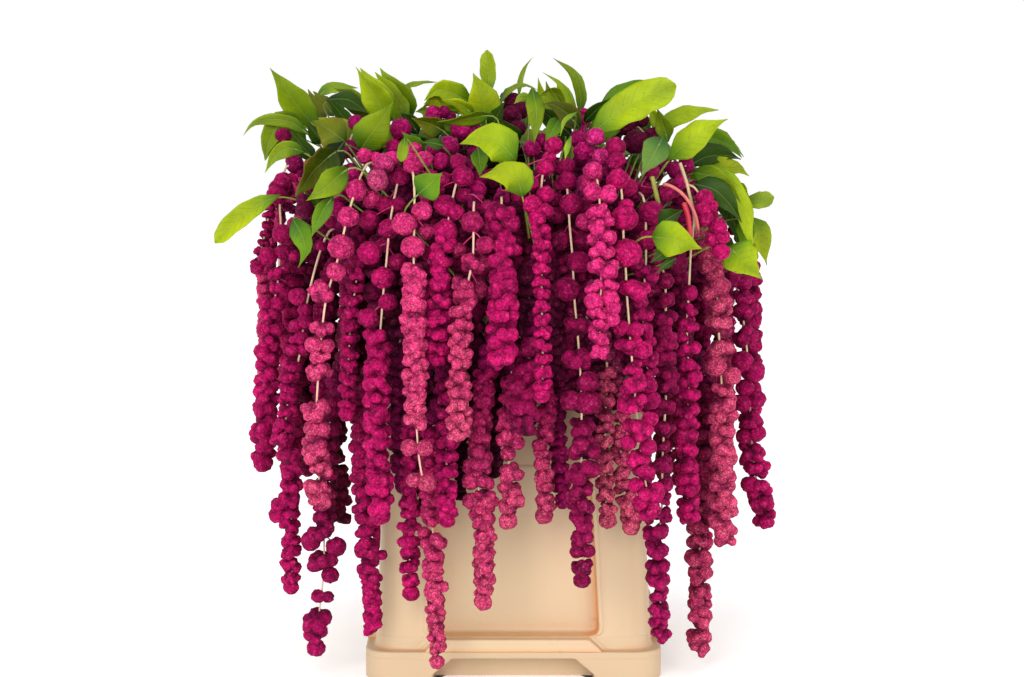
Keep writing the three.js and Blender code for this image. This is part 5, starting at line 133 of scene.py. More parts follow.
  ("S1","mag",9.9,[(-101.3,-8.6,425.9),(-115.8,-9.3,436.6),(-137.7,-10.4,448.3)],[(-137.7,-10.4,448.3),(-146.1,-10.9,447.5),(-153.8,-10.6,443.5),(-167.1,-12.3,431.5),(-183.8,-14.0,409.0),(-191.3,-14.6,391.2),(-196.1,-15.2,371.9),(-199.8,-15.8,341.6),(-201.5,-16.6,246.7)],[]),
 ]],
 [-84.9, -33.7, 405.0, [
  ("T2","crim",10.5,[(-84.9,-33.7,415.0),(-100.3,-44.5,423.7),(-132.0,-65.7,437.1),(-182.4,-93.4,456.6)],[(-182.4,-93.4,456.6),(-194.0,-101.7,425.9),(-204.9,-110.0,383.5),(-209.0,-113.0,362.1),(-212.0,-116.0,329.3),(-216.6,-117.6,307.8),(-224.1,-118.9,287.2),(-228.6,-120.0,254.4),(-229.1,-120.2,232.4),(-225.2,-119.9,221.9),(-223.0,-119.7,200.0),(-224.1,-119.9,89.2)],[(0,-182.4,-93.4,456.6,6.5),(0,-192.1,-99.9,433.1,5.0),(0,-214.7,-110.0,383.0,9.0),(0,-207.7,-111.9,370.2,7.0),(0,-207.7,-113.4,358.3,8.0),(0,-216.7,-113.8,354.3,7.0),(1,-213.7,-114.9,342.4,9.0),(0,-219.8,-115.9,330.5,7.0),(0,-209.8,-115.9,330.5,6.0),(1,-220.8,-117.0,316.5,9.5),(1,-222.9,-117.8,304.6,9.0),(1,-224.9,-118.6,292.6,9.5),(1,-225.0,-119.1,281.6,9.0),(1,-225.1,-119.5,269.5,10.0),(1,-229.2,-119.9,255.4,10.5),(1,-231.4,-120.2,239.3,11.0),(1,-222.6,-119.9,223.0,12.0),(1,-222.8,-119.7,207.8,11.0),(1,-222.9,-119.8,193.5,11.0),(1,-224.1,-119.9,180.3,10.0),(0,-236.2,-119.9,174.2,7.5),(0,-237.3,-119.9,164.0,8.5),(1,-224.2,-119.9,168.1,9.5),(1,-224.2,-119.9,154.2,9.5),(1,-223.8,-119.9,140.3,9.5),(1,-223.7,-119.9,126.4,9.6),(1,-223.9,-119.9,112.4,9.6),(1,-224.0,-119.9,98.4,9.6),(0,-224.1,-119.9,90.2,7.6)]),
  ("T5","vdark",11.0,[(-84.9,-33.7,415.0),(-131.3,-44.1,401.8),(-141.0,-47.1,397.0),(-148.3,-50.8,390.8),(-155.4,-59.4,374.3),(-163.8,-75.3,338.0),(-177.1,-91.6,281.6)],[(-177.1,-91.6,281.6),(-178.0,-96.6,247.8),(-181.0,-99.3,225.5),(-177.2,-101.8,191.7),(-177.3,-104.0,157.7)],[(1,-177.2,-92.1,278.6,10.1),(1,-177.6,-94.3,264.2,10.1),(1,-178.0,-96.3,249.8,10.1),(1,-179.6,-98.2,235.4,10.1),(1,-180.4,-99.7,220.9,10.1),(1,-178.5,-100.8,206.4,10.1),(1,-175.1,-101.6,195.3,10.6),(1,-177.2,-102.8,178.0,12.6),(1,-177.3,-103.7,161.8,12.1)]),
  ("C4","dmag",9.5,[(-84.9,-33.7,415.0),(-117.2,-51.2,484.1),(-155.7,-76.3,557.7)],[(-155.7,-76.3,557.7),(-161.9,-87.5,542.7),(-166.4,-98.6,526.7)],[(0,-157.6,-78.4,554.8,8.0),(0,-163.6,-96.7,529.6,9.5)]),
  ("C8","mag",10.5,[(-84.9,-33.7,415.0),(-99.9,-57.5,489.4),(-115.1,-87.7,560.1)],[(-115.1,-87.7,560.1),(-112.6,-100.0,548.6)],[(0,-112.1,-99.0,549.5,10.4),(0,-118.6,-100.0,531.7,7.9)]),
 ]],
 [62.6, 71.4, 407.9, [
  ("B28","dusty",12.3,[(62.6,71.4,417.9),(69.7,86.4,426.3),(84.0,116.7,438.0)],[(84.0,116.7,438.0),(88.5,124.3,437.4),(93.2,131.2,434.1),(97.5,137.4,429.0),(105.2,148.4,415.9),(113.8,162.0,391.6),(118.7,167.8,362.7),(121.4,170.0,321.6),(122.8,169.6,236.6),(118.9,172.2,52.7)],[]),
  ("B34","pink",10.5,[(62.6,71.4,417.9),(82.7,106.7,445.3),(103.6,144.9,464.4)],[(103.6,144.9,464.4),(108.0,153.0,464.2),(112.1,160.8,461.4),(116.2,167.9,456.9),(125.6,179.1,444.6),(133.4,188.4,429.5),(136.3,192.2,420.9),(141.8,199.8,392.4),(144.7,203.4,351.3),(148.3,206.4,233.7),(149.3,205.6,157.7),(147.0,207.1,81.5)],[]),
  ("K42","pink",10.7,[(62.6,71.4,417.9),(77.0,81.0,427.4),(106.0,100.3,441.5),(135.8,120.4,452.8),(157.9,137.0,459.2)],[(157.9,137.0,459.2),(164.4,143.7,457.8),(170.4,150.2,454.0),(176.0,156.1,448.8),(186.2,166.1,435.3),(190.6,170.3,427.4),(197.2,177.3,409.8),(201.2,181.4,390.4),(204.1,183.9,359.1),(205.6,184.6,316.2),(206.3,187.3,162.1),(204.1,187.1,84.3)],[]),
  ("K43","red",10.0,[(62.6,71.4,417.9),(73.9,85.1,428.4),(90.8,105.5,440.5),(126.3,148.0,459.8)],[(126.3,148.0,459.8),(132.6,155.0,459.4),(138.2,162.0,456.4),(143.2,168.7,451.6),(151.4,180.9,439.1),(158.5,190.9,423.7),(161.5,194.8,415.0),(165.8,200.2,396.2),(169.4,204.4,355.1),(173.3,205.7,258.7),(172.1,207.4,116.7)],[]),
  ("Y6","mag",8.8,[(62.6,71.4,417.9),(82.3,84.8,450.0),(108.6,103.1,484.5)],[(108.6,103.1,484.5),(114.7,108.1,488.0),(120.8,113.6,488.0),(126.6,119.2,484.6),(135.2,129.0,471.9),(140.8,137.5,455.2)],[]),
 ]],
 [9.5, 63.3, 414.0, [
  ("B26","pink",10.8,[(9.5,63.3,424.0),(7.2,80.9,430.8),(3.7,107.8,437.3)],[(3.7,107.8,437.3),(2.8,116.7,435.4),(2.3,124.9,431.1),(2.0,139.9,419.1),(2.5,160.0,397.0),(2.8,163.2,387.7),(2.6,168.0,358.2),(1.8,172.2,294.9),(-2.1,173.0,207.7)],[]),
  ("B27","red",12.3,[(9.5,63.3,424.0),(18.0,86.3,435.3),(30.9,107.8,443.7)],[(30.9,107.8,443.7),(35.8,115.4,443.0),(40.0,123.0,439.7),(43.4,130.2,434.9),(48.5,143.6,422.0),(53.1,160.3,398.0),(55.4,165.4,378.8),(58.2,169.4,337.8),(60.6,173.1,187.2),(60.7,173.0,154.5),(59.3,170.4,99.8)],[]),
  ("B32","crim",10.6,[(9.5,63.3,424.0),(13.5,95.0,447.6),(18.8,136.6,469.9)],[(18.8,136.6,469.9),(20.0,145.5,470.0),(21.2,154.0,467.1),(22.2,161.8,462.1),(23.7,175.6,449.1),(24.6,186.7,433.3),(25.9,197.4,405.5),(28.2,202.3,375.1),(29.9,204.7,332.8),(29.7,202.9,191.4)],[]),
  ("Y1","mag",8.9,[(9.5,63.3,424.0),(9.4,68.1,482.0),(9.7,75.0,518.1)],[(9.7,75.0,518.1),(10.3,81.0,523.5),(11.2,88.7,524.0),(12.1,96.4,520.5),(13.7,109.2,508.0),(15.1,120.7,492.3)],[]),
 ]],
 [-98.1, 34.5, 427.9, [
  ("S5","crim",9.6,[(-98.1,34.5,437.9),(-129.8,40.7,460.9),(-172.7,48.8,480.3)],[(-172.7,48.8,480.3),(-181.6,50.7,480.2),(-190.0,52.8,477.2),(-197.8,54.8,472.4),(-211.5,58.1,459.7),(-227.9,61.4,435.6),(-231.8,61.9,426.5),(-237.0,62.2,407.1),(-239.7,62.2,386.8),(-241.1,62.7,355.5),(-240.8,66.8,248.4),(-241.2,65.3,172.4),(-240.1,66.0,107.0)],[]),
  ("S7","bright",9.9,[(-98.1,34.5,437.9),(-125.4,42.8,466.1),(-146.2,50.2,483.6),(-161.8,57.8,491.2),(-203.3,78.0,504.9)],[(-203.3,78.0,504.9),(-211.9,81.9,504.2),(-220.2,85.5,501.0),(-234.7,91.4,489.8),(-240.9,93.8,482.6),(-251.1,98.2,466.1),(-260.8,102.5,437.9),(-264.3,103.3,417.5),(-266.8,103.5,385.8),(-268.5,103.4,222.1)],[]),
  ("S8","crim",10.6,[(-98.1,34.5,437.9),(-118.2,49.4,449.0),(-159.6,79.8,464.4)],[(-159.6,79.8,464.4),(-167.3,84.8,463.5),(-175.6,87.6,460.4),(-190.5,91.5,449.3),(-207.7,97.1,426.1),(-215.4,100.0,407.9),(-221.4,102.3,377.8),(-224.6,104.6,335.8),(-225.5,105.1,303.6),(-226.0,102.8,249.2)],[]),
  ("Y7","bright",10.3,[(-98.1,34.5,437.9),(-111.5,42.3,452.1),(-138.4,57.4,475.0)],[(-138.4,57.4,475.0),(-146.1,60.6,477.4),(-154.3,62.1,477.3),(-162.5,63.3,474.4),(-176.4,65.5,462.7),(-187.5,69.8,447.1)],[]),
 ]],
 [81.9, 48.4, 406.8, [
  ("S19","red",9.9,[(81.9,48.4,416.8),(103.4,54.3,437.9),(132.7,62.5,461.0),(156.2,69.2,475.9),(189.5,78.8,492.4)],[(189.5,78.8,492.4),(198.3,81.8,492.7),(206.8,84.9,490.3),(214.7,87.9,486.1),(228.5,93.3,474.0),(244.5,99.3,450.1),(251.1,101.9,431.5),(256.9,104.5,390.8),(259.5,105.5,327.2),(260.8,104.8,273.3),(259.1,101.6,208.2)],[]),
  ("S20","dusty",10.1,[(81.9,48.4,416.8),(109.6,59.8,440.0),(146.1,74.9,462.2)],[(146.1,74.9,462.2),(154.2,78.3,462.0),(161.9,81.6,458.7),(175.0,88.0,447.6),(190.6,97.0,425.5),(197.9,101.4,408.0),(200.3,102.5,398.6),(204.3,103.7,358.3),(206.6,103.6,220.1),(208.7,107.1,133.6)],[]),
  ("S21","crim",9.9,[(81.9,48.4,416.8),(111.2,65.4,417.3)],[(111.2,65.4,417.3),(129.3,74.3,411.3),(157.0,85.0,396.7),(159.4,89.4,388.1),(160.6,98.0,359.4),(162.4,101.0,328.4),(162.3,104.3,241.9),(163.5,104.2,164.4)],[]),
  ("S22","mag",11.9,[(81.9,48.4,416.8),(94.8,57.0,430.0),(120.6,74.1,450.7),(141.2,87.5,464.1),(170.3,106.2,478.5)],[(170.3,106.2,478.5),(178.4,110.9,478.4),(186.4,115.3,475.7),(193.7,119.4,471.2),(206.6,127.2,458.9),(216.9,133.8,443.4),(221.0,136.2,434.6),(226.7,139.6,415.4),(231.7,142.4,374.0),(235.0,143.7,320.2),(235.0,143.5,265.4),(232.3,141.6,176.8)],[]),
  ("S23","bright",9.7,[(81.9,48.4,416.8),(105.5,71.4,432.0),(136.2,101.1,445.3)],[(136.2,101.1,445.3),(142.9,107.3,444.0),(149.4,113.0,440.2),(161.0,122.6,428.3),(170.9,130.3,413.1),(178.4,135.8,395.4),(181.1,137.8,385.9),(185.7,141.2,355.3),(187.3,142.8,323.4),(188.5,143.7,258.2),(191.6,141.9,180.9)],[]),
 ]],
 [-23.4, 81.2, 421.0, [
  ("B25","mag",12.4,[(-23.4,81.2,431.0),(-29.4,96.0,440.3),(-35.7,110.6,446.8)],[(-35.7,110.6,446.8),(-39.2,118.4,445.9),(-42.7,125.7,442.4),(-48.3,138.6,430.9),(-54.7,154.2,407.8),(-57.1,162.2,389.9),(-57.8,164.5,380.2),(-58.9,168.6,349.7),(-60.0,171.4,307.6),(-61.6,172.1,177.6),(-63.1,175.7,112.0)],[]),
  ("B30","mag",12.9,[(-23.4,81.2,431.0),(-34.8,93.2,443.0),(-45.2,106.1,452.2),(-62.3,137.7,465.1)],[(-62.3,137.7,465.1),(-66.4,146.0,464.6),(-70.2,154.0,461.5),(-73.9,161.5,456.9),(-80.9,174.6,444.5),(-86.9,185.2,429.1),(-91.7,196.2,401.3),(-93.2,201.9,370.7),(-93.4,204.0,338.9),(-91.8,205.5,252.1),(-93.4,203.5,186.1)],[]),
  ("B31","bright",12.6,[(-23.4,81.2,431.0),(-22.5,109.3,452.1),(-22.0,138.8,468.1)],[(-22.0,138.8,468.1),(-22.5,147.6,467.4),(-23.3,155.9,463.6),(-24.0,163.5,458.2),(-25.2,176.7,444.4),(-26.7,191.7,419.0),(-27.8,197.4,399.6),(-28.8,200.3,379.0),(-29.7,201.6,347.2),(-28.8,202.3,238.0),(-28.6,200.6,171.3)],[]),
  ("B36","dusty",12.5,[(-23.4,81.2,431.0),(-27.2,94.9,446.1),(-33.3,115.7,464.3),(-41.9,145.3,485.8),(-47.4,169.2,499.9)],[(-47.4,169.2,499.9),(-48.1,178.2,500.0),(-50.4,194.6,492.1),(-55.4,214.2,472.1),(-58.9,227.7,446.2),(-60.6,234.3,416.6),(-60.5,236.6,374.9),(-60.4,234.0,278.5),(-61.3,235.8,158.8),(-62.8,232.6,71.4)],[]),
  ("Y4","dusty",9.8,[(-23.4,81.2,431.0),(-25.6,104.3,464.8),(-28.1,128.9,494.3)],[(-28.1,128.9,494.3),(-29.2,136.6,498.0),(-30.4,144.8,498.2),(-31.6,152.9,495.0),(-35.3,167.1,483.9),(-39.8,180.4,470.1)],[]),
 ]],
 [49.1, -1.8, 427.0, [
  ("C18","mag",5.5,[(49.1,-1.8,437.0),(55.8,-4.4,467.5),(62.7,-3.4,495.4),(67.4,0.7,513.5),(74.5,12.2,539.6)],[(74.5,12.2,539.6),(74.0,30.6,562.9)],[(0,74.5,29.8,561.9,5.2),(0,73.7,22.4,552.7,7.3),(0,70.4,14.5,542.6,7.3)]),
  ("S13","crim",11.9,[(49.1,-1.8,437.0),(66.5,-4.0,438.2),(105.3,-8.9,436.4)],[(105.3,-8.9,436.4),(123.3,-11.4,429.5),(146.9,-14.9,411.4),(161.2,-14.9,397.3),(168.8,-15.1,379.0),(173.2,-15.3,359.3),(175.9,-15.6,328.5),(174.5,-17.6,254.4),(174.0,-21.5,178.9)],[]),
  ("S16","crim",11.6,[(49.1,-1.8,437.0),(96.7,8.6,429.1)],[(96.7,8.6,429.1),(116.1,16.9,421.2),(126.2,18.2,415.8),(155.8,20.8,397.9),(160.6,21.8,388.7),(161.6,23.4,368.3),(161.5,26.3,271.4),(161.6,25.1,182.7)],[]),
  ("Y2","pink",8.6,[(49.1,-1.8,437.0),(54.9,22.2,478.0),(62.2,49.6,513.3)],[(62.2,49.6,513.3),(65.3,56.7,517.1),(70.8,62.9,517.4),(78.4,66.5,514.9),(91.7,72.9,504.1),(103.4,79.1,489.5)],[]),
  ("Y11","red",10.1,[(49.1,-1.8,437.0),(63.3,-7.0,481.9),(77.8,-11.9,514.1)],[(77.8,-11.9,514.1),(84.6,-13.4,518.5),(92.5,-14.8,518.9),(100.4,-15.9,515.6),(113.9,-17.1,503.6),(126.2,-17.3,488.3)],[]),
 ]],
 [-4.5, -92.8, 405.0, [
  ("T15","dusty",11.0,[(-4.5,-92.8,415.0),(-8.5,-131.9,401.9),(-11.0,-149.0,392.1),(-12.6,-155.0,385.3),(-16.3,-164.0,369.5),(-26.6,-185.3,319.8)],[(-26.6,-185.3,319.8),(-31.6,-195.0,266.3),(-35.0,-200.7,212.4),(-28.8,-203.3,158.4),(-28.6,-204.2,125.7),(-30.6,-204.7,92.9)],[(1,-27.0,-186.1,316.0,10.7),(1,-28.2,-188.8,303.5,10.6),(1,-29.5,-191.1,290.9,10.6),(1,-30.7,-193.2,278.3,10.6),(1,-31.6,-195.1,265.7,10.6),(1,-32.6,-196.7,253.1,10.6),(1,-32.3,-198.1,241.5,11.6),(1,-34.3,-199.5,227.1,12.6),(0,-41.1,-200.6,213.5,8.7),(1,-29.5,-200.7,212.6,10.6),(0,-41.1,-201.8,194.1,8.2),(1,-25.6,-201.7,196.1,11.6),(1,-29.5,-202.7,176.6,12.1),(1,-27.6,-203.3,160.9,11.1),(1,-28.5,-203.7,146.2,10.7),(1,-28.6,-204.1,131.4,10.2),(1,-28.6,-204.3,118.6,10.2),(1,-28.6,-204.5,105.8,9.2),(0,-29.6,-204.7,94.9,8.7)]),
  ("T16","crim",14.0,[(-4.5,-92.8,415.0),(-6.4,-121.3,440.0),(-11.9,-192.1,494.5)],[(-11.9,-192.1,494.5),(-11.1,-201.2,474.8),(-9.2,-212.5,443.2),(-9.1,-225.3,399.0),(-10.8,-242.0,333.3)],[(1,-12.8,-201.5,474.1,13.4),(0,-2.4,-205.8,462.9,8.6),(1,-13.8,-208.8,454.6,11.4),(1,-7.1,-212.8,442.5,12.4),(1,-12.8,-217.3,427.6,12.8),(1,-9.5,-221.3,413.7,13.6),(1,-9.1,-224.8,400.8,13.6),(1,-9.4,-228.3,387.8,13.5),(1,-9.9,-231.7,374.8,13.5),(1,-10.4,-235.0,361.9,13.5),(1,-10.8,-238.2,349.0,13.5),(1,-10.8,-240.7,338.8,12.7),(0,6.3,-182.9,488.2,8.6,-0.4)]),
  ("T17","mag",12.0,[(-4.5,-92.8,415.0),(-4.0,-136.6,401.8),(-3.8,-145.4,396.5),(-3.6,-151.9,389.5),(-2.3,-173.5,346.2),(-1.4,-187.3,310.3)],[(-1.4,-187.3,310.3),(-5.2,-197.6,255.1),(-3.5,-204.5,199.5),(-5.3,-206.6,177.4)],[(1,-1.8,-188.1,306.5,10.6),(1,-3.2,-191.1,292.6,10.6),(1,-4.4,-193.7,278.7,10.6),(1,-4.9,-196.1,264.7,10.6),(1,-3.3,-197.9,253.3,11.6),(0,-5.3,-199.8,239.9,7.2),(0,4.4,-198.3,250.4,6.8),(1,-2.4,-202.0,222.6,11.6),(1,-3.3,-203.8,206.3,11.1),(1,-2.4,-205.4,190.9,12.1),(0,-5.3,-206.6,175.4,8.7)]),
  ("C14","crimd",10.5,[(-4.5,-92.8,415.0),(-25.6,-158.5,515.8)],[(-25.6,-158.5,515.8),(-32.3,-171.1,495.2)],[(0,-32.4,-165.2,505.5,7.7),(0,-36.2,-171.1,493.3,9.7),(0,-28.7,-151.2,503.7,8.8,-0.2)]),
  ("H4","vdark",9.0,[(-4.5,-92.8,415.0),(-7.9,-133.2,402.0),(-8.9,-142.1,396.7),(-10.1,-148.7,389.5),(-12.5,-154.1,369.9),(-18.1,-159.4,316.3)],[(-18.1,-159.4,316.3),(-19.1,-166.9,213.3)],[]),
 ]],
 [-35.6, -68.0, 405.0, [
  ("T9","pink",12.0,[(-35.6,-68.0,415.0),(-63.8,-112.1,469.1),(-103.6,-169.8,531.7)],[(-103.6,-169.8,531.7),(-96.1,-180.9,515.9),(-94.1,-195.3,488.6),(-94.6,-208.1,458.5),(-94.9,-222.3,403.9),(-95.0,-230.4,360.0),(-93.3,-235.9,304.9),(-90.9,-238.0,249.4),(-88.1,-238.3,227.4),(-85.1,-238.3,216.6)],[(0,-87.2,-201.5,475.0,9.5),(0,-104.2,-206.5,463.0,11.4),(0,-95.5,-213.1,441.6,10.9),(1,-94.4,-219.0,418.3,12.3),(1,-94.4,-222.4,403.4,11.9),(1,-94.3,-225.3,389.4,11.4),(1,-94.3,-227.9,375.4,11.8),(1,-94.2,-230.2,361.3,11.4),(1,-94.2,-232.2,347.2,11.4),(1,-93.3,-233.8,333.1,10.9),(1,-93.3,-234.9,319.9,11.4),(1,-92.4,-235.9,305.7,10.9),(1,-92.4,-236.6,291.4,10.4),(1,-92.5,-237.2,278.1,10.4),(0,-99.2,-237.9,252.7,8.1),(0,-85.0,-237.9,252.2,8.1),(0,-94.6,-238.3,221.5,7.1),(0,-82.3,-238.3,218.6,8.6),(0,-95.6,-176.9,518.6,10.1,0.0),(0,-95.1,-165.8,532.5,6.8,0.0),(0,-86.0,-176.9,523.4,8.2,0.0),(0,-80.5,-171.9,504.9,8.7,-0.4),(0,-82.2,-181.3,488.1,7.7,-0.4),(0,-82.8,-194.1,454.4,7.7,-0.3)]),
  ("T11","mag",10.5,[(-35.6,-68.0,415.0),(-40.8,-94.6,410.5),(-48.0,-134.2,400.3),(-51.0,-144.2,395.1),(-54.9,-150.5,388.0),(-63.7,-156.2,370.2),(-82.5,-166.7,321.7),(-88.9,-170.6,301.5),(-99.0,-175.7,259.4)],[(-99.0,-175.7,259.4),(-101.8,-180.1,195.0),(-101.6,-180.2,97.1)],[(1,-99.1,-176.1,255.6,9.8),(1,-99.4,-177.3,242.7,9.8),(1,-99.7,-178.1,229.8,9.8),(1,-100.3,-178.9,216.9,9.8),(1,-101.1,-179.7,203.9,9.8),(1,-101.9,-180.1,190.9,9.8),(1,-101.1,-180.1,179.0,10.8),(1,-102.2,-180.1,165.1,10.3),(1,-102.3,-180.1,151.1,10.3),(1,-101.4,-180.1,138.1,9.8),(1,-102.4,-180.2,125.2,9.8),(1,-100.5,-180.2,111.2,8.8),(0,-100.6,-180.2,98.1,8.3)]),
  ("C12","mag",10.0,[(-35.6,-68.0,415.0),(-55.4,-107.0,480.2),(-75.2,-151.7,540.6)],[(-75.2,-151.7,540.6),(-69.9,-168.9,522.1)],[(0,-76.9,-159.3,532.2,6.8),(0,-69.9,-168.9,521.1,8.2),(0,-62.9,-156.2,535.0,9.7,0.0)]),
  ("C13","mag",9.5,[(-35.6,-68.0,415.0),(-41.3,-84.8,556.0)],[(-41.3,-84.8,556.0),(-51.3,-88.0,547.2)],[(0,-52.3,-87.3,549.1,10.5),(0,-41.3,-85.5,554.0,7.0)]),
  ("H2","vdark",10.5,[(-35.6,-68.0,415.0),(-40.3,-93.2,410.8),(-47.3,-132.0,401.3),(-50.4,-142.5,396.5),(-54.2,-149.3,389.5),(-61.9,-153.8,370.1),(-83.7,-159.2,306.4)],[(-83.7,-159.2,306.4),(-84.9,-161.2,240.9),(-84.1,-164.7,175.9)],[]),
 ]],
 [-22.6, 4.1, 445.0, [
  ("C11","mag",8.5,[(-22.6,4.1,455.0),(-68.7,-34.2,564.6)],[(-68.7,-34.2,564.6),(-80.8,-37.7,561.7)],[(0,-80.8,-37.1,562.2,8.7),(0,-70.7,-34.2,564.6,6.1)]),
  ("C15","vdark",11.5,[(-22.6,4.1,455.0),(-13.1,13.4,531.6),(-3.5,16.5,584.0)],[(-3.5,16.5,584.0),(-2.3,14.5,576.9),(-1.1,8.9,569.8),(1.7,-16.4,547.8)],[(0,-0.4,12.8,574.7,9.3),(0,5.8,4.1,565.7,10.4),(0,-2.4,-2.8,559.7,10.3),(0,4.8,-16.4,547.8,8.2)]),
  ("Y0","crim",8.6,[(-22.6,4.1,455.0),(-33.5,20.7,478.1),(-52.7,49.4,510.0)],[(-52.7,49.4,510.0),(-57.7,55.9,512.9),(-63.1,62.3,512.6),(-69.1,68.3,510.1),(-79.9,78.6,499.4),(-89.8,87.6,485.0)],[]),
  ("Y9","mag",9.2,[(-22.6,4.1,455.0),(-11.4,2.8,500.6),(-3.3,5.4,525.4)],[(-3.3,5.4,525.4),(-1.1,11.6,529.6),(-0.8,19.2,528.6),(-1.1,26.4,524.1),(-1.9,38.2,510.5),(-2.5,48.4,493.9)],[]),
  ("Y10","pink",8.7,[(-22.6,4.1,455.0),(-39.6,-3.1,479.1),(-69.4,-15.4,513.0)],[(-69.4,-15.4,513.0),(-76.9,-18.0,516.4),(-84.9,-20.5,516.6),(-93.0,-22.8,513.7),(-107.0,-26.6,502.4),(-119.5,-30.0,487.6)],[]),
 ]],
 [-60.7, -84.5, 405.0, [
  ("T6","crim",8.5,[(-60.7,-84.5,415.0),(-73.0,-96.9,418.5),(-106.6,-128.3,422.7),(-151.3,-161.1,426.5)],[(-151.3,-161.1,426.5),(-152.5,-167.1,405.0),(-158.5,-176.5,362.8),(-160.3,-182.9,320.0),(-161.4,-187.4,277.1)],[(1,-151.4,-162.2,422.7,8.8),(1,-152.1,-165.7,410.3,8.7),(1,-153.7,-168.9,398.0,8.7),(1,-155.8,-171.8,385.6,8.7),(1,-157.7,-174.5,373.2,8.7),(1,-158.5,-176.9,360.8,8.7),(1,-158.5,-178.9,348.3,8.7),(1,-159.1,-180.8,335.8,8.7),(1,-160.1,-182.5,323.3,8.7),(1,-160.4,-184.0,310.8,8.7),(1,-160.5,-185.3,298.3,8.7),(1,-161.0,-186.6,285.7,8.7),(0,-161.4,-187.4,277.1,7.8),(0,-152.0,-150.3,415.7,7.8,-0.3)]),
  ("T7","crim",13.0,[(-60.7,-84.5,415.0),(-74.8,-105.6,449.0),(-108.3,-151.8,519.3)],[(-108.3,-151.8,519.3),(-113.7,-167.8,492.9),(-119.1,-179.0,463.8),(-121.5,-187.4,432.0),(-125.6,-196.1,388.6),(-128.9,-201.9,345.1),(-131.0,-205.3,301.4),(-130.6,-207.4,235.6),(-128.0,-207.9,180.6)],[(0,-120.2,-181.2,456.3,9.6),(0,-138.0,-187.1,433.6,11.5),(0,-125.3,-192.2,410.0,10.6),(0,-120.5,-196.3,387.2,8.6),(0,-139.7,-198.6,372.0,9.6),(1,-132.0,-201.0,353.0,12.0),(1,-129.3,-202.5,338.6,13.0),(1,-130.2,-203.8,324.1,13.0),(1,-130.7,-204.8,309.5,13.0),(1,-131.1,-205.6,294.8,13.0),(1,-131.2,-206.3,280.2,13.0),(1,-131.2,-206.8,265.5,13.0),(1,-131.0,-207.1,250.7,13.0),(1,-130.7,-207.4,235.9,13.0),(1,-130.0,-207.6,221.1,13.0),(1,-129.1,-207.7,206.2,13.0),(1,-128.4,-207.9,191.4,13.0),(0,-128.9,-207.9,181.5,10.1),(0,-110.5,-158.5,505.1,9.2,0.0),(0,-139.6,-165.0,463.8,9.7,-0.2),(0,-123.6,-161.7,478.1,8.7,-0.3),(0,-111.7,-168.2,478.6,7.7,-0.1),(0,-125.3,-170.8,440.0,7.7,-0.3),(0,-112.6,-175.9,423.9,8.7,-0.5)]),
  ("T8","crimd",11.0,[(-60.7,-84.5,415.0),(-76.1,-131.6,401.8),(-80.8,-141.3,397.1),(-86.5,-148.0,391.3),(-100.2,-152.2,376.8),(-120.0,-153.4,352.3),(-146.4,-159.8,306.5)],[(-146.4,-159.8,306.5),(-149.5,-163.3,263.5),(-150.2,-165.7,220.3),(-146.9,-166.2,198.8),(-138.9,-167.9,57.9)],[(1,-146.7,-160.2,302.6,10.3),(1,-147.7,-161.4,289.7,10.3),(1,-148.7,-162.4,276.7,10.3),(1,-149.5,-163.3,263.8,10.3),(1,-149.9,-164.1,250.8,10.3),(1,-150.2,-164.8,237.8,10.3),(1,-147.7,-165.5,225.0,10.8),(1,-148.7,-166.0,210.1,10.8),(1,-146.8,-166.3,197.2,11.3),(1,-146.0,-166.6,183.8,11.3),(1,-145.2,-166.9,170.4,11.3),(1,-144.2,-167.1,156.9,11.3),(1,-143.3,-167.3,143.4,11.3),(1,-143.3,-167.4,135.4,11.3),(0,-129.5,-167.4,133.4,5.4),(1,-143.4,-167.5,123.3,10.8),(1,-140.5,-167.6,111.3,10.4),(1,-140.3,-167.7,98.2,9.4),(1,-139.6,-167.7,84.6,9.4),(1,-139.2,-167.8,71.0,9.4),(1,-138.9,-167.8,60.9,9.4)]),
  ("C7","pink",10.5,[(-60.7,-84.5,415.0),(-80.3,-106.1,449.6),(-116.0,-144.0,505.1),(-119.6,-150.5,512.5),(-121.1,-166.6,525.8)],[(-121.1,-166.6,525.8),(-130.8,-185.9,504.7)],[(0,-123.7,-174.1,518.5,8.7),(0,-129.9,-185.9,503.7,10.1),(0,-117.2,-168.5,524.0,6.8)]),
  ("H1","dark",10.0,[(-60.7,-84.5,415.0),(-74.7,-127.2,402.0),(-82.4,-146.2,392.7),(-87.8,-151.4,386.1),(-93.9,-154.3,378.7),(-112.8,-160.5,355.9)],[(-112.8,-160.5,355.9),(-114.2,-160.3,287.7),(-108.8,-159.9,197.0)],[]),
 ]],
]
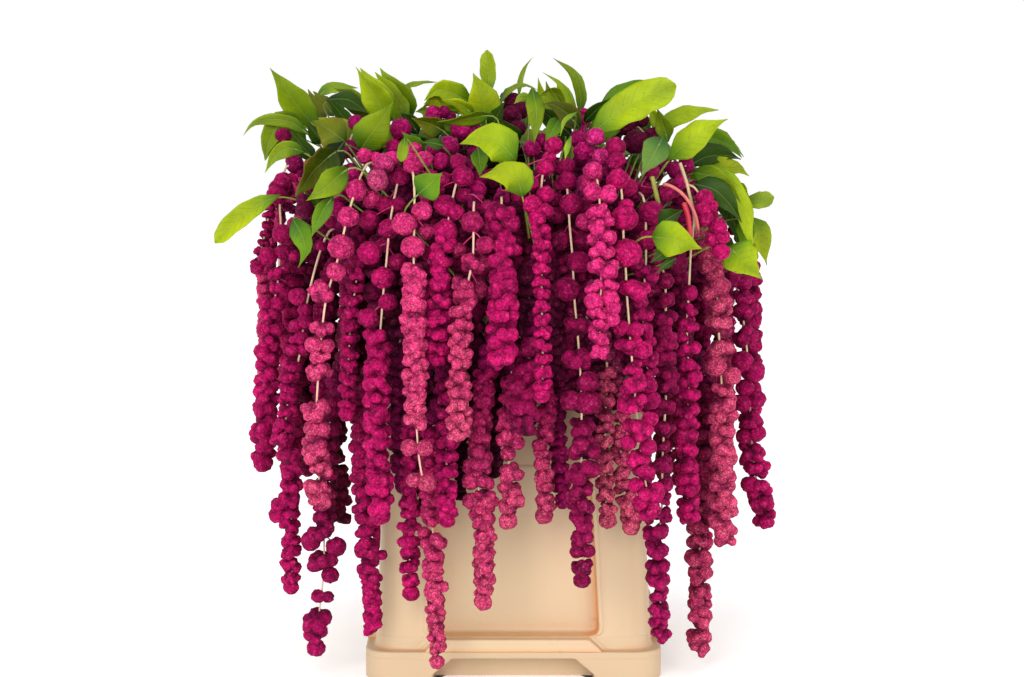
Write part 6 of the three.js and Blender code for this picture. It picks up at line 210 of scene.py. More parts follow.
STEMS = [
 [(21.4,-51.6,14.5),(29.7,-71.6,405.0),[
  ("L22a","mid",20.0,20.0,(0,-1,0),[(29.2,-70.4,381.0),(33.3,-64.1,388.2),(35.9,-60.0,547.2)],[(35.9,-60.0,547.2),(38.6,-60.0,564.1),(37.4,-60.0,580.8),(32.8,-60.0,596.4)]),
  ("L37","bright",34.0,8.0,(0,-1,0),[(29.0,-69.9,372.0),(66.3,-133.0,410.5),(113.5,-195.8,441.6),(121.9,-222.8,452.7),(130.7,-228.0,453.2)],[(130.7,-228.0,453.2),(146.6,-234.4,452.1),(162.1,-240.1,447.5),(176.5,-246.0,442.5)]),
 ]],
 [(55.1,-46.7,14.5),(76.5,-64.8,409.6),[
  ("L28","bright",25.0,10.0,(0,-1,0),[(75.2,-63.7,385.6),(151.7,-130.0,520.2)],[(151.7,-130.0,520.2),(184.2,-141.5,548.6),(193.2,-144.6,554.2),(208.3,-150.0,560.9)]),
  ("L29","grey",22.0,10.0,(0,-1,0),[(74.7,-63.3,376.6),(124.0,-152.1,502.3),(145.2,-196.0,550.4),(142.1,-200.0,545.3)],[(142.1,-200.0,545.3),(135.3,-204.3,533.0),(128.0,-207.4,520.6),(120.9,-210.0,508.8)]),
  ("L32","bright",22.0,12.0,(0,-1,0),[(74.2,-62.9,367.6),(175.3,-105.0,501.2)],[(175.3,-105.0,501.2),(188.6,-108.4,504.2),(197.9,-110.6,502.7),(208.2,-112.9,496.8),(218.2,-115.2,486.3),(224.7,-117.0,475.5),(229.1,-118.7,463.6),(238.9,-125.0,417.4)]),
  ("L36","bright",34.0,10.0,(0,-1,0),[(73.7,-62.5,358.6),(80.6,-66.3,365.9),(147.7,-69.2,391.0),(173.4,-114.2,423.0),(203.6,-136.5,441.1),(211.6,-140.0,436.5)],[(211.6,-140.0,436.5),(222.1,-143.9,425.7),(232.7,-147.1,414.7),(243.3,-150.0,404.9)]),
 ]],
 [(20.2,65.1,14.5),(28.1,90.4,437.7),[
  ("G3","olive",28.0,-18.9,(0.1,0.23,1),[(27.7,89.0,413.7),(29.9,81.8,421.1),(29.9,66.3,520.2),(32.5,73.1,525.0)],[(32.5,73.1,525.0),(49.3,119.0,537.8),(54.1,132.4,538.9),(57.8,143.1,537.5),(64.8,164.3,530.3),(71.5,184.9,520.5),(76.2,199.3,511.2),(84.3,224.7,492.0)]),
 ]],
 [(-40.0,55.1,14.5),(-55.6,76.5,417.4),[
  ("G5","dark",30.0,17.1,(-0.035,0.25,1),[(-54.6,75.2,393.4),(-47.1,76.6,400.9),(-26.4,72.9,524.7),(-29.1,79.9,530.0)],[(-29.1,79.9,530.0),(-46.2,117.7,542.8),(-51.3,128.8,544.7),(-55.6,137.7,544.4),(-63.1,153.2,540.8),(-72.7,172.7,533.4),(-78.8,184.9,526.7),(-89.5,206.4,512.0)]),
  ("G6","mid",34.0,-17.2,(-0.098,0.23,1),[(-54.3,74.7,384.4),(-47.5,71.5,391.6),(-37.1,62.6,499.9),(-41.2,68.6,505.0)],[(-41.2,68.6,505.0),(-69.0,108.5,520.7),(-77.3,120.0,522.4),(-84.0,129.2,521.2),(-95.7,145.0,514.9),(-110.4,164.6,503.5),(-119.6,176.7,493.9),(-135.7,197.9,474.0)]),
  ("G7","bright",26.0,-14.8,(-0.15,0.2,1),[(-53.9,74.2,375.4),(-59.2,69.1,382.5),(-53.7,67.9,514.3),(-58.5,74.9,528.0)],[(-58.5,74.9,528.0),(-87.4,106.2,544.1),(-95.6,114.9,546.7),(-102.3,122.0,547.0),(-116.1,136.2,544.1),(-129.7,150.1,539.0),(-155.5,176.2,522.0)]),
 ]],
 [(-56.9,8.2,14.5),(-79.0,11.4,407.2),[
  ("L8","dark",18.0,35.0,(0,-1,0),[(-77.6,11.2,383.2),(-202.2,14.1,573.7),(-194.7,15.0,575.7)],[(-194.7,15.0,575.7),(-176.2,13.2,576.4),(-168.8,12.4,575.1),(-142.6,10.0,558.3)]),
  ("G11","dark",26.0,0.5,(-0.22,0.12,1),[(-77.1,11.1,374.2),(-71.1,15.6,381.4),(-46.2,26.9,523.2),(-52.0,30.0,530.0)],[(-52.0,30.0,530.0),(-74.0,40.3,544.8),(-85.2,45.4,548.5),(-94.6,49.5,548.3),(-105.4,54.1,546.1),(-125.2,62.6,536.0)]),
 ]],
 [(-56.7,41.3,14.5),(-78.7,57.4,408.7),[
  ("L11","mid",8.0,40.0,(0,-1,0),[(-77.4,56.4,384.7),(-84.9,57.2,392.4),(-119.4,64.7,525.4),(-128.6,68.0,575.1),(-122.5,70.0,582.0)],[(-122.5,70.0,582.0),(-109.8,73.5,590.1),(-95.7,76.9,593.5),(-81.3,80.0,593.4)]),
  ("G8","midg",32.0,17.9,(-0.21,0.14,1),[(-76.9,56.1,375.7),(-83.9,53.3,383.2),(-83.8,51.6,413.6),(-72.5,57.2,516.1),(-78.8,61.6,521.0)],[(-78.8,61.6,521.0),(-109.9,81.6,530.3),(-120.0,88.0,530.5),(-127.7,92.8,528.1),(-140.9,100.8,519.9),(-156.8,110.5,506.5),(-167.8,117.1,494.1),(-185.3,127.6,471.0)]),
 ]],
 [(63.0,13.6,14.5),(87.4,18.9,414.7),[
  ("L26","midg",16.0,30.0,(0,-1,0),[(86.0,18.6,390.7),(82.0,25.1,398.3),(82.5,29.1,550.4),(87.6,30.0,559.8)],[(87.6,30.0,559.8),(102.2,32.6,577.8),(110.9,33.9,585.0),(130.8,36.6,593.6),(149.6,40.0,596.1)]),
  ("L30","mid",15.0,30.0,(0,-1,0),[(85.4,18.5,381.7),(115.8,3.7,422.5),(176.2,10.7,535.7),(185.7,10.0,538.6)],[(185.7,10.0,538.6),(205.9,8.6,539.9),(217.1,7.6,537.2),(228.8,6.5,530.3),(239.5,5.0,517.0)]),
  ("L35","olive",20.0,10.0,(0,-1,0),[(84.9,18.4,372.7),(150.9,-2.9,418.0),(193.5,-22.4,441.4),(236.5,-28.6,463.1),(242.9,-30.0,457.2)],[(242.9,-30.0,457.2),(252.1,-31.6,441.5),(256.1,-33.2,423.9),(260.5,-35.0,407.1)]),
 ]],
 [(40.5,-62.6,14.5),(56.3,-87.0,405.0),[
  ("L23","mid",9.0,20.0,(0,-1,0),[(55.3,-85.5,381.0),(47.9,-85.3,388.1),(48.4,-87.1,417.9),(61.2,-95.0,553.3)],[(61.2,-95.0,553.3),(56.8,-96.4,576.6),(52.5,-97.3,586.7),(43.7,-98.5,596.6),(28.3,-100.0,605.8)]),
  ("L25","bright",31.0,10.0,(0,-1,0),[(54.9,-84.9,372.0),(57.2,-91.7,378.2),(55.9,-101.5,409.6),(71.0,-122.4,533.2),(72.3,-125.0,542.6)],[(72.3,-125.0,542.6),(96.4,-128.6,563.9),(120.8,-131.9,578.8),(143.3,-135.8,589.0),(162.1,-140.0,591.6)]),
  ("L33","dark",19.0,20.0,(0,-1,0),[(54.6,-84.3,363.0),(166.9,-137.8,496.8),(176.6,-140.0,497.3)],[(176.6,-140.0,497.3),(192.3,-142.6,494.0),(200.5,-144.2,489.5),(211.6,-146.8,478.0),(223.1,-150.0,459.8)]),
  ("L38","dark",17.0,10.0,(0,-1,0),[(54.2,-83.8,354.0),(58.7,-90.2,361.3),(66.5,-148.7,391.5),(134.9,-178.6,440.0),(138.4,-185.8,445.2),(131.3,-201.0,454.3),(138.7,-205.0,461.0)],[(138.7,-205.0,461.0),(145.7,-207.2,467.1),(153.2,-209.6,472.5),(160.9,-212.0,476.7)]),
 ]],
 [(61.6,-20.8,14.5),(85.5,-28.9,405.0),[
  ("L27","bright",17.0,25.0,(0,-1,0),[(84.0,-28.4,381.0),(92.4,-27.7,388.0),(137.7,-28.9,538.0),(144.8,-30.0,545.2)],[(144.8,-30.0,545.2),(161.3,-32.7,556.6),(172.0,-34.3,561.4),(190.3,-36.8,566.0),(209.1,-40.0,566.8)]),
  ("L31","dark",13.0,35.0,(0,-1,0),[(83.5,-28.3,372.0),(178.6,-60.0,510.9)],[(178.6,-60.0,510.9),(190.9,-62.7,519.0),(200.4,-64.5,521.8),(214.1,-66.9,522.4),(229.1,-70.0,518.4)]),
  ("L34","light",14.0,20.0,(0,-1,0),[(82.9,-28.1,363.0),(146.3,-47.7,417.2),(232.7,-70.0,475.1)],[(232.7,-70.0,475.1),(242.8,-71.8,476.0),(252.9,-73.5,478.0),(262.3,-75.0,480.5)]),
 ]],
 [(-59.2,-45.8,14.5),(-82.3,-63.6,405.0),[
  ("L4","light",14.0,20.0,(0,-1,0),[(-80.8,-62.5,381.0),(-199.2,-88.3,519.9),(-207.5,-95.0,526.6)],[(-207.5,-95.0,526.6),(-220.7,-101.9,531.1),(-229.3,-106.7,529.2),(-237.8,-112.3,522.3),(-245.0,-120.0,507.0)]),
  ("L5","yel",16.0,10.0,(0,-1,0),[(-80.3,-62.1,372.0),(-224.9,-93.8,482.2),(-234.9,-95.0,480.7)],[(-234.9,-95.0,480.7),(-253.9,-96.4,473.1),(-264.8,-97.3,466.6),(-278.8,-98.4,455.5),(-295.9,-100.0,438.1)]),
  ("L6e","midg",18.0,5.0,(0,-1,0),[(-79.8,-61.7,363.0),(-216.8,-157.1,470.1),(-214.2,-160.0,464.4)],[(-214.2,-160.0,464.4),(-204.8,-164.0,449.2),(-200.9,-167.2,437.7),(-202.0,-169.0,430.4),(-208.8,-172.0,417.7)]),
 ]],
 [(-24.5,-70.8,14.5),(-34.0,-98.3,405.0),[
  ("L6c","mid",18.0,10.0,(0,-1,0),[(-33.5,-96.6,381.0),(-139.8,-175.1,507.7),(-151.8,-182.5,518.9),(-159.5,-185.0,515.2)],[(-159.5,-185.0,515.2),(-172.3,-187.7,503.9),(-185.0,-191.1,492.7),(-198.3,-195.0,484.2)]),
  ("L6d","midg",14.0,10.0,(0,-1,0),[(-33.2,-95.9,372.0),(-74.2,-121.3,413.3),(-160.1,-166.2,482.6),(-166.8,-177.8,493.2),(-173.6,-180.0,488.0)],[(-173.6,-180.0,488.0),(-182.8,-182.0,475.6),(-189.4,-183.6,461.7),(-194.7,-185.0,447.9)]),
  ("L39","midg",24.0,8.0,(0,-1,0),[(-33.0,-95.3,363.0),(-40.8,-144.5,389.0),(-105.4,-198.5,468.8),(-105.8,-205.9,475.4),(-90.2,-220.0,492.4)],[(-90.2,-220.0,492.4),(-82.3,-222.8,499.0),(-74.5,-225.5,505.9),(-67.2,-228.0,512.6)]),
 ]],
 [(17.5,-72.8,14.5),(24.3,-101.1,405.0),[
  ("L18","bright",44.0,5.0,(0,-1,0),[(23.9,-99.4,381.0),(5.5,-201.7,516.2),(2.4,-205.0,523.7)],[(2.4,-205.0,523.7),(-11.5,-210.7,538.7),(-21.4,-214.4,543.9),(-34.6,-219.1,545.2),(-50.3,-225.0,539.7)]),
  ("L19","yel",38.0,10.0,(0,-1,0),[(23.7,-98.7,372.0),(22.3,-145.4,392.0),(23.1,-159.5,430.2),(8.1,-212.0,490.0)],[(8.1,-212.0,490.0),(5.3,-218.9,504.9),(0.3,-223.1,510.2),(-12.2,-229.7,512.7),(-31.4,-238.0,509.4)]),
  ("L20b","dark",16.0,15.0,(0,-1,0),[(23.6,-98.1,363.0),(21.0,-106.4,380.6),(14.5,-108.6,531.6),(16.6,-118.2,595.8),(18.2,-120.0,590.3)],[(18.2,-120.0,590.3),(21.9,-123.9,572.1),(21.9,-127.2,553.6),(20.2,-130.0,535.9)]),
 ]],
 [(-72.9,-6.2,14.5),(-101.3,-8.6,415.9),[
  ("L1","mid",28.0,20.0,(0,-1,0),[(-99.6,-8.5,391.9),(-203.8,20.0,544.5)],[(-203.8,20.0,544.5),(-221.0,11.8,565.4),(-236.0,3.4,587.9),(-250.5,-5.0,608.9)]),
  ("L3b","mid",22.0,10.0,(0,-1,0),[(-99.0,-8.4,382.9),(-146.6,0.2,454.0),(-208.9,-3.2,542.8),(-218.2,-5.0,547.4)],[(-218.2,-5.0,547.4),(-234.6,-9.1,551.5),(-238.1,-10.2,550.9),(-242.1,-11.5,548.4),(-247.4,-13.6,541.9),(-250.8,-15.4,535.4),(-254.3,-20.0,515.1)]),
 ]],
 [(-61.1,-24.3,14.5),(-84.9,-33.7,405.0),[
  ("L3","light",12.0,35.0,(0,-1,0),[(-83.4,-33.2,381.0),(-205.9,-30.0,540.1)],[(-205.9,-30.0,540.1),(-225.1,-35.0,553.9),(-234.3,-37.1,556.6),(-246.8,-40.0,557.8),(-256.2,-42.5,556.8),(-263.4,-44.8,554.0),(-268.1,-46.8,549.8),(-274.1,-50.0,540.8)]),
  ("L9a","bright",29.0,10.0,(0,-1,0),[(-82.9,-32.9,372.0),(-86.9,-39.3,378.8),(-124.5,-60.0,555.2)],[(-124.5,-60.0,555.2),(-135.0,-65.8,574.1),(-146.3,-70.7,592.8),(-157.4,-75.0,610.5)]),
 ]],
 [(45.1,51.4,14.5),(62.6,71.4,407.9),[
  ("G1","bright",26.0,-0.0,(0.21,0.13,1),[(61.5,70.2,383.9),(68.0,66.4,391.1),(75.0,54.0,522.9),(80.9,58.8,528.0)],[(80.9,58.8,528.0),(111.0,84.9,540.1),(120.6,93.4,540.7),(128.0,100.0,538.2),(140.2,111.2,529.1),(155.1,124.8,514.2),(165.3,134.2,500.5),(181.5,149.3,475.0)]),
  ("G2","midg",34.0,4.1,(0.16,0.19,1),[(61.1,69.7,374.9),(68.7,69.3,382.4),(67.4,65.6,423.3),(52.6,70.4,494.0),(55.8,76.9,500.0)],[(55.8,76.9,500.0),(76.3,110.7,516.1),(82.0,120.3,518.7),(86.5,128.2,519.0),(94.5,142.2,516.6),(103.5,158.1,511.7),(110.9,171.3,505.2),(121.1,189.6,494.0)]),
 ]],
 [(6.9,45.6,14.5),(9.5,63.3,414.0),[
  ("L21","light",5.0,30.0,(0,-1,0),[(9.4,62.2,390.0),(10.3,54.8,397.3),(6.0,60.0,579.0)],[(6.0,60.0,579.0),(7.1,61.4,593.5),(9.7,62.5,603.0),(13.5,63.5,611.2),(20.8,65.0,619.9)]),
  ("G9","olive",30.0,4.9,(0.065,0.24,1),[(9.3,61.8,381.0),(9.7,54.4,388.2),(10.0,40.5,481.3),(9.2,33.3,531.9),(10.4,38.6,540.0)],[(10.4,38.6,540.0),(15.1,63.0,562.7),(17.0,73.4,567.9),(18.5,82.4,568.4),(20.5,94.7,566.5),(21.9,103.5,563.3),(24.1,117.6,556.0)]),
 ]],
 [(-70.6,24.9,14.5),(-98.1,34.5,427.9),[
  ("L2","olive",18.0,30.0,(0,-1,0),[(-96.5,34.0,403.9),(-135.2,31.7,457.0),(-200.3,55.0,545.4)],[(-200.3,55.0,545.4),(-204.3,56.6,560.0),(-209.9,58.3,574.0),(-217.2,60.0,586.3)]),
  ("L7","light",13.0,40.0,(0,-1,0),[(-95.9,33.7,394.9),(-130.6,46.2,457.3),(-213.8,62.8,572.4),(-208.2,66.0,578.9)],[(-208.2,66.0,578.9),(-195.1,69.9,586.9),(-180.2,73.2,588.4),(-165.3,76.0,587.1)]),
  ("L9b","mid",26.0,15.0,(0,-1,0),[(-95.3,33.5,385.9),(-101.5,29.3,393.2),(-108.0,25.0,552.6)],[(-108.0,25.0,552.6),(-117.1,27.0,572.4),(-128.1,28.6,591.2),(-139.2,30.0,608.7)]),
 ]],
 [(58.9,34.9,14.5),(81.9,48.4,406.8),[
  ("L24","mid",17.0,20.0,(0,-1,0),[(80.5,47.6,382.8),(74.4,43.2,389.9),(70.1,40.0,558.5)],[(70.1,40.0,558.5),(71.9,41.6,579.7),(66.8,42.9,597.6),(59.5,43.7,607.1),(41.6,45.0,619.0)]),
  ("G0","mid",30.0,-14.9,(0.24,0.065,1),[(79.9,47.3,373.8),(87.0,44.1,381.4),(108.8,28.9,498.0),(115.9,31.1,505.0)],[(115.9,31.1,505.0),(143.2,42.2,521.2),(149.4,44.7,523.2),(155.7,47.4,523.5),(166.9,52.2,520.5),(179.4,57.5,514.5),(189.4,61.8,507.3),(204.0,68.0,494.0)]),
 ]],
 [(-16.8,58.4,14.5),(-23.4,81.2,421.0),[
  ("L15","bright",13.0,20.0,(0,-1,0),[(-23.0,79.8,397.0),(-23.5,72.4,404.1),(-25.6,45.0,581.4)],[(-25.6,45.0,581.4),(-26.2,46.6,597.0),(-26.9,48.2,612.5),(-27.7,50.0,627.3)]),
  ("G4","yel",32.0,-14.1,(0.035,0.25,1),[(-22.8,79.3,388.0),(-16.4,83.4,395.6),(-5.3,82.0,532.3),(-6.3,89.8,537.0)],[(-6.3,89.8,537.0),(-12.7,133.1,546.2),(-14.9,146.9,545.5),(-16.6,157.3,542.0),(-19.7,174.6,531.4),(-23.5,195.6,514.7),(-26.1,210.0,499.7),(-30.4,233.0,472.0)]),
 ]],
 [(35.3,-1.3,14.5),(49.1,-1.8,427.0),[
  ("L22b","mid",18.0,25.0,(0,-1,0),[(48.3,-1.8,403.0),(50.5,-9.0,410.4),(54.0,-20.0,551.0)],[(54.0,-20.0,551.0),(52.2,-20.0,565.5),(49.5,-20.0,579.8),(44.7,-20.0,592.8)]),
 ]],
 [(-3.3,-66.9,14.5),(-4.5,-92.8,405.0),[
  ("L14","mid",9.0,10.0,(0,-1,0),[(-4.5,-91.2,381.0),(-103.0,-213.8,549.1),(-102.4,-215.0,545.9)],[(-102.4,-215.0,545.9),(-103.6,-217.4,538.0),(-104.9,-219.7,530.1),(-106.0,-222.0,522.7)]),
  ("L17","mid",15.0,30.0,(0,-1,0),[(-4.4,-90.6,372.0),(-12.3,-92.6,389.3),(-13.5,-93.0,563.3),(-21.3,-95.0,564.2)],[(-21.3,-95.0,564.2),(-39.6,-99.6,560.7),(-58.0,-104.7,558.0),(-75.5,-110.0,556.8)]),
  ("L42","midg",14.0,10.0,(0,-1,0),[(-4.4,-90.0,363.0),(-34.2,-154.7,510.4),(-34.8,-172.5,539.7),(-34.1,-175.0,533.9)],[(-34.1,-175.0,533.9),(-32.8,-176.7,524.2),(-32.2,-178.4,514.5),(-32.2,-180.0,505.3)]),
 ]],
 [(-25.6,-48.9,14.5),(-35.6,-68.0,405.0),[
  ("L13","olive",16.0,30.0,(0,-1,0),[(-35.0,-66.8,381.0),(-40.8,-71.6,388.2),(-61.6,-92.4,542.6),(-69.0,-95.0,548.4)],[(-69.0,-95.0,548.4),(-79.7,-98.4,553.2),(-90.7,-101.8,557.3),(-101.4,-105.0,560.6)]),
  ("L16","yel",33.0,8.0,(0,-1,0),[(-34.8,-66.3,372.0),(-32.9,-59.0,379.4),(-26.9,-35.0,552.4)],[(-26.9,-35.0,552.4),(-29.6,-38.4,570.5),(-34.5,-41.8,588.1),(-40.9,-45.0,604.2)]),
 ]],
 [(-16.2,3.0,14.5),(-22.6,4.1,445.0),[
  ("L12","bright",18.0,25.0,(0,-1,0),[(-22.2,4.1,421.0),(-26.4,-2.0,428.1),(-35.2,-21.9,569.1),(-42.3,-25.0,574.6)],[(-42.3,-25.0,574.6),(-70.1,-35.8,587.3),(-75.1,-37.8,588.5),(-80.3,-40.1,586.4),(-90.6,-45.0,576.0)]),
  ("L20","mid",10.0,40.0,(0,-1,0),[(-22.1,4.0,412.0),(-22.8,11.6,419.5),(-22.7,12.2,440.2),(-15.9,5.0,569.8)],[(-15.9,5.0,569.8),(-6.5,2.1,583.8),(3.0,0.0,589.7),(12.7,-2.0,591.7),(24.4,-5.0,586.4)]),
  ("G10","yel",26.0,-5.2,(-0.18,0.17,1),[(-21.9,4.0,403.0),(-25.0,11.1,410.6),(-29.6,28.9,529.7),(-34.5,33.3,538.0)],[(-34.5,33.3,538.0),(-52.2,47.9,557.0),(-61.0,55.0,562.9),(-68.8,61.2,564.3),(-78.1,68.3,564.0),(-95.0,81.3,558.0)]),
 ]],
 [(-43.7,-60.8,14.5),(-60.7,-84.5,405.0),[
  ("L6","oldark",34.0,15.0,(0,-1,0),[(-59.6,-83.0,381.0),(-165.1,-147.4,534.4),(-172.5,-150.0,530.9)],[(-172.5,-150.0,530.9),(-194.6,-156.7,509.7),(-203.5,-160.1,498.6),(-211.5,-165.0,486.1)]),
  ("L6b","olive",28.0,20.0,(0,-1,0),[(-59.2,-82.5,372.0),(-110.8,-97.6,453.0),(-165.5,-110.0,537.1)],[(-165.5,-110.0,537.1),(-176.3,-106.7,545.5),(-187.9,-103.3,552.4),(-199.8,-100.0,557.5)]),
  ("L10","olive",32.0,15.0,(0,-1,0),[(-58.8,-81.9,363.0),(-65.4,-85.4,370.2),(-109.0,-116.0,582.7),(-115.4,-120.0,580.6)],[(-115.4,-120.0,580.6),(-135.5,-132.5,563.3),(-145.2,-140.4,550.9),(-156.0,-150.0,533.8)]),
 ]],
]
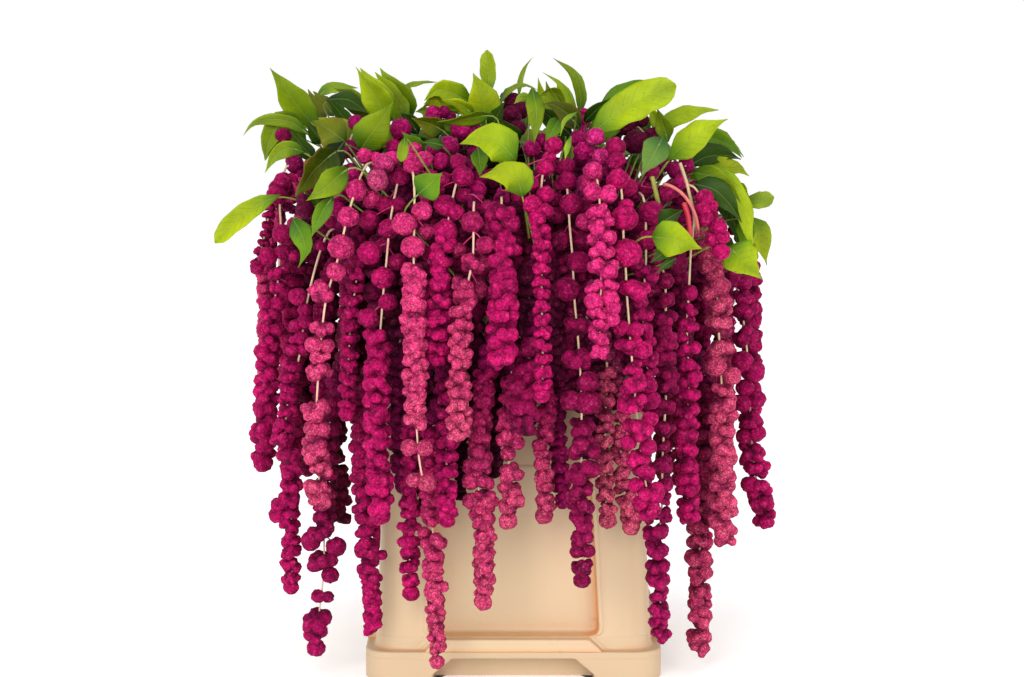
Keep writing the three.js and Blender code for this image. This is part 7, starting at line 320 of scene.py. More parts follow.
# smaller leaves that fill the crown, by stem
MORE = {
 0: [
  ("Q4","dark",20.3,20.0,(0,-1,0),[(29.3,-70.6,387.0),(12.3,-52.0,523.1),(6.7,-60.0,537.1)],[(6.7,-60.0,537.1),(-5.4,-65.0,549.4),(-15.5,-70.0,559.6)]),
 ],
 1: [
  ("M13b","mid",18.3,20.0,(0,-1,0),[(75.4,-63.9,391.6),(64.9,-42.0,547.0),(61.4,-50.0,561.0)],[(61.4,-50.0,561.0),(49.1,-55.0,581.2),(34.9,-60.0,587.4),(24.7,-65.0,579.4)]),
  ("M17","midg",26.3,12.0,(0,-1,0),[(75.4,-63.9,391.6),(75.4,-52.0,521.1),(75.4,-60.0,535.1)],[(75.4,-60.0,535.1),(91.2,-66.7,549.4),(108.9,-73.3,559.7),(126.6,-80.0,569.8)]),
  ("R2a","bright",14.1,10.0,(0,-1,0),[(75.4,-63.9,391.6),(129.4,-62.0,531.5),(147.4,-70.0,545.5)],[(147.4,-70.0,545.5),(141.9,-75.0,559.7),(135.5,-80.0,573.8)]),
  ("R2b","mid",17.9,12.0,(0,-1,0),[(75.4,-63.9,391.6),(134.0,-70.0,522.7),(153.5,-100.0,536.7)],[(153.5,-100.0,536.7),(149.1,-105.0,552.7),(141.7,-110.0,570.5)]),
  ("R2c","midg",18.2,20.0,(0,-1,0),[(75.4,-63.9,391.6),(121.9,-62.0,531.5),(137.3,-70.0,545.5)],[(137.3,-70.0,545.5),(127.5,-65.0,555.4),(119.6,-60.0,565.3)]),
  ("R8","mid",21.8,15.0,(0,-1,0),[(75.4,-63.9,391.6),(151.4,-82.0,493.5),(176.7,-112.0,507.5)],[(176.7,-112.0,507.5),(196.2,-116.3,503.8),(213.7,-120.7,493.2),(224.3,-125.0,477.7)]),
  ("R10","dark",20.0,10.0,(0,-1,0),[(75.4,-63.9,391.6),(170.4,-65.0,474.7),(202.1,-95.0,488.7)],[(202.1,-95.0,488.7),(214.3,-95.0,473.8),(221.5,-95.0,454.8),(224.7,-95.0,432.7)]),
  ("R17","dark",17.7,10.0,(0,-1,0),[(75.4,-63.9,391.6),(170.3,-95.0,435.1),(201.9,-125.0,449.1)],[(201.9,-125.0,449.1),(209.8,-127.5,435.4),(212.7,-130.0,415.8)]),
  ("R17b","midg",19.8,12.0,(0,-1,0),[(75.4,-63.9,391.6),(189.0,-80.0,449.8),(226.9,-110.0,463.8)],[(226.9,-110.0,463.8),(231.0,-111.0,448.0),(227.1,-112.0,428.1)]),
 ],
 4: [
  ("M5","light",12.5,15.0,(0,-1,0),[(-77.9,11.2,389.2),(-82.8,18.0,543.2),(-84.5,10.0,557.2)],[(-84.5,10.0,557.2),(-92.6,7.5,565.6),(-101.9,5.0,563.6)]),
  ("Y7","yel",31.3,14.0,(0,-1,0),[(-77.9,11.2,389.2),(-59.4,18.0,555.6),(-53.3,10.0,569.6)],[(-53.3,10.0,569.6),(-69.8,6.7,578.0),(-82.1,3.3,578.0),(-94.4,0.0,567.8)]),
 ],
 6: [
  ("R4","midg",22.8,20.0,(0,-1,0),[(86.2,18.6,396.7),(158.4,18.6,519.0),(182.5,-5.0,533.0)],[(182.5,-5.0,533.0),(205.1,-6.7,537.2),(225.7,-8.3,529.0),(236.0,-10.0,516.7)]),
 ],
 7: [
  ("M13c","dark",22.0,10.0,(0,-1,0),[(55.5,-85.8,387.0),(57.6,-85.8,528.4),(58.3,-95.0,542.4)],[(58.3,-95.0,542.4),(46.2,-100.0,554.5),(32.2,-105.0,564.5),(22.3,-110.0,572.5)]),
  ("M13e","oldark",21.8,12.0,(0,-1,0),[(55.5,-85.8,387.0),(63.2,-85.8,536.9),(65.8,-110.0,550.9)],[(65.8,-110.0,550.9),(51.8,-115.0,566.7),(37.9,-120.0,574.7),(28.0,-125.0,574.8)]),
  ("M15","light",4.9,10.0,(0,-1,0),[(55.5,-85.8,387.0),(60.3,-110.0,553.4),(62.0,-140.0,567.4)],[(62.0,-140.0,567.4),(49.2,-145.0,559.8),(45.2,-150.0,543.5)]),
  ("R20","dark",13.3,10.0,(0,-1,0),[(55.5,-85.8,387.0),(126.8,-184.0,428.6),(150.6,-214.0,442.6)],[(150.6,-214.0,442.6),(141.0,-216.0,435.2),(129.6,-218.0,426.8)]),
  ("R20b","dark",9.5,10.0,(0,-1,0),[(55.5,-85.8,387.0),(129.9,-182.0,417.0),(154.6,-212.0,431.0)],[(154.6,-212.0,431.0),(145.1,-213.0,425.4),(134.6,-214.0,415.9)]),
  ("R20c","dark",15.1,12.0,(0,-1,0),[(55.5,-85.8,387.0),(136.6,-186.0,436.4),(163.7,-216.0,450.4)],[(163.7,-216.0,450.4),(150.1,-219.0,456.3),(134.8,-222.0,452.8)]),
  ("Y25","bright",35.5,10.0,(0,-1,0),[(55.5,-85.8,387.0),(70.3,-95.0,530.5),(75.2,-125.0,544.5)],[(75.2,-125.0,544.5),(94.6,-130.0,561.3),(123.6,-135.0,578.9),(158.2,-140.0,593.6)]),
 ],
 8: [
  ("M18","dark",14.3,10.0,(0,-1,0),[(84.3,-28.5,387.0),(75.0,-28.5,540.6),(71.9,-40.0,554.6)],[(71.9,-40.0,554.6),(85.7,-50.0,569.1),(103.4,-60.0,581.3)]),
  ("R5","dark",18.3,25.0,(0,-1,0),[(84.3,-28.5,387.0),(151.0,-28.5,498.5),(173.2,-50.0,512.5)],[(173.2,-50.0,512.5),(193.2,-53.3,524.8),(213.1,-56.7,526.9),(230.1,-60.0,517.0)]),
  ("R7","yel",24.3,12.0,(0,-1,0),[(84.3,-28.5,387.0),(166.9,-35.0,491.1),(194.4,-65.0,505.1)],[(194.4,-65.0,505.1),(210.2,-68.3,509.3),(226.0,-71.7,509.5),(236.9,-75.0,501.6)]),
  ("R10b","midg",20.3,10.0,(0,-1,0),[(84.3,-28.5,387.0),(182.5,-30.0,476.7),(215.2,-60.0,490.7)],[(215.2,-60.0,490.7),(229.5,-60.0,478.6),(235.8,-60.0,462.3),(238.1,-60.0,440.0)]),
  ("R12","bright",9.2,15.0,(0,-1,0),[(84.3,-28.5,387.0),(191.5,-28.5,477.6),(227.2,-40.0,491.6)],[(227.2,-40.0,491.6),(234.2,-42.5,487.7),(239.1,-45.0,477.6)]),
 ],
 9: [
  ("X8","vdark",25.6,10.0,(0,-1,0),[(-81.1,-62.7,387.0),(-144.9,-100.0,523.9),(-166.1,-130.0,537.9)],[(-166.1,-130.0,537.9),(-175.5,-136.7,525.4),(-183.9,-143.3,513.1),(-195.2,-150.0,497.8)]),
  ("X12","mid",36.7,-8.0,(0,-1,0),[(-81.1,-62.7,387.0),(-134.0,-82.0,515.3),(-151.6,-112.0,529.3)],[(-151.6,-112.0,529.3),(-143.3,-117.3,541.3),(-131.1,-122.7,558.1),(-117.9,-128.0,576.8)]),
  ("Q3","dark",18.2,20.0,(0,-1,0),[(-81.1,-62.7,387.0),(-92.5,-52.0,529.2),(-96.3,-60.0,543.2)],[(-96.3,-60.0,543.2),(-104.1,-65.0,557.4),(-113.9,-70.0,565.6)]),
  ("Q5","midg",15.9,15.0,(0,-1,0),[(-81.1,-62.7,387.0),(-164.2,-80.0,459.8),(-191.9,-110.0,473.8)],[(-191.9,-110.0,473.8),(-197.3,-115.0,484.0),(-208.7,-120.0,490.2)]),
  ("Y5","yel",21.9,10.0,(0,-1,0),[(-81.1,-62.7,387.0),(-194.9,-66.0,469.8),(-232.8,-96.0,483.8)],[(-232.8,-96.0,483.8),(-252.7,-98.0,475.9),(-274.6,-100.0,460.1),(-297.6,-102.0,436.3)]),
 ],
 10: [
  ("Q1","dark",11.5,10.0,(0,-1,0),[(-33.5,-96.9,387.0),(-58.0,-166.0,522.6),(-66.2,-196.0,536.6)],[(-66.2,-196.0,536.6),(-75.6,-198.0,539.6),(-87.0,-200.0,540.6)]),
 ],
 11: [
  ("M13d","midg",16.8,10.0,(0,-1,0),[(24.0,-99.7,387.0),(40.4,-99.7,546.9),(45.9,-115.0,560.9)],[(45.9,-115.0,560.9),(38.0,-120.0,549.2),(31.0,-125.0,533.7)]),
  ("M14","light",10.0,10.0,(0,-1,0),[(24.0,-99.7,387.0),(19.9,-82.0,564.0),(18.5,-90.0,578.0)],[(18.5,-90.0,578.0),(8.5,-92.5,582.0),(0.6,-95.0,574.1)]),
  ("M16","light",6.7,10.0,(0,-1,0),[(24.0,-99.7,387.0),(47.0,-168.0,532.2),(54.7,-198.0,546.2)],[(54.7,-198.0,546.2),(50.9,-201.5,535.0),(48.9,-205.0,523.7)]),
 ],
 12: [
  ("X1","mid",20.5,12.0,(0,-1,0),[(-99.9,-8.5,397.9),(-199.2,-8.5,542.4),(-232.3,-30.0,556.4)],[(-232.3,-30.0,556.4),(-244.1,-35.0,546.4),(-251.0,-40.0,530.3),(-252.7,-45.0,515.3)]),
  ("X3","dark",17.6,15.0,(0,-1,0),[(-99.9,-8.5,397.9),(-148.4,3.0,529.3),(-164.6,-5.0,543.3)],[(-164.6,-5.0,543.3),(-173.4,-10.0,557.8),(-182.2,-15.0,569.2),(-192.0,-20.0,579.5)]),
  ("X7","dark",17.4,25.0,(0,-1,0),[(-99.9,-8.5,397.9),(-168.1,-10.0,518.3),(-190.9,-40.0,532.3)],[(-190.9,-40.0,532.3),(-201.5,-45.0,543.7),(-210.1,-50.0,555.9)]),
  ("X10","dark",17.3,20.0,(0,-1,0),[(-99.9,-8.5,397.9),(-177.1,-15.0,502.3),(-202.8,-45.0,516.3)],[(-202.8,-45.0,516.3),(-214.2,-52.5,530.8),(-225.5,-60.0,547.2)]),
  ("X10b","mid",18.5,20.0,(0,-1,0),[(-99.9,-8.5,397.9),(-184.7,-8.5,521.6),(-212.9,-20.0,535.6)],[(-212.9,-20.0,535.6),(-226.7,-25.0,542.9),(-238.5,-30.0,546.2)]),
  ("Y6","bright",32.8,12.0,(0,-1,0),[(-99.9,-8.5,397.9),(-117.9,-8.5,546.4),(-124.0,-30.0,560.4)],[(-124.0,-30.0,560.4),(-132.2,-26.7,576.6),(-144.5,-23.3,592.8),(-156.9,-20.0,609.1)]),
  ("Y8","mid",40.5,12.0,(0,-1,0),[(-99.9,-8.5,397.9),(-147.3,-30.0,511.0),(-163.1,-60.0,525.0)],[(-163.1,-60.0,525.0),(-172.8,-63.3,541.3),(-188.5,-66.7,555.5),(-196.3,-70.0,559.6)]),
 ],
 16: [
  ("X3b","oldark",21.1,20.0,(0,-1,0),[(-96.7,34.0,409.9),(-129.3,48.0,536.1),(-140.2,40.0,550.1)],[(-140.2,40.0,550.1),(-158.8,36.7,566.9),(-176.3,33.3,574.3),(-191.7,30.0,578.5)]),
  ("X5","olive",21.1,10.0,(0,-1,0),[(-96.7,34.0,409.9),(-165.8,53.0,544.3),(-188.8,45.0,558.3)],[(-188.8,45.0,558.3),(-198.4,47.5,571.9),(-211.1,50.0,584.4)]),
  ("X13","bright",33.5,12.0,(0,-1,0),[(-96.7,34.0,409.9),(-106.6,34.0,534.6),(-109.9,20.0,548.6)],[(-109.9,20.0,548.6),(-120.0,16.7,573.6),(-130.1,13.3,590.2),(-143.3,10.0,604.7)]),
  ("X14","midg",25.3,12.0,(0,-1,0),[(-96.7,34.0,409.9),(-111.8,43.0,538.3),(-116.8,35.0,552.3)],[(-116.8,35.0,552.3),(-127.1,33.3,562.8),(-135.4,31.7,571.2),(-147.8,30.0,579.6)]),
  ("X15","mid",21.2,20.0,(0,-1,0),[(-96.7,34.0,409.9),(-140.7,58.0,548.4),(-155.4,50.0,562.4)],[(-155.4,50.0,562.4),(-172.5,55.0,579.1),(-189.7,60.0,587.4)]),
 ],
 19: [
  ("M13a","bright",12.4,10.0,(0,-1,0),[(48.4,-1.8,409.0),(36.4,-1.8,544.1),(32.4,-20.0,558.1)],[(32.4,-20.0,558.1),(29.3,-25.0,578.6),(25.1,-30.0,600.0)]),
 ],
 21: [
  ("M2","yel",15.2,12.0,(0,-1,0),[(-35.1,-67.0,387.0),(-38.6,-52.0,549.3),(-39.7,-60.0,563.3)],[(-39.7,-60.0,563.3),(-55.7,-65.0,575.4),(-71.7,-70.0,577.6)]),
  ("M8","dark",16.3,10.0,(0,-1,0),[(-35.1,-67.0,387.0),(-26.6,-37.0,532.7),(-23.7,-45.0,546.7)],[(-23.7,-45.0,546.7),(-16.6,-52.5,561.1),(-8.5,-60.0,576.3)]),
 ],
 22: [
  ("M1","bright",24.7,15.0,(0,-1,0),[(-22.3,4.0,427.0),(-40.5,4.0,552.3),(-46.5,-20.0,566.3)],[(-46.5,-20.0,566.3),(-62.7,-25.0,578.6),(-76.9,-30.0,584.8),(-91.0,-35.0,572.7)]),
  ("M9","olive",23.0,20.0,(0,-1,0),[(-22.3,4.0,427.0),(-31.6,28.0,542.9),(-34.8,20.0,556.9)],[(-34.8,20.0,556.9),(-49.4,22.5,575.6),(-64.0,25.0,585.9)]),
 ],
 23: [
  ("M6","midg",9.0,20.0,(0,-1,0),[(-59.9,-83.3,387.0),(-56.5,-77.0,532.1),(-55.3,-85.0,546.1)],[(-55.3,-85.0,546.1),(-67.2,-90.0,553.2),(-78.9,-95.0,556.3)]),
  ("Q2","midg",17.9,10.0,(0,-1,0),[(-59.9,-83.3,387.0),(-81.6,-83.3,514.8),(-88.8,-100.0,528.8)],[(-88.8,-100.0,528.8),(-100.5,-105.0,536.9),(-110.1,-110.0,546.9)]),
 ],
}
# bare stalks seen among the tassels, by stem: colour, radius, points
SPRIGS = {1: [("cream",1.7,[(162.1,-150.0,518.3),(168.0,-150.0,501.7),(174.1,-150.0,478.3),(179.2,-150.0,454.9),(179.5,-146.9,454.2),(179.9,-141.4,453.0),(180.6,-132.8,451.0),(181.3,-124.0,449.0)])], 7: [("pale",1.6,[(149.6,-104.0,491.3),(147.8,-131.9,494.2),(146.1,-158.9,497.1),(145.0,-176.2,498.9),(144.3,-186.0,499.9),(152.0,-186.0,498.0),(161.7,-186.0,491.3),(169.4,-186.0,481.7),(175.3,-186.0,469.2),(177.3,-186.0,457.6),(177.9,-178.8,456.6),(178.9,-166.2,454.8),(180.5,-146.4,452.0),(182.1,-126.0,449.1)]), ("redst",2.6,[(174.3,-126.0,443.2),(172.8,-145.7,446.1),(171.3,-164.9,448.9),(170.4,-177.0,450.7),(169.9,-184.0,451.7),(168.8,-184.0,463.3),(166.8,-184.0,472.9),(163.8,-184.0,481.5)]), ("gyel",2.4,[(134.0,-165.0,505.5),(137.0,-165.0,494.8),(140.0,-165.0,481.3),(140.4,-159.1,480.4),(141.0,-148.8,478.9),(142.0,-132.7,476.6),(143.1,-116.0,474.1)])]}


# ---- small mesh tools -----------------------------------------------------
def lin(c):
    """0-255 sRGB to linear."""
    c = np.asarray(c, float) / 255.0
    return np.where(c <= 0.04045, c / 12.92, ((c + 0.055) / 1.055) ** 2.4)


class Soup:
    """Collects vertices, faces, colours and a second vector for one piece."""

    def __init__(self):
        self.v, self.c, self.b, self.f, self.m = [], [], [], [], []
        self.n = 0

    def add(self, verts, faces, colour, mat=0, blade=None):
        verts = np.asarray(verts, float)
        k = len(verts)
        self.v.append(verts)
        colour = np.asarray(colour, float)
        self.c.append(np.broadcast_to(colour, (k, 3)) if colour.ndim == 1 else colour)
        self.b.append(np.zeros((k, 3)) if blade is None else np.asarray(blade, float))
        for quad in faces:
            quad = np.asarray(quad, np.int64)
            self.f.append(quad + self.n)
            self.m.append(np.full(len(quad), mat))
        self.n += k

    def make(self, name, materials):
        me = bpy.data.meshes.new(name)
        v = np.concatenate(self.v) * MM
        c = np.concatenate(self.c)
        b = np.concatenate(self.b)
        loops = np.concatenate([f.ravel() for f in self.f])
        sizes = np.concatenate([np.full(len(f), f.shape[1]) for f in self.f])
        starts = np.r_[0, np.cumsum(sizes)[:-1]]
        me.vertices.add(len(v))
        me.vertices.foreach_set("co", v.astype(np.float32).ravel())
        me.loops.add(len(loops))
        me.loops.foreach_set("vertex_index", loops.astype(np.int32))
        me.polygons.add(len(sizes))
        me.polygons.foreach_set("loop_start", starts.astype(np.int32))
        me.polygons.foreach_set("material_index", np.concatenate(self.m).astype(np.int32))
        me.polygons.foreach_set("use_smooth", np.ones(len(sizes), bool))
        me.update(calc_edges=True)
        me.validate()
        a = me.attributes.new("tint", "FLOAT_COLOR", "POINT")
        a.data.foreach_set("color", np.c_[c, np.ones(len(c))].astype(np.float32).ravel())
        a = me.attributes.new("blade", "FLOAT_VECTOR", "POINT")
        a.data.foreach_set("vector", b.astype(np.float32).ravel())
        for m in materials:
            me.materials.append(m)
        ob = bpy.data.objects.new(name, me)
        bpy.context.scene.collection.objects.link(ob)
        return ob


def geodesic(nu):
    """Sphere of 20 nu^2 even triangles, as unit directions and faces."""
    p = (1 + 5 ** 0.5) / 2
    base = np.array([(-1, p, 0), (1, p, 0), (-1, -p, 0), (1, -p, 0), (0, -1, p), (0, 1, p), (0, -1, -p), (0, 1, -p), (p, 0, -1), (p, 0, 1), (-p, 0, -1), (-p, 0, 1)], float)
    base /= np.linalg.norm(base[0])
    tri = [(0, 11, 5), (0, 5, 1), (0, 1, 7), (0, 7, 10), (0, 10, 11), (1, 5, 9), (5, 11, 4), (11, 10, 2), (10, 7, 6), (7, 1, 8), (3, 9, 4), (3, 4, 2), (3, 2, 6), (3, 6, 8), (3, 8, 9), (4, 9, 5), (2, 4, 11), (6, 2, 10), (8, 6, 7), (9, 8, 1)]
    verts, index, faces = [], {}, []
    for a, b, c in tri:
        grid = {}
        for i in range(nu + 1):
            for j in range(nu + 1 - i):
                q = (base[a] * (nu - i - j) + base[b] * i + base[c] * j) / nu
                q = q / np.linalg.norm(q)
                key = tuple(np.round(q, 5))
                if key not in index:
                    index[key] = len(verts)
                    verts.append(q)
                grid[i, j] = index[key]
        for i in range(nu):
            for j in range(nu - i):
                faces.append((grid[i, j], grid[i + 1, j], grid[i, j + 1]))
                if i + j < nu - 1:
                    faces.append((grid[i + 1, j], grid[i + 1, j + 1], grid[i, j + 1]))
    return np.array(verts), np.array(faces)


GEO = {nu: geodesic(nu) for nu in (2, 3, 4, 5, 6)}


def spin(rng):
    """A random rotation matrix."""
    q = rng.normal(size=4)
    q /= np.linalg.norm(q)
    w, x, y, z = q
    return np.array([[1 - 2 * (y * y + z * z), 2 * (x * y - z * w), 2 * (x * z + y * w)], [2 * (x * y + z * w), 1 - 2 * (x * x + z * z), 2 * (y * z - x * w)], [2 * (x * z - y * w), 2 * (y * z + x * w), 1 - 2 * (x * x + y * y)]])


def frames(path):
    """Tangent and two cross directions along a path."""
    t = np.gradient(path, axis=0)
    t /= np.linalg.norm(t, axis=1)[:, None] + 1e-12
    a = np.cross(t[0], [0.3, 0.9, 0.2])
    a /= np.linalg.norm(a)
    side = []
    for k in range(len(path)):
        a = a - t[k] * (a @ t[k])
        a /= np.linalg.norm(a) + 1e-12
        side.append(a.copy())
    side = np.array(side)
    return t, side, np.cross(t, side)


def even(path, step):
    """The path at even steps, rounded between its points."""
    path = np.asarray(path, float)
    keep = np.r_[True, np.linalg.norm(np.diff(path, axis=0), axis=1) > 1e-6]
    path = path[keep]
    if len(path) < 2:
        path = np.vstack([path, path + [0, 0, -1.0]])
    d = np.r_[0, np.cumsum(np.linalg.norm(np.diff(path, axis=0), axis=1))]
    n = max(2, int(round(d[-1] / step)) + 1)
    s = np.linspace(0, d[-1], n)
    q = np.stack([np.interp(s, d, path[:, k]) for k in range(3)], 1)
    for _ in range(3):
        q[1:-1] = 0.25 * q[:-2] + 0.5 * q[1:-1] + 0.25 * q[2:]
    return q


def tube(soup, path, radius, colour, sides=7, mat=0, ribs=0.0, close=True):
    """A closed tube along a path, with a radius for each point."""
    n = len(path)
    radius = np.broadcast_to(np.asarray(radius, float), (n,))
    t, a, b = frames(path)
    ang = np.arange(sides) / sides * 2 * math.pi
    wob = 1 + ribs * np.cos(np.arange(sides) * math.pi)
    ring = (np.cos(ang) * wob)[None, :, None] * a[:, None] + (np.sin(ang) * wob)[None, :, None] * b[:, None]
    v = path[:, None] + ring * radius[:, None, None]
    v = v.reshape(-1, 3)
    k = np.arange(n - 1)[:, None] * sides
    j = np.arange(sides)[None]
    j2 = (j + 1) % sides
    quads = np.stack([k + j, k + j2, k + sides + j2, k + sides + j], -1).reshape(-1, 4)
    caps = []
    if close:
        v = np.vstack([v, path[0] - t[0] * radius[0] * 0.35, path[-1] + t[-1] * radius[-1] * 0.35])
        c0, c1 = n * sides, n * sides + 1
        j = np.arange(sides)
        j2 = (j + 1) % sides
        caps = np.vstack([np.stack([j2, j, np.full(sides, c0)], -1), np.stack([(n - 1) * sides + j, (n - 1) * sides + j2, np.full(sides, c1)], -1)])
    col = np.asarray(colour, float)
    if col.ndim == 2:
        col = np.vstack([np.repeat(col, sides, axis=0), col[:1], col[-1:]]) if close else np.repeat(col, sides, axis=0)
    soup.add(v, [quads, caps] if close else [quads], col, mat)


# ---- beads: clusters of florets -------------------------------------------
def cluster(soup, centre, axis, r, tier, colour, rng, nu, out):
    """One closed pompom. A tier is a ring of round lobes about the axis; a ball is one round lump."""
    dirs, faces = GEO[nu]
    rot = spin(rng)
    d = dirs @ rot.T
    axis = axis / (np.linalg.norm(axis) + 1e-9)
    if tier:
        slim = r < 11.6
        axis = axis + rng.normal(0, 0.05 if slim else 0.12, 3)
        axis /= np.linalg.norm(axis)
    u = np.cross(axis, [0.31, 0.87, 0.38])
    u /= np.linalg.norm(u)
    w = np.cross(axis, u)
    grain = rng.uniform(-1, 1, len(d))
    if tier:
        fine = nu > 4
        cen, rad = [], []
        n = 7 if nu == 4 and slim else int(rng.integers(5, 8)) if fine or nu == 4 else int(rng.integers(3, 6)) if r > 8 else 3
        a0 = rng.uniform(0, 6.28)
        for k in range(n):
            a = a0 + k / n * 6.283 + rng.uniform(-0.3, 0.3)
            rho = r * (rng.uniform(0.36, 0.52) if fine else rng.uniform(0.38, 0.47) if nu == 4 and slim else rng.uniform(0.4, 0.52) if nu == 4 else rng.uniform(0.44, 0.58))
            dist = r * rng.uniform(0.9, 1.1) - rho
            up = rng.uniform(-0.38, 0.38) * r
            cen.append((u * math.cos(a) + w * math.sin(a)) * dist + axis * up)
            rad.append(rho)
        for k in range(2):
            a = rng.uniform(0, 6.28)
            up = (0.34 if k else -0.34) * r
            cen.append((u * math.cos(a) + w * math.sin(a)) * r * 0.36 + axis * up)
            rad.append(r * rng.uniform(0.34, 0.44))
        cen.append(np.zeros(3))
        rad.append(r * 0.52)
        cen, rad = np.array(cen), np.array(rad)
        dc = d @ cen.T
        disc = dc ** 2 - (cen ** 2).sum(1) + rad ** 2
        t = np.where(disc > 0, dc + np.sqrt(np.maximum(disc, 0)), 0)
        reach = np.maximum(t.max(1), r * 0.34)
        two = np.sort(t, axis=1)[:, -2:]
        crease = 1 - np.clip((two[:, 1] - two[:, 0]) / (0.13 * r), 0, 1)
        shape = np.clip((reach / r - 0.52) / 0.38, 0, 1)
        # the hollow between one tier and the next lies in shade
        high = np.abs(d @ axis) * reach / r
        shape = shape * (1 - (0.35 if slim else 0.55) * np.clip((high - 0.3) / 0.4, 0, 1))
    else:
        # nearly round, a little flattened along the axis, with a few soft dimples
        reach = np.full(len(d), r)
        crease = np.zeros(len(d))
        for _ in range(8 if nu > 3 else 3):
            e = rng.normal(size=3)
            e /= np.linalg.norm(e)
            dip = np.exp(-((1 - d @ e) / rng.uniform(0.02, 0.07)) ** 2)
            reach = reach * (1 - 0.09 * dip)
            crease = np.maximum(crease, dip * 0.6)
        reach = reach * (1 - 0.07 * (d @ axis) ** 2)
        shape = np.full(len(d), 0.78)
    reach = reach * (1 + (0.055 if tier or nu < 4 else 0.075) * grain)
    v = centre + d * reach[:, None]
    # painted shade: the side turned into the bunch is darker
    turn = 0.83 + 0.17 * np.clip(1.2 * (d @ out) + 0.3, -1, 1)
    # painted shade and light: lobe tips lighter; the inner parts of a tier, the creases between lobes and a ball's
    # dimples darker; grain adds random tone
    tone = (0.42 + 0.62 * shape + 0.18 * grain) * (1 - 0.45 * crease) * turn
    jit = rng.uniform(0.84, 1.12)
    tone = np.clip(tone * jit, 0.05, 1.3)[:, None]
    c = colour[None] * tone ** [1.0, 1.25, 0.92]
    # bleached floret tips
    pale = np.clip((grain - 0.62) / 0.38, 0, 1)[:, None] * 0.34 * shape[:, None]
    c = c * (1 - pale) + (np.array([0.62, 0.10, 0.24]) * 0.6 + colour * 0.8) * pale
    soup.add(v, [faces], np.clip(c, 0, 1))


# seven shades of the bloom, and the two that each kind of tassel fades between, from its top to its tip
SHADES = {
    "plum": (108, 8, 52), "wine": (142, 8, 72), "crimson": (174, 10, 90), "cerise": (198, 14, 100), "pink": (230, 42, 124),
    "rose": (214, 64, 112), "blush": (214, 72, 110),
}
# the vdark and dark kinds went to tassels hanging deep in the bunch: their darkness is partly dye, partly painted shade
BLOOM = {
    "vdark": ("plum", "plum"), "dark": ("wine", "crimson"), "dmag": ("crimson", "crimson"), "dcrim": ("crimson", "cerise"),
    "crimd": ("wine", "cerise"), "red": ("crimson", "wine"), "crim": ("crimson", "cerise"), "mag": ("crimson", "cerise"),
    "bright": ("cerise", "cerise"), "brightm": ("cerise", "cerise"), "pink": ("pink", "rose"), "pinkb": ("pink", "pink"),
    "pinkc": ("cerise", "cerise"), "palep": ("rose", "rose"), "dusty": ("crimson", "rose"), "grey": ("rose", "blush"),
}
PALE_TIPS = ("T12", "T17", "T20", "T29")
COBS = ("T8", "T9", "T12", "T14", "T15", "T20")
RACHIS = lin((212, 184, 146))
RACHIS_PINK = lin((222, 150, 160))
AXIS_GREEN = lin((158, 168, 88))
TIER_GROW, BALL_GROW = 1.13, 1.06
SPIKES = 2


def beads_along(path, r, rng, begin, end, dense, tip):
    """Bead places for a stretch of axis: (tier?, centre, radius, tone)."""
    d = np.r_[0, np.cumsum(np.linalg.norm(np.diff(path, axis=0), axis=1))]
    total = d[-1]
    at = lambda q: np.array([np.interp(q, d, path[:, i]) for i in range(3)])
    out = []
    pos = begin
    while pos < total - end:
        f = pos / max(total, 1e-6)
        loose = (not dense) or f < 0.22
        rr = r * (rng.uniform(0.74, 0.98) if loose else rng.uniform(0.9, 1.06))
        if tip and f > 0.9:
            rr *= 0.85
        p = at(pos)
        if loose and rng.uniform() < 0.6:
            p = p + rng.uniform(-1, 1, 3) * [1, 1, 0.4] * r * 0.42
            out.append((0, p, rr, 0.0))
        else:
            out.append((1, p, rr, 0.0))
        pos += rr * (rng.uniform(1.25, 1.6) if loose else rng.uniform(1.12, 1.4) if r > 11 else rng.uniform(0.86, 1.04))
    if tip:
        out.append((0, at(total - r * 0.3), r * 0.74, 0.0))
    return out


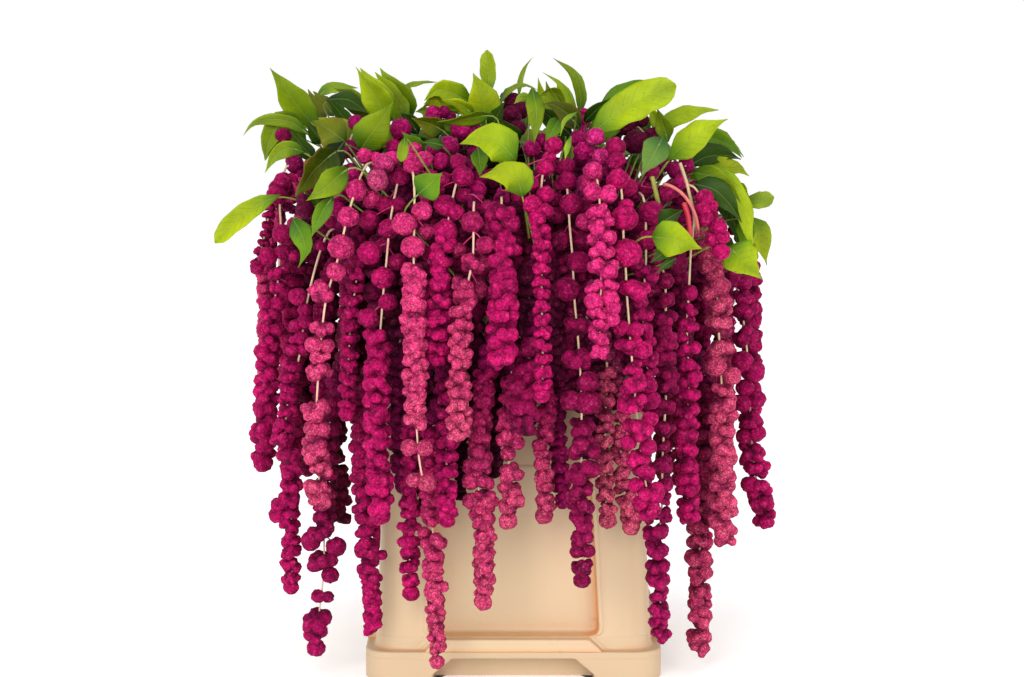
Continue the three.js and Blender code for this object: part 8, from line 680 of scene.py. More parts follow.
def seed_head(k, head):
    """The axes of one seed head, and the plan of its beads."""
    x, y, z, tassels = head
    rng = np.random.default_rng(500 + k)
    soup = Soup()
    plan = []
    base = np.array([x, y, z])
    # the short axis that the tassels branch from
    trunk = np.array([base + [0, 0, 0.4 + 14.6 * s] for s in (0, 0.15, 0.4, 0.7, 1.0)])
    tube(soup, trunk, [4.3, 4.3, 4.1, 3.9, 3.2], lin((150, 90, 90)), 10, 1, 0.05)
    for name, tint, r, thin, fat, beads in tassels:
        upper_dye, lower_dye = (lin(SHADES[n]) for n in BLOOM[tint])
        if name in PALE_TIPS:
            lower_dye = lin(SHADES["rose"])
        colour = 0.5 * (upper_dye + lower_dye)
        thin, fat = np.array(thin), np.array(fat)
        seen = name[0] in "TC"
        q = even(np.vstack([thin[:-1], fat]) if len(thin) > 1 else fat, 10.0 if seen else 15.0)
        s = np.linspace(0, 1, len(q))[:, None]
        green = np.clip(1 - s * 5, 0, 1)
        axis_col = RACHIS * (1 - green) + AXIS_GREEN * green
        pinkish = 0.5 + 0.5 * np.sin(7 * s + k)
        axis_col = axis_col * (1 - 0.35 * pinkish) + RACHIS_PINK * 0.35 * pinkish
        # painted shade: the axes of the tassels at the sides and back are darkened to 0.45
        tube(soup, q, np.linspace(1.35, 0.95, len(q)), axis_col * (1.0 if seen else 0.45), 6 if seen else 4, 1)
        # where the axis runs at a point
        along = even(fat, 4.0)
        tang = np.gradient(along, axis=0)
        upper = even(thin, 4.0)
        utang = np.gradient(upper, axis=0)
        items = []
        for b in beads or []:
            items.append((b[0], np.array(b[1:4]), b[4], b[5] if len(b) > 5 else 0.0))
        for a, b in zip(list(items), list(items)[1:]):
            gap, mean = np.linalg.norm(a[1] - b[1]), 0.5 * (a[2] + b[2])
            if name in COBS and a[0] and b[0] and 1.2 * mean < gap < 1.9 * mean:
                j = int(np.linalg.norm(along - 0.5 * (a[1] + b[1]), axis=1).argmin())
                items.append((1, along[j] * 0.5 + 0.25 * (a[1] + b[1]), 0.88 * mean, 0.0))
        if name[0] == "H" or not beads:
            items += beads_along(along, r, rng, r * 0.4, r * 0.5, True, True)
        todo = [(it, along, tang, True) for it in items]
        length = np.linalg.norm(np.diff(upper, axis=0), axis=1).sum()
        if length > 30:
            for it in beads_along(upper, min(r, 10.5) * 0.92, rng, 20.0, 4.0, False, False):
                # painted shade: the loose beads on the upper axis get a tone of -0.25
                todo.append(((it[0], it[1], it[2], -0.25), upper, utang, False))
        for (tier, p, rr, tone), line, tg, own in todo:
            near = np.linalg.norm(line - p, axis=1)
            j = int(near.argmin())
            off = near[j]
            rr = rr * (TIER_GROW if tier else BALL_GROW)
            if off > rr + 0.5:
                # a short side stalk carries a bead that sits away from the axis
                a, b = line[max(0, j - 3)], p
                st = even(np.array([a, 0.6 * a + 0.4 * b + [0, 0, 2.0], b]), max(3.0, off / 4))
                tube(soup, st, 0.8, colour * 0.8, 4, 1)
            f = j / max(1, len(line) - 1) if own else 0.0
            # painted shade: a tone below zero darkens a bead set deeper in the bunch; a tone above zero lightens it
            c = (upper_dye * (1 - f) + lower_dye * f) * (1 + 0.5 * max(tone, 0)) * (1 + 0.55 * min(tone, 0))
            if not own or name[0] in "CH":
                c = c * [0.95, 1.0, 1.16]  # the younger beads of the crown are more purple
            plan.append([p, tg[j], rr, tier, c, "own" if own and seen else "rest"])
    # short erect spikes that fill the crown over the stem; their axes and beads are darkened as painted shade
    out = np.array([x, y]) / (math.hypot(x, y) + 30.0)
    for i in range(SPIKES):
        a = rng.uniform(0, 6.28)
        lean = np.array([math.cos(a), math.sin(a)]) * rng.uniform(8, 26) + out * rng.uniform(6, 26)
        rise = rng.uniform(62, 104)
        q = np.array([base + [lean[0] * f ** 1.3, lean[1] * f ** 1.3, 10 + (rise - 10) * f] for f in np.linspace(0, 1, 8)])
        tube(soup, q, np.linspace(1.6, 1.0, 8), RACHIS * 0.8, 5, 1)
        upper = even(q, 4.0)
        for tier, p, rr, tone in beads_along(upper, 9.4, rng, 12.0, 0.0, False, False):
            # painted shade: spike beads at 0.7 of their colour
            plan.append([p, np.array([0, 0, 1.0]), rr, tier, lin(SHADES[("cerise", "crimson", "wine")[i % 3]]) * 0.7, "rest"])
    return soup, plan, rng


def hanging(rng, start, over, low, r):
    """A strand in the shade behind the outer tassels, given dark wine and plum beads as painted shade: up from the
    crown, over the rim and down.
    """
    start, over = np.array(start, float), np.array(over, float)
    lift = 0.5 * (start + over)
    lift[2] = max(start[2], over[2]) + 10
    edge = over + [0, 0, -28.0]
    path = even(np.array([start, lift, over, edge, [edge[0] + rng.uniform(-5, 5), edge[1] + rng.uniform(-3, 3), low]]), 4.0)
    tang = np.gradient(path, axis=0)
    name = ("wine", "plum", "wine", "wine")[int(rng.integers(0, 4))]
    out = []
    for tier, p, rr, tone in beads_along(path, r, rng, 4.0, 4.0, True, True):
        j = int(np.linalg.norm(path - p, axis=1).argmin())
        out.append([p, tang[j], rr * 1.1, tier, lin(SHADES[name]), "fill"])
    return path, out


def add_hanging(parts):
    """Strands all round the rim, each with the seed head that stands nearest to it."""
    rng = np.random.default_rng(77)
    feet = np.array([h[:2] for h in HEADS], float)
    jobs = []
    for x in np.arange(-136, 137, 17.0):
        jobs.append(((0.6 * x, -78, 462), (x, -152, 432), rng.uniform(262, 300) if abs(x - 30) < 60 else rng.uniform(236, 286)))
    for s in (-1, 1):
        jobs.append(((s * 96, -70, 462), (s * 163, -126, 428), rng.uniform(300, 330)))
        jobs.append(((s * 90, 80, 462), (s * 160, 132, 428), rng.uniform(290, 330)))
        for y in np.arange(-104, 110, 23.0):
            jobs.append(((s * 82, 0.6 * y, 462), (s * 156, y, 430), rng.uniform(290, 334)))
    for x in np.arange(-126, 127, 23.0):
        jobs.append(((0.6 * x, 78, 462), (x, 154, 430), rng.uniform(290, 334)))
    for start, over, low in jobs:
        k = int(np.linalg.norm(feet - np.array(start[:2]), axis=1).argmin())
        path, items = hanging(rng, start, over, low, rng.uniform(9.6, 11.2))
        # painted shade: the strand's axis is darkened to 0.4
        tube(parts[k][0], path[::5], 1.3, RACHIS * 0.4, 4, 1)
        parts[k][1].extend(items)


def shares(pos, rad, azimuths, top=False):
    """For each view, the share of every bead that nothing covers, by painting discs from far to near."""
    shell = []
    for a in np.arange(-130, 131, 20.0):
        for z in np.arange(20, 381, 20.0):
            shell += [(a, -130, z), (a, 130, z), (-130, a, z), (130, a, z)]
    shell = np.array(shell)
    allp = np.vstack([pos, shell])
    allr = np.r_[rad * 0.8, np.full(len(shell), 14.0)]
    best = np.zeros(len(pos))
    for az in azimuths:
        a = math.radians(az)
        right = np.array([math.cos(a), math.sin(a), 0.0])
        back = np.array([-math.sin(a), math.cos(a), 0.0])
        t = math.radians(7.0)
        fwd = back * math.cos(t) - np.array([0, 0, 1.0]) * math.sin(t)
        up = back * math.sin(t) + np.array([0, 0, 1.0]) * math.cos(t)
        if top:
            right, up, fwd = np.array([1.0, 0, 0]), np.array([0, 1.0, 0]), np.array([0, 0, -1.0])
        cell = 3.0
        gx = allp @ right / cell + 130
        gy = allp @ up / cell + 130
        depth = allp @ fwd
        grid = np.full((320, 320), -1, np.int64)
        total = np.zeros(len(allp))
        for i in np.argsort(-depth):
            r = allr[i] / cell
            x0, x1 = int(math.ceil(gx[i] - r)), int(math.floor(gx[i] + r))
            y0, y1 = int(math.ceil(gy[i] - r)), int(math.floor(gy[i] + r))
            if x0 < 0 or y0 < 0 or x1 > 318 or y1 > 318 or x1 < x0 or y1 < y0:
                continue
            yy, xx = np.mgrid[y0:y1 + 1, x0:x1 + 1]
            inside = (xx - gx[i]) ** 2 + (yy - gy[i]) ** 2 <= r * r
            grid[y0:y1 + 1, x0:x1 + 1][inside] = i
            total[i] = inside.sum()
        seen = np.bincount(grid[(grid >= 0) & (grid < len(pos))], minlength=len(pos))[:len(pos)]
        best = np.maximum(best, seen / np.maximum(total[:len(pos)], 1))
    return best


def finish_heads(parts):
    """Choose how fine each bead has to be, shade it by how far it is covered, then build the beads."""
    add_hanging(parts)
    items = [b for _, plan, _ in parts for b in plan]
    pos = np.array([b[0] for b in items])
    rad = np.array([b[2] for b in items])
    front = shares(pos, rad, [0])
    other = np.maximum(shares(pos, rad, [-90, -45, 45, 90, 135, 180, 225]), shares(pos, rad, [0], True) * 0.8)
    out = np.c_[pos[:, :2], np.full(len(pos), 0.0)]
    out /= np.linalg.norm(out, axis=1)[:, None] + 20.0
    out[:, 2] = np.clip((pos[:, 2] - 400) / 160, 0, 1) * 0.9
    out /= np.linalg.norm(out, axis=1)[:, None] + 1e-9
    cover = np.zeros(len(pos))
    for i in range(len(pos)):
        d = pos - pos[i]
        l = np.linalg.norm(d, axis=1)
        near = (l > 4) & (l < 60)
        c = (d[near] @ out[i]) / l[near]
        cover[i] = (np.clip((c - 0.55) / 0.3, 0, 1) * (1 - l[near] / 80)).sum()
    made, count = [], {}
    i = 0
    for k, (soup, plan, rng) in enumerate(parts):
        for p, axis, rr, tier, c, kind in plan:
            if front[i] > 0.17:
                nu = 5 if kind == "own" and rr > 11.4 else 4 if front[i] > 0.35 or kind == "own" else 3
            elif front[i] > 0.11 or other[i] > 0.72:
                nu = 3
            else:
                nu = 2
            if front[i] == 0 and other[i] == 0:
                # nothing shows of it from any side
                i += 1
                count[0] = count.get(0, 0) + 1
                continue
            if kind == "fill":
                nu = min(nu, 3)
            count[nu] = count.get(nu, 0) + 1
            shown = kind == "own" and front[i] > 0.07
            dim = 1 / (1 + (0.08 if shown else 0.30) * max(0.0, cover[i] - (1.8 if shown else 0.6)))
            shade = max(0.26, dim)
            cluster(soup, p, axis, rr, tier, c * [shade, shade ** 1.25, shade ** 0.9], rng, nu, out[i])
            i += 1
        ob = soup.make("seed_head_%02d_beads" % (k + 1), [MAT_FLORET, MAT_RACHIS])
        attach(ob, "root")
        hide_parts("seed_head_%02d" % (k + 1))
        made.append(ob)
    print("BEADS", count)
    return made


# ---- leaves ---------------------------------------------------------------
# leaf greens: partly the leaves' own range of colour, partly painted light and shade; the darker ones stand for leaves
# in shade, the brightest for leaves in full light
GREENS = {
    "bright": (127, 156, 8), "mid": (99, 128, 5), "midg": (75, 115, 10), "light": (112, 142, 30), "yel": (130, 155, 8),
    "olive": (87, 101, 3), "oldark": (62, 76, 3), "dark": (38, 68, 4), "grey": (75, 110, 45), "vdark": (25, 38, 3),
}
LEAF_V = np.array([0, 0.04, 0.1, 0.18, 0.28, 0.38, 0.48, 0.58, 0.68, 0.78, 0.86, 0.93, 1.0])
LEAF_W = np.array([0.07, 0.18, 0.46, 0.78, 0.97, 1.0, 0.94, 0.8, 0.6, 0.36, 0.2, 0.09, 0.012])
BLUNT_V = np.array([0, 0.04, 0.1, 0.18, 0.28, 0.38, 0.48, 0.58, 0.68, 0.78, 0.86, 0.93, 0.97, 1.0])
BLUNT_W = np.array([0.07, 0.18, 0.42, 0.66, 0.84, 0.94, 1.0, 1.0, 0.97, 0.9, 0.8, 0.62, 0.42, 0.1])
LEAF_GROW = 1.25
# leaves whose width was settled one by one, and leaves that another one stands for
WIDTHS = {
    "L1": 31, "L3b": 32, "L6c": 26, "L9a": 29, "L9b": 33, "L12": 24, "L13": 22, "L14": 10, "L15": 16, "L16": 33, "L18": 34, "L19": 30,
    "L23": 9, "L24": 13, "L26": 13, "L30": 20, "L31": 18, "L33": 24, "L34": 16, "L35": 24, "L36": 38, "L37": 34,
}
RECOLOUR = {"L10": "olive", "L20b": "mid", "L29": "grey", "L35": "yel"}
BLUNT = ("L14", "L15", "L34", "Y25", "Y5")
DROPPED = ("L5", "L10", "L25")


def leaf(soup, data, rng, coarse=False):
    name, tint, width, roll, face, stalk, rib = data
    tint = RECOLOUR.get(name, tint)
    colour = lin(GREENS[tint]) * rng.uniform(0.88, 1.1)
    if name in WIDTHS:
        width = WIDTHS[name] * 1.08
    elif name[0] == "L":
        width = width * LEAF_GROW
    elif name[0] in "Gf":
        width = width * 1.3
    rib = even(rib, 2.0)
    d = np.r_[0, np.cumsum(np.linalg.norm(np.diff(rib, axis=0), axis=1))]
    length = d[-1]
    nv = int(np.clip(length / 5.5, 9, 20))
    nu = 10 if width > 16 else 6
    if coarse:
        nv, nu = 9, 4
    vs = np.linspace(0, 1, nv + 1)
    p = np.stack([np.interp(vs * length, d, rib[:, k]) for k in range(3)], 1)
    t = np.gradient(p, axis=0)
    t /= np.linalg.norm(t, axis=1)[:, None]
    s = np.cross(t, np.array(face, float))
    s /= np.linalg.norm(s, axis=1)[:, None]
    n = np.cross(s, t)
    a = np.radians(roll + rng.uniform(-22, 22) + rng.uniform(-20, 20) * (vs - 0.3) * 2)[:, None]
    s2 = np.cos(a) * s + np.sin(a) * n
    n2 = np.cross(s2, t)
    prof = (BLUNT_V, BLUNT_W) if name in BLUNT else (LEAF_V, LEAF_W)
    half = width / 2 * np.interp(vs ** rng.uniform(0.86, 1.1), *prof)
    us = np.linspace(-1, 1, nu + 1)
    fold = rng.uniform(0.08, 0.34)
    curl = rng.uniform(-0.16, 0.1)
    ph, ph2, ph3 = rng.uniform(0, 6.28, 3)
    waves = rng.uniform(2.2, 3.6)
    wav = rng.uniform(0.06, 0.12)
    U, V = np.meshgrid(us, vs)
    H = half[:, None]
    side = np.where(U < 0, 0.0, 1.7) + ph
    edge = np.abs(U) ** 1.6
    swell = np.clip(np.sin(V * math.pi), 0, 1) ** 0.6
    lift = fold * np.abs(U) * H + curl * (U ** 2) * H
    # soft swells between the side veins, and a wavy margin
    q = V * 8 - np.abs(U) * 1.5
    lift = lift + 0.03 * H * np.cos(q * 2 * math.pi) * (1 - np.abs(U))
    lift = lift + wav * width * 0.5 * np.sin(V * waves * 6.283 + side) * edge * swell
    lift = lift + 0.05 * width * np.sin(V * 5.1 + U * 1.9 + ph2) * swell
    across = U * H * (1 - 0.08 * fold) * (1 + 0.05 * np.sin(V * 21 + ph3 + U) * swell)
    mid = p[:, None] + s2[:, None] * across[..., None] + n2[:, None] * lift[..., None]
    thick = 0.2 + 0.35 * np.exp(-(U * H / 1.6) ** 2) * (1 - V)
    top = mid + n2[:, None] * thick[..., None]
    bot = mid - n2[:, None] * thick[..., None]
    vv = np.vstack([top.reshape(-1, 3), bot.reshape(-1, 3)])
    m = (nv + 1) * (nu + 1)
    i, j = np.meshgrid(np.arange(nv), np.arange(nu), indexing="ij")
    i, j = i.ravel(), j.ravel()
    w = nu + 1
    f1 = np.stack([i * w + j, i * w + j + 1, (i + 1) * w + j + 1, (i + 1) * w + j], -1)
    f2 = f1[:, ::-1] + m
    rim = []
    for k in range(nv):
        rim.append((k * w, (k + 1) * w, m + (k + 1) * w, m + k * w))
        rim.append(((k + 1) * w + nu, k * w + nu, m + k * w + nu, m + (k + 1) * w + nu))
    for k in range(nu):
        rim.append((k + 1, k, m + k, m + k + 1))
        rim.append((nv * w + k, nv * w + k + 1, m + nv * w + k + 1, m + nv * w + k))
    # painted shade and highlight: darker at the base, lighter along the margins; broad uneven patches of random tone
    patch = 0.5 + 0.5 * np.sin(V * 4.4 + ph) * np.cos(U * 2.0 + ph2)
    base_shade_ramp = np.clip(V * 2.2, 0, 1)
    base_shade_ramp = base_shade_ramp * base_shade_ramp * (3 - 2 * base_shade_ramp)
    tone = (0.45 + 0.6 * base_shade_ramp) * (0.86 + 0.24 * patch) * (0.95 + 0.14 * np.abs(U))
    warmth = np.clip(0.4 * patch + 0.3 * np.abs(U) - 0.15, 0, 1)[..., None]
    ctop = colour[None, None] * tone[..., None]
    ctop = ctop * (1 + warmth * (np.array([1.25, 1.06, 0.8]) - 1))
    ctop = ctop * np.stack([0.62 + 0.5 * base_shade_ramp, np.ones_like(base_shade_ramp), np.ones_like(base_shade_ramp)], -1)
    if tint in ("olive", "oldark"):
        # reddish-brown margin
        red = (np.clip((np.abs(U) - 0.86) / 0.14, 0, 1) * 0.3)[..., None]
        ctop = ctop * (1 - red) + lin((150, 70, 40)) * red
    under = colour * 0.8 + np.array([0.035, 0.055, 0.012])
    cbot = under[None, None] * tone[..., None] * 0.9
    col = np.vstack([ctop.reshape(-1, 3), cbot.reshape(-1, 3)])
    bl = np.stack([U * H / 10.0, V, np.abs(U)], -1).reshape(-1, 3)
    # faces look along the blade's normal
    e = np.cross(top[0, 1] - top[0, 0], top[1, 0] - top[0, 0])
    faces = [f1, f2, np.array(rim)]
    if e @ n2[0] < 0:
        faces = [f[:, ::-1] for f in faces]
    soup.add(vv, faces, np.clip(col, 0, 1), 0, np.vstack([bl, bl]))
    # leaf stalk runs on into the midrib's underside
    st = even(np.vstack([np.array(stalk)[:-1], p[0][None], p[min(2, nv)][None] - n2[min(2, nv)][None] * 0.3]), 7.0)
    k = len(st)
    sc = np.linspace(0, 1, k)[:, None]
    # darker and reddish toward the stem: partly the stalk's colour, partly painted shade
    pale = colour * 0.6 + np.array([0.10, 0.13, 0.03])
    red = lin((170, 90, 80))
    tube(soup, st, np.linspace(1.2 if name[0] in "XMRQY" else 1.6, 0.8, k), red * 0.35 * (1 - sc) + pale * (0.65 + 0.35 * sc), 6, 1)


def crown_leaves(k, top, own, rng):
    """Smaller leaves low in the crown of one stem, behind its own ones."""
    x, y, z = top
    out = []
    if y < -50:
        return out
    count = 5 if own < 3 else 3
    a0 = rng.uniform(0, 6.28)
    for i in range(count):
        a = a0 + i / count * 6.283 + rng.uniform(-0.4, 0.4)
        lean = np.array([math.cos(a) + 0.8 * x / 150, math.sin(a) + 0.8 * y / 150])
        lean /= np.linalg.norm(lean) + 0.2
        zb = rng.uniform(478, 520)
        start = np.array([x, y, z - 4.0])
        base = np.array([x + lean[0] * 16, y + lean[1] * 16, zb])
        mid = np.array([x + lean[0] * 7, y + lean[1] * 7, 0.5 * (z + zb) + 6])
        length = rng.uniform(62, 96)
        rise = rng.uniform(0.35, 0.95)
        rib = []
        for f in np.linspace(0, 1, 6):
            rib.append(base + [lean[0] * length * 0.85 * f, lean[1] * length * 0.85 * f, length * (rise * f - 0.55 * f * f)])
        rib = np.array(rib)
        over = rib[:, 2].max() - 592
        if over > 0:
            rib[:, 2] -= over * np.linspace(0, 1, 6)
        # painted shade: these leaves behind take the darker greens
        tint = ("dark", "mid", "oldark", "midg", "mid")[int(rng.integers(0, 5))]
        out.append(("f", tint, rng.uniform(27, 38), rng.uniform(-30, 30), (lean[0] * 0.3, lean[1] * 0.3, 1.0), [start, mid, base], rib))
    return out


def stem(k, data):
    foot, top, leaves = data
    rng = np.random.default_rng(900 + k)
    soup = Soup()
    foot, top = np.array(foot), np.array(top)
    n = 14
    s = np.linspace(0, 1, n)[:, None]
    path = foot * (1 - s) + top * s
    c0, c1 = lin((126, 150, 70)), lin((150, 120, 70))
    if k % 3 == 0:
        c1 = lin((158, 60, 66))
    tube(soup, path, np.linspace(4.95, 4.35, n), c0 * (1 - s) + c1 * s, 14, 1, 0.045)
    for data in leaves + MORE.get(k, []):
        if data[0] not in DROPPED:
            leaf(soup, data, rng)
    for kind, r, line in SPRIGS.get(k, []):
        q = even(line, 3.0)
        a, b = {"pale": ((205, 120, 100), (190, 88, 84)), "redst": ((190, 40, 60), (190, 40, 60)), "cream": ((200, 176, 130), (206, 170, 140)), "gyel": ((150, 150, 60), (130, 140, 60))}[kind]
        f = np.linspace(0, 1, len(q))[:, None]
        tube(soup, q, np.full(len(q), r), lin(a) * (1 - f) + lin(b) * f, 8, 1)
    for data in crown_leaves(k, top, len(leaves), rng):
        leaf(soup, data, rng, True)
    ob = soup.make("leafy_stem_%02d_leaves" % (k + 1), [MAT_LEAF, MAT_STALK])
    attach(ob, "root")
    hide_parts("leafy_stem_%02d" % (k + 1))
    return ob


# ---- bucket ---------------------------------------------------------------
FOOT_HALF, BODY_HALF, RIM_HALF = 149.0, 135.0, 143.0
FOOT_R, BODY_R = 27.0, 24.0
HEIGHT, WALL, FLOOR = 380.0, 3.6, 14.0
PANEL_DEPTH = 12.0


def panel_half(z):
    """Half width of the sunk panel, with its rounded corners."""
    a = 86.4 + (70.0 - 86.4) * (z - 47.0) / 299.0
    r = 9.0
    for edge in (z - 44.2, 346.0 - z):
        if edge < r:
            a -= r - math.sqrt(max(0.0, r * r - (r - edge) ** 2))
    return a


def bucket():
    soup = Soup()
    base = lin((204, 179, 142))
    warm = lin((223, 144, 66))
    rows = []

    # e: an orange tint along edges, partly a stain line along the ledges and rims, partly painted shade in the recess
    # and the inside creases
    def row(z, out, inn, half, rc, pil=0.0, e=0.0):
        rows.append((z, out, inn, half, rc, pil, e))

    def flare(z):
        """Half size and corner radius of the body, which widens below z 140."""
        f = min(1.0, max(0.0, (140.0 - z) / 111.6))
        return BODY_HALF + 5.5 * f, BODY_R + 2.0 * f

    def body(z, inn, half, pil=1.0, e=0.0):
        s, rc = flare(z)
        row(z, s, s if inn is None else inn, half, rc, pil, e)

    # outside, from the underside up
    row(0.0, 147.6, 123.5, 81.0, FOOT_R, 0, 0.4)
    row(0.5, 148.5, 123.1, 81.0, FOOT_R, 0, 0.2)
    row(1.6, 149.0, 123.0, 81.0, FOOT_R)
    row(7.0, 149.0, 123.0, 81.0, FOOT_R)
    row(12.0, 149.0, 123.0, 75.0, FOOT_R)
    row(18.0, 149.0, 123.0, 68.0, FOOT_R)
    row(22.0, 149.0, 123.0, 63.2, FOOT_R)
    row(23.1, 149.0, 123.4, 61.8, FOOT_R, 0, 0.3)
    row(23.5, 149.0, 125.0, 61.3, FOOT_R, 0, 0.3)
    row(23.5, 149.0, 136.0, 61.3, FOOT_R)
    row(23.5, 149.0, 147.6, 61.3, FOOT_R, 0, 0.2)
    row(24.0, 149.0, 148.7, 61.3, FOOT_R)
    row(25.2, 149.0, 149.0, 62.5, FOOT_R)
    row(27.0, 149.0, 149.0, 73.0, FOOT_R)
    row(28.8, 149.0, 149.0, 84.0, FOOT_R)
    row(29.9, 148.6, 149.0, 90.2, FOOT_R - 0.3, 0, 0.1)
    row(30.4, 147.5, 149.0, 90.2, FOOT_R - 1.0, 0, 0.2)
    row(30.3, 146.0, 149.0, 90.2, FOOT_R - 1.0)
    row(30.2, 142.3, 149.0, 90.1, FOOT_R, 0, 0.7)
    row(30.7, 141.2, 149.0, 89.8, FOOT_R - 0.6, 0.0, 1.0)
    row(32.0, flare(32.0)[0], 149.0, 88.6, flare(32.0)[1], 0.6, 0.4)
    body(35.4, 149.0, 85.2)
    body(39.0, 149.0, 81.2)
    body(41.6, 149.0, 78.4)
    body(42.7, 148.6, 77.2, 1.0, 0.05)
    body(43.0, 147.4, 76.9, 1.0, 0.1)
    body(43.0, 143.4, 76.9)
    body(43.0, 141.4, 76.9, 1.0, 0.25)
    body(43.5, 140.2, 76.9, 1.0, 0.3)
    body(44.0, 139.6, 77.0, 1.0, 0.35)
    body(44.3, 138.4, 77.4, 1.0, 0.8)
    body(44.8, 132.0, 78.6, 1.0, 0.45)
    body(45.2, 126.0, 79.8, 1.0, 0.35)
    for z, e in [(46.0, 0.26), (48.0, 0.2), (51.0, 0.14), (55.0, 0.08), (60.0, 0.04), (66.0, 0.0), (80.0, 0), (105.0, 0), (140.0, 0), (165.0, 0), (195.0, 0), (212.0, 0)]:
        body(z, 123.0 + (0.9 if z < 47 else 0), panel_half(z), 1.0, e)
    # a faint moulded step across the panel
    row(214.2, 135.0, 123.0, panel_half(214.2), BODY_R, 1.0)
    row(215.0, 135.0, 122.3, panel_half(215.0), BODY_R, 1.0, 0.35)
    row(216.4, 135.0, 122.3, panel_half(216.4), BODY_R, 1.0, 0.1)
    for z in (235.0, 265.0, 295.0, 320.0, 336.0, 341.0, 343.6):
        row(z, 135.0, 122.6, panel_half(z), BODY_R, 1.0)
    row(345.0, 135.0, 123.6, panel_half(345.0), BODY_R, 1.0, 0.5)
    row(345.7, 135.0, 126.4, panel_half(345.7), BODY_R, 1.0, 0.8)
    row(346.3, 135.0, 132.6, 61.0, BODY_R, 1.0, 0.6)
    row(346.9, 135.0, 134.6, 61.0, BODY_R, 1.0, 0.3)
    row(348.0, 135.0, 135.0, 61.0, BODY_R, 0.9)
    row(358.0, 135.0, 135.0, 61.0, BODY_R, 0.3)
    row(366.6, 135.2, 135.2, 61.0, BODY_R, 0, 0.4)
    row(367.8, 136.4, 136.4, 61.0, BODY_R + 1.2, 0, 0.6)
    row(368.2, 141.6, 141.6, 61.0, BODY_R + 6.6, 0, 0.2)
    row(369.2, 142.8, 142.8, 61.0, BODY_R + 7.8, 0, 0.1)
    row(371.0, 143.0, 143.0, 61.0, BODY_R + 8)
    row(377.0, 143.0, 143.0, 61.0, BODY_R + 8)
    row(379.0, 142.5, 142.5, 61.0, BODY_R + 7.5, 0, 0.1)
    row(379.8, 141.2, 141.2, 61.0, BODY_R + 6.5, 0, 0.15)
    row(380.0, 139.0, 139.0, 61.0, BODY_R + 4.5)
    row(380.0, 134.0, 134.0, 61.0, BODY_R)
    row(379.7, 132.4, 132.4, 61.0, BODY_R - 2.4, 0, 0.1)
    row(378.6, 131.6, 131.6, 61.0, BODY_R - WALL)
    # inside, down to the floor
    row(372.0, 131.4, 131.4, 62.0, BODY_R - WALL)
    row(352.0, 131.4, 131.4, 66.0, BODY_R - WALL)
    row(350.6, 131.4, 130.8, 68.0, BODY_R - WALL, 0, 0.2)
    row(349.2, 131.4, 128.0, 70.0, BODY_R - WALL, 0, 0.3)
    row(347.8, 131.4, 120.6, 72.4, BODY_R - WALL, 0, 0.3)
    row(346.0, 131.4, 119.5, 73.8, BODY_R - WALL, 0, 0.1)
    for z in (320.0, 260.0, 200.0, 140.0, 80.0, 40.0, 20.0):
        row(z, 131.4, 119.4, 86.4 + WALL + (70.0 - 86.4) * (z - 47.0) / 299.0, BODY_R - WALL)
    row(15.6, 130.8, 119.0, 91.6, BODY_R - WALL - 0.6, 0, 0.2)
    row(14.3, 129.4, 117.8, 91.6, BODY_R - WALL - 2.0, 0, 0.3)
    row(14.0, 127.0, 115.5, 91.0, BODY_R - WALL - 4.0)
    row(14.0, 100.0, 90.0, 72.0, 14.0)
    row(14.0, 60.0, 55.0, 42.0, 9.0)

    # columns of half a side: share of the feature's half width or distance from its edge, then how far it belongs to the feature
    inner_cols = [(0.0, 1.0), (0.4, 1.0), (0.75, 1.0)]
    edge_cols = [(-14.0, 1.0), (-6.0, 1.0), (-2.6, 0.995), (-1.7, 0.95), (-1.25, 0.8), (-0.9, 0.5), (-0.55, 0.2), (-0.1, 0.05), (0.8, 0.005), (3.4, 0.0), (4.2, 0.0), (5.2, 0.0)]
    pil_share = [0.0, 0.22, 0.42, 0.62, 0.82, 1.0]
    NC = 6
    verts, cols = [], []
    ring_n = None
    for z, out, inn, half, rc, pil, e in rows:
        flat_end = out - rc
        over = 0.6 if z < 33 or z > 360 else 0.0
        small = half < 50 or out < 120
        sc = out / 149.0 if small else 1.0
        pts = []
        for f, wgt in inner_cols:
            pts.append((f * (half - 14.0 * sc), wgt, 0.0, e))
        for k, (off, wgt) in enumerate(edge_cols):
            groove = {10: 0.5, 11: 1.0}.get(k, 0.0)
            # painted shade: orange along the recess walls, stronger where the recess is deeper and near its bottom
            recess_edge_shade = 0.9 * math.exp(-((off + 1.6) / 1.4) ** 2) + 0.32 * math.exp(min(0.0, off + 2.0) / 7.0) * wgt
            recess_edge_shade *= min(1.0, abs(out - inn) / 8.0) * (0.3 if z < 44 else 1 + 0.8 * math.exp(-abs(z - 45) / 25))
            pts.append((half + off * sc, wgt, groove * 1.5, max(e * (1.0 if k < 9 else over), recess_edge_shade)))
        x0 = half + 5.2 * sc
        for s in pil_share[1:]:
            x = x0 + (flat_end - x0) * s
            pts.append((x, 0.0, 1.5 - 1.1 * math.sin(math.pi * min(1, s * 1.05)), e * over))
        half_side = []
        for x, wgt, g, ee in pts:
            pos = out + (inn - out) * wgt - g * pil
            half_side.append((x, -pos, ee))
        corner = []
        for k in range(1, NC + 1):
            a = k / NC * math.pi / 4
            rr = rc
            cx, cy = flat_end, -flat_end
            g = (1.5 * pil) * (1 - k / NC * 0.6)
            corner.append((cx + (rr - g) * math.sin(a), cy - (rr - g) * math.cos(a), e * over))
        side = half_side + corner
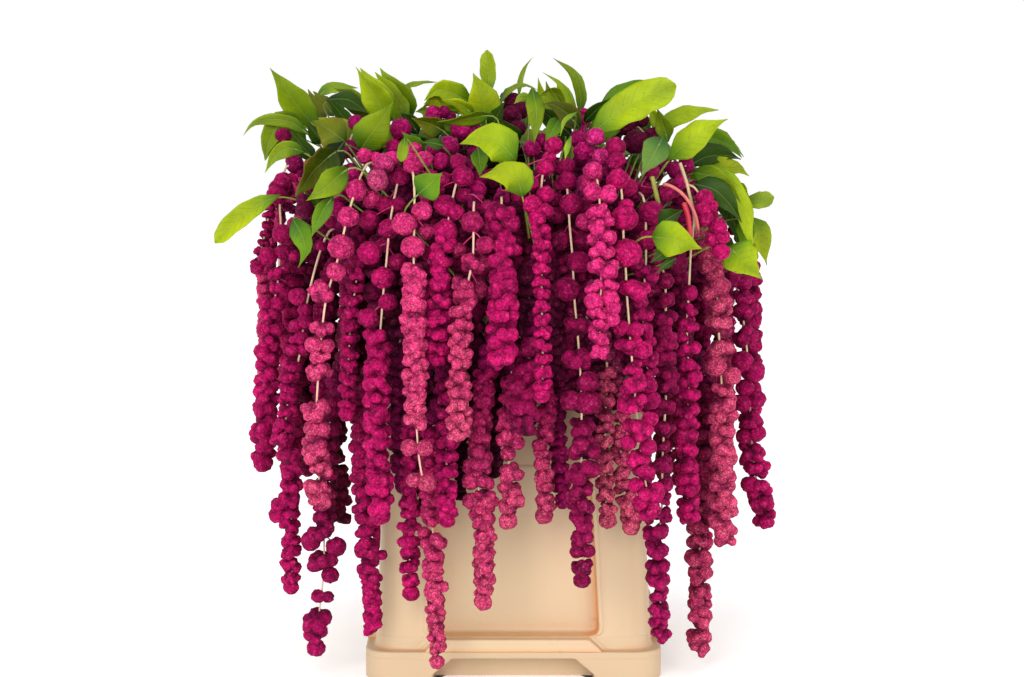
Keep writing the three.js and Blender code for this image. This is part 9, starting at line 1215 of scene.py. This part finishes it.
        # mirror in x, then in the diagonal, for the whole side from corner to corner
        right = side
        left = [(-x, y, ee) for x, y, ee in side[1:]][::-1]
        full = left + right  # from the left diagonal to the right one
        ring = []
        for turn in range(4):
            c, s = (1, 0, -1, 0)[turn], (0, 1, 0, -1)[turn]
            for x, y, ee in full[:-1]:
                ring.append((x * c - y * s, x * s + y * c, z, ee))
        ring = np.array(ring)
        ring_n = len(ring)
        verts.append(ring[:, :3])
        cols.append(ring[:, 3])
    v = np.concatenate(verts)
    ee = np.clip(np.concatenate(cols), 0, 1)[:, None]
    n = len(rows)
    k = np.arange(n - 1)[:, None] * ring_n
    j = np.arange(ring_n)[None]
    j2 = (j + 1) % ring_n
    quads = np.stack([k + j, k + j2, k + ring_n + j2, k + ring_n + j], -1).reshape(-1, 4)
    v = np.vstack([v, [0, 0, 0.0], [0, 0, FLOOR]])
    c0, c1 = n * ring_n, n * ring_n + 1
    j = np.arange(ring_n)
    j2 = (j + 1) % ring_n
    fan = np.vstack([np.stack([j2, j, np.full(ring_n, c0)], -1), np.stack([(n - 1) * ring_n + j, (n - 1) * ring_n + j2, np.full(ring_n, c1)], -1)])
    # orange by e: stain and painted shade along the edges and in the recess
    col = base * (1 - 0.75 * ee) + warm * 0.75 * ee
    # painted shade: the foot, below z 31, is darker at 0.88
    low = (v[:len(ee), 2] < 31)[:, None]
    col = np.vstack([col * np.where(low, 0.88, 1.0), base, base])
    mark = np.vstack([ee, [[0], [0]]]) * [1.0, 0, 0]
    soup.add(v, [quads, fan], col, 0, mark)
    ob = soup.make("bucket_moulding", [MAT_PLASTIC])
    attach(ob, "root")
    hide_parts("bucket")
    return ob


# ---- materials ------------------------------------------------------------
def new_material(name):
    m = bpy.data.materials.new(name)
    m.use_nodes = True
    nt = m.node_tree
    return m, nt, nt.nodes["Principled BSDF"]


def node(nt, kind, **kw):
    n = nt.nodes.new(kind)
    for key, val in kw.items():
        setattr(n, key, val)
    return n


def math_node(nt, op, a, b=None, clamp=False):
    n = nt.nodes.new("ShaderNodeMath")
    n.operation = op
    n.use_clamp = clamp
    for i, val in enumerate((a, b)):
        if val is None:
            continue
        if isinstance(val, (int, float)):
            n.inputs[i].default_value = val
        else:
            nt.links.new(val, n.inputs[i])
    return n.outputs[0]


def map_range(nt, val, a, b, c, d):
    n = nt.nodes.new("ShaderNodeMapRange")
    nt.links.new(val, n.inputs["Value"])
    for key, x in (("From Min", a), ("From Max", b), ("To Min", c), ("To Max", d)):
        n.inputs[key].default_value = x
    return n.outputs[0]


def mix_colour(nt, fac, a, b, blend="MIX"):
    n = nt.nodes.new("ShaderNodeMix")
    n.data_type = "RGBA"
    n.blend_type = blend
    for i, val in ((0, fac), (6, a), (7, b)):
        if isinstance(val, (int, float)):
            n.inputs[i].default_value = val
        elif isinstance(val, tuple):
            n.inputs[i].default_value = (*val, 1.0)
        else:
            nt.links.new(val, n.inputs[i])
    return n.outputs[2]


def tint_of(nt):
    a = node(nt, "ShaderNodeAttribute", attribute_name="tint")
    return a.outputs["Color"]


def florets():
    m, nt, p = new_material("floret_velvet")
    co = node(nt, "ShaderNodeTexCoord").outputs["Object"]
    vo = node(nt, "ShaderNodeTexVoronoi", feature="F1")
    vo.inputs["Scale"].default_value = 820.0
    vo.inputs["Randomness"].default_value = 1.0
    nt.links.new(co, vo.inputs["Vector"])
    dist = vo.outputs["Distance"]
    # painted light and shade: each floret is light at its tip and falls off into a dark gap, and each larger clump the
    # same
    fine = map_range(nt, dist, 0.1, 0.7, 1.24, 0.6)
    v2 = node(nt, "ShaderNodeTexVoronoi", feature="F1")
    v2.inputs["Scale"].default_value = 340.0
    nt.links.new(co, v2.inputs["Vector"])
    dist2 = v2.outputs["Distance"]
    grain = math_node(nt, "MULTIPLY", fine, map_range(nt, dist2, 0.1, 0.75, 1.2, 0.6))
    no = node(nt, "ShaderNodeTexNoise")
    no.inputs["Scale"].default_value = 170.0
    no.inputs["Detail"].default_value = 1.0
    nt.links.new(co, no.inputs["Vector"])
    patch = map_range(nt, no.outputs["Fac"], 0.3, 0.7, 0.78, 1.24)
    both = math_node(nt, "MULTIPLY", grain, patch)
    grey = node(nt, "ShaderNodeCombineColor")
    for i in range(3):
        nt.links.new(both, grey.inputs[i])
    base = mix_colour(nt, 1.0, tint_of(nt), grey.outputs[0], "MULTIPLY")
    # pale cream and pink points among the florets
    sep = node(nt, "ShaderNodeSeparateColor")
    nt.links.new(vo.outputs["Color"], sep.inputs[0])
    # paler tassels carry more of them
    own = node(nt, "ShaderNodeSeparateColor")
    nt.links.new(tint_of(nt), own.inputs[0])
    many = math_node(nt, "MULTIPLY", own.outputs[1], 7.0)
    speck = math_node(nt, "SUBTRACT", math_node(nt, "ADD", sep.outputs[0], many), 0.93)
    speck = math_node(nt, "MULTIPLY", speck, 9.0, True)
    speck = math_node(nt, "MULTIPLY", speck, math_node(nt, "ADD", math_node(nt, "MULTIPLY", own.outputs[1], 8.0), 0.2), True)
    core = map_range(nt, dist, 0.2, 0.5, 1.0, 0.0)
    speck = math_node(nt, "MULTIPLY", speck, core)
    base = mix_colour(nt, speck, base, (0.70, 0.32, 0.26))
    nt.links.new(base, p.inputs["Base Color"])
    bump = node(nt, "ShaderNodeBump")
    bump.inputs["Strength"].default_value = 0.55
    bump.inputs["Distance"].default_value = 0.0014
    h = map_range(nt, dist2, 0.0, 0.8, 1.0, 0.0)
    nt.links.new(h, bump.inputs["Height"])
    nt.links.new(bump.outputs[0], p.inputs["Normal"])
    p.inputs["Roughness"].default_value = 0.75
    p.inputs["Specular IOR Level"].default_value = 0.08
    p.inputs["Sheen Weight"].default_value = 0.09
    p.inputs["Sheen Roughness"].default_value = 0.28
    p.inputs["Sheen Tint"].default_value = (1.0, 0.22, 0.5, 1.0)
    return m


def stalk_material(name, rough, scale):
    m, nt, p = new_material(name)
    co = node(nt, "ShaderNodeTexCoord").outputs["Object"]
    mp = node(nt, "ShaderNodeMapping")
    mp.inputs["Scale"].default_value = (1.0, 1.0, 0.12)
    nt.links.new(co, mp.inputs["Vector"])
    no = node(nt, "ShaderNodeTexNoise")
    no.inputs["Scale"].default_value = scale
    no.inputs["Detail"].default_value = 3.0
    nt.links.new(mp.outputs[0], no.inputs["Vector"])
    f = map_range(nt, no.outputs["Fac"], 0.3, 0.7, 0.8, 1.15)
    grey = node(nt, "ShaderNodeCombineColor")
    for i in range(3):
        nt.links.new(f, grey.inputs[i])
    base = mix_colour(nt, 1.0, tint_of(nt), grey.outputs[0], "MULTIPLY")
    nt.links.new(base, p.inputs["Base Color"])
    bump = node(nt, "ShaderNodeBump")
    bump.inputs["Strength"].default_value = 0.3
    bump.inputs["Distance"].default_value = 0.0003
    nt.links.new(no.outputs["Fac"], bump.inputs["Height"])
    nt.links.new(bump.outputs[0], p.inputs["Normal"])
    p.inputs["Roughness"].default_value = rough
    return m


def blades():
    m, nt, p = new_material("leaf_blade")
    at = node(nt, "ShaderNodeAttribute", attribute_name="blade")
    sep = node(nt, "ShaderNodeSeparateXYZ")
    nt.links.new(at.outputs["Vector"], sep.inputs[0])
    x, v, au = sep.outputs
    ax = math_node(nt, "ABSOLUTE", x)
    # pale midrib, a little wider at the base
    wid = map_range(nt, v, 0.0, 1.0, 0.09, 0.03)
    rib = math_node(nt, "DIVIDE", ax, wid)
    rib = map_range(nt, rib, 0.55, 1.1, 1.0, 0.0)
    # side veins run forward to the margin
    q = math_node(nt, "SUBTRACT", math_node(nt, "MULTIPLY", v, 8.0), math_node(nt, "MULTIPLY", au, 1.5))
    fr = math_node(nt, "FRACT", q)
    dv = math_node(nt, "ABSOLUTE", math_node(nt, "SUBTRACT", fr, 0.5))
    vein = map_range(nt, dv, 0.43, 0.5, 0.0, 1.0)
    fade = map_range(nt, au, 0.75, 1.0, 1.0, 0.25)
    vein = math_node(nt, "MULTIPLY", vein, fade)
    co = node(nt, "ShaderNodeTexCoord").outputs["Object"]
    no = node(nt, "ShaderNodeTexNoise")
    no.inputs["Scale"].default_value = 55.0
    no.inputs["Detail"].default_value = 4.0
    nt.links.new(co, no.inputs["Vector"])
    vo = node(nt, "ShaderNodeTexVoronoi", feature="DISTANCE_TO_EDGE")
    vo.inputs["Scale"].default_value = 420.0
    nt.links.new(co, vo.inputs["Vector"])
    net = map_range(nt, vo.outputs["Distance"], 0.0, 0.12, 0.92, 1.0)
    f = map_range(nt, no.outputs["Fac"], 0.3, 0.7, 0.84, 1.14)
    f = math_node(nt, "MULTIPLY", f, net)
    grey = node(nt, "ShaderNodeCombineColor")
    for i in range(3):
        nt.links.new(f, grey.inputs[i])
    base = mix_colour(nt, 1.0, tint_of(nt), grey.outputs[0], "MULTIPLY")
    light = mix_colour(nt, 0.45, tint_of(nt), (0.50, 0.66, 0.16))
    base = mix_colour(nt, math_node(nt, "MULTIPLY", vein, 0.12), base, light)
    base = mix_colour(nt, math_node(nt, "MULTIPLY", rib, 0.24), base, light)
    nt.links.new(base, p.inputs["Base Color"])
    hgt = math_node(nt, "SUBTRACT", 1.0, math_node(nt, "MAXIMUM", rib, math_node(nt, "MULTIPLY", vein, 0.7)))
    hgt = math_node(nt, "ADD", hgt, math_node(nt, "MULTIPLY", vo.outputs["Distance"], 0.25))
    bump = node(nt, "ShaderNodeBump")
    bump.inputs["Strength"].default_value = 0.6
    bump.inputs["Distance"].default_value = 0.0008
    nt.links.new(hgt, bump.inputs["Height"])
    nt.links.new(bump.outputs[0], p.inputs["Normal"])
    p.inputs["Roughness"].default_value = 0.46
    p.inputs["Specular IOR Level"].default_value = 0.14
    return m


def plastic():
    m, nt, p = new_material("beige_moulding")
    co = node(nt, "ShaderNodeTexCoord").outputs["Object"]
    mp = node(nt, "ShaderNodeMapping")
    mp.inputs["Scale"].default_value = (1.0, 1.0, 0.35)
    nt.links.new(co, mp.inputs["Vector"])
    no = node(nt, "ShaderNodeTexNoise")
    no.inputs["Scale"].default_value = 9.0
    no.inputs["Detail"].default_value = 4.0
    nt.links.new(mp.outputs[0], no.inputs["Vector"])
    f = map_range(nt, no.outputs["Fac"], 0.35, 0.68, 0.0, 0.2)
    base = mix_colour(nt, f, tint_of(nt), (0.66, 0.42, 0.28))
    # faint upright streaks
    ms = node(nt, "ShaderNodeMapping")
    ms.inputs["Scale"].default_value = (1.0, 1.0, 0.07)
    nt.links.new(co, ms.inputs["Vector"])
    n0 = node(nt, "ShaderNodeTexNoise")
    n0.inputs["Scale"].default_value = 42.0
    n0.inputs["Detail"].default_value = 3.0
    nt.links.new(ms.outputs[0], n0.inputs["Vector"])
    streak = map_range(nt, n0.outputs["Fac"], 0.45, 0.72, 0.0, 0.2)
    base = mix_colour(nt, streak, base, (0.62, 0.36, 0.26))
    n2 = node(nt, "ShaderNodeTexNoise")
    n2.inputs["Scale"].default_value = 38.0
    n2.inputs["Detail"].default_value = 6.0
    n2.inputs["Roughness"].default_value = 0.65
    nt.links.new(co, n2.inputs["Vector"])
    at = node(nt, "ShaderNodeAttribute", attribute_name="blade")
    ed = node(nt, "ShaderNodeSeparateXYZ")
    nt.links.new(at.outputs["Vector"], ed.inputs[0])
    # dirt specks, a little more where the bucket's orange edge tint (stain and painted shade) lies
    worn = math_node(nt, "ADD", n2.outputs["Fac"], math_node(nt, "MULTIPLY", ed.outputs[0], 0.1))
    dirt = map_range(nt, worn, 0.64, 0.78, 0.0, 0.34)
    base = mix_colour(nt, dirt, base, (0.36, 0.19, 0.08))
    nt.links.new(base, p.inputs["Base Color"])
    n3 = node(nt, "ShaderNodeTexNoise")
    n3.inputs["Scale"].default_value = 900.0
    nt.links.new(co, n3.inputs["Vector"])
    bump = node(nt, "ShaderNodeBump")
    bump.inputs["Strength"].default_value = 0.12
    bump.inputs["Distance"].default_value = 0.0002
    nt.links.new(n3.outputs["Fac"], bump.inputs["Height"])
    nt.links.new(bump.outputs[0], p.inputs["Normal"])
    nt.links.new(map_range(nt, n2.outputs["Fac"], 0.3, 0.7, 0.38, 0.52), p.inputs["Roughness"])
    p.inputs["Subsurface Weight"].default_value = 0.0
    return m


MAT_FLORET = florets()
MAT_RACHIS = stalk_material("tassel_axis", 0.5, 400.0)
MAT_STALK = stalk_material("green_stalk", 0.45, 300.0)
MAT_LEAF = blades()
MAT_PLASTIC = plastic()

# ---- pieces ---------------------------------------------------------------
pieces = [bucket()]
pieces += [stem(k, s) for k, s in enumerate(STEMS)]
pieces += finish_heads([seed_head(k, h) for k, h in enumerate(HEADS)])
tris = {o.name: sum(len(q.vertices) - 2 for q in o.data.polygons) for o in pieces}
print("TRIANGLES", sum(tris.values()), "largest", max(tris.values()), "bucket", tris["bucket_moulding"], "stems", sum(v for n, v in tris.items() if n.startswith("leafy")))

# ---- floor, light and camera ----------------------------------------------
me = bpy.data.meshes.new("floor")
S = 6.0
me.from_pydata([(-S, -S, 0), (S, -S, 0), (S, S, 0), (-S, S, 0)], [], [(0, 1, 2, 3)])
floor = bpy.data.objects.new("floor", me)
bpy.context.scene.collection.objects.link(floor)
fm, fnt, fp = new_material("floor_white")
fp.inputs["Base Color"].default_value = (0.9, 0.9, 0.9, 1)
fp.inputs["Roughness"].default_value = 0.9
fp.inputs["Specular IOR Level"].default_value = 0.1
fp.inputs["Emission Color"].default_value = (1, 1, 1, 1)
fp.inputs["Emission Strength"].default_value = 0.28
me.materials.append(fm)

world = bpy.data.worlds.new("studio")
world.use_nodes = True
bg = world.node_tree.nodes["Background"]
bg.inputs["Color"].default_value = (1, 1, 1, 1)
bg.inputs["Strength"].default_value = 1.0
bpy.context.scene.world = world


def area(name, loc, target, size, power, colour=(1, 1, 1)):
    li = bpy.data.lights.new(name, "AREA")
    li.shape = "SQUARE"
    li.size = size
    li.energy = power
    li.color = colour
    ob = bpy.data.objects.new(name, li)
    ob.location = loc
    d = np.array(target, float) - np.array(loc, float)
    d /= np.linalg.norm(d)
    pitch = math.atan2(math.hypot(d[0], d[1]), -d[2])
    yaw = math.atan2(d[0], -d[1])
    ob.rotation_euler = (pitch, 0, math.atan2(d[1], d[0]) - math.pi / 2)
    bpy.context.scene.collection.objects.link(ob)
    return ob


area("key", (-0.9, -2.9, 1.5), (0, 0, 0.3), 1.6, 52)
area("fill", (1.6, -2.4, 0.9), (0, 0, 0.3), 1.8, 14)

cam = bpy.data.cameras.new("camera")
cam.lens = 2359.0 / 1024.0 * 36.0
cam.sensor_width = 36.0
cam_ob = bpy.data.objects.new("camera", cam)
cam_ob.location = (-0.0014, -2.449, 0.6285)
cam_ob.rotation_euler = (math.radians(83.0), 0, 0)
bpy.context.scene.collection.objects.link(cam_ob)
bpy.context.scene.camera = cam_ob

scene = bpy.context.scene
scene.view_settings.view_transform = "Standard"
scene.view_settings.look = "None"
scene.view_settings.exposure = 0.0
scene.view_settings.gamma = 1.0

bpy.context.view_layer.update()
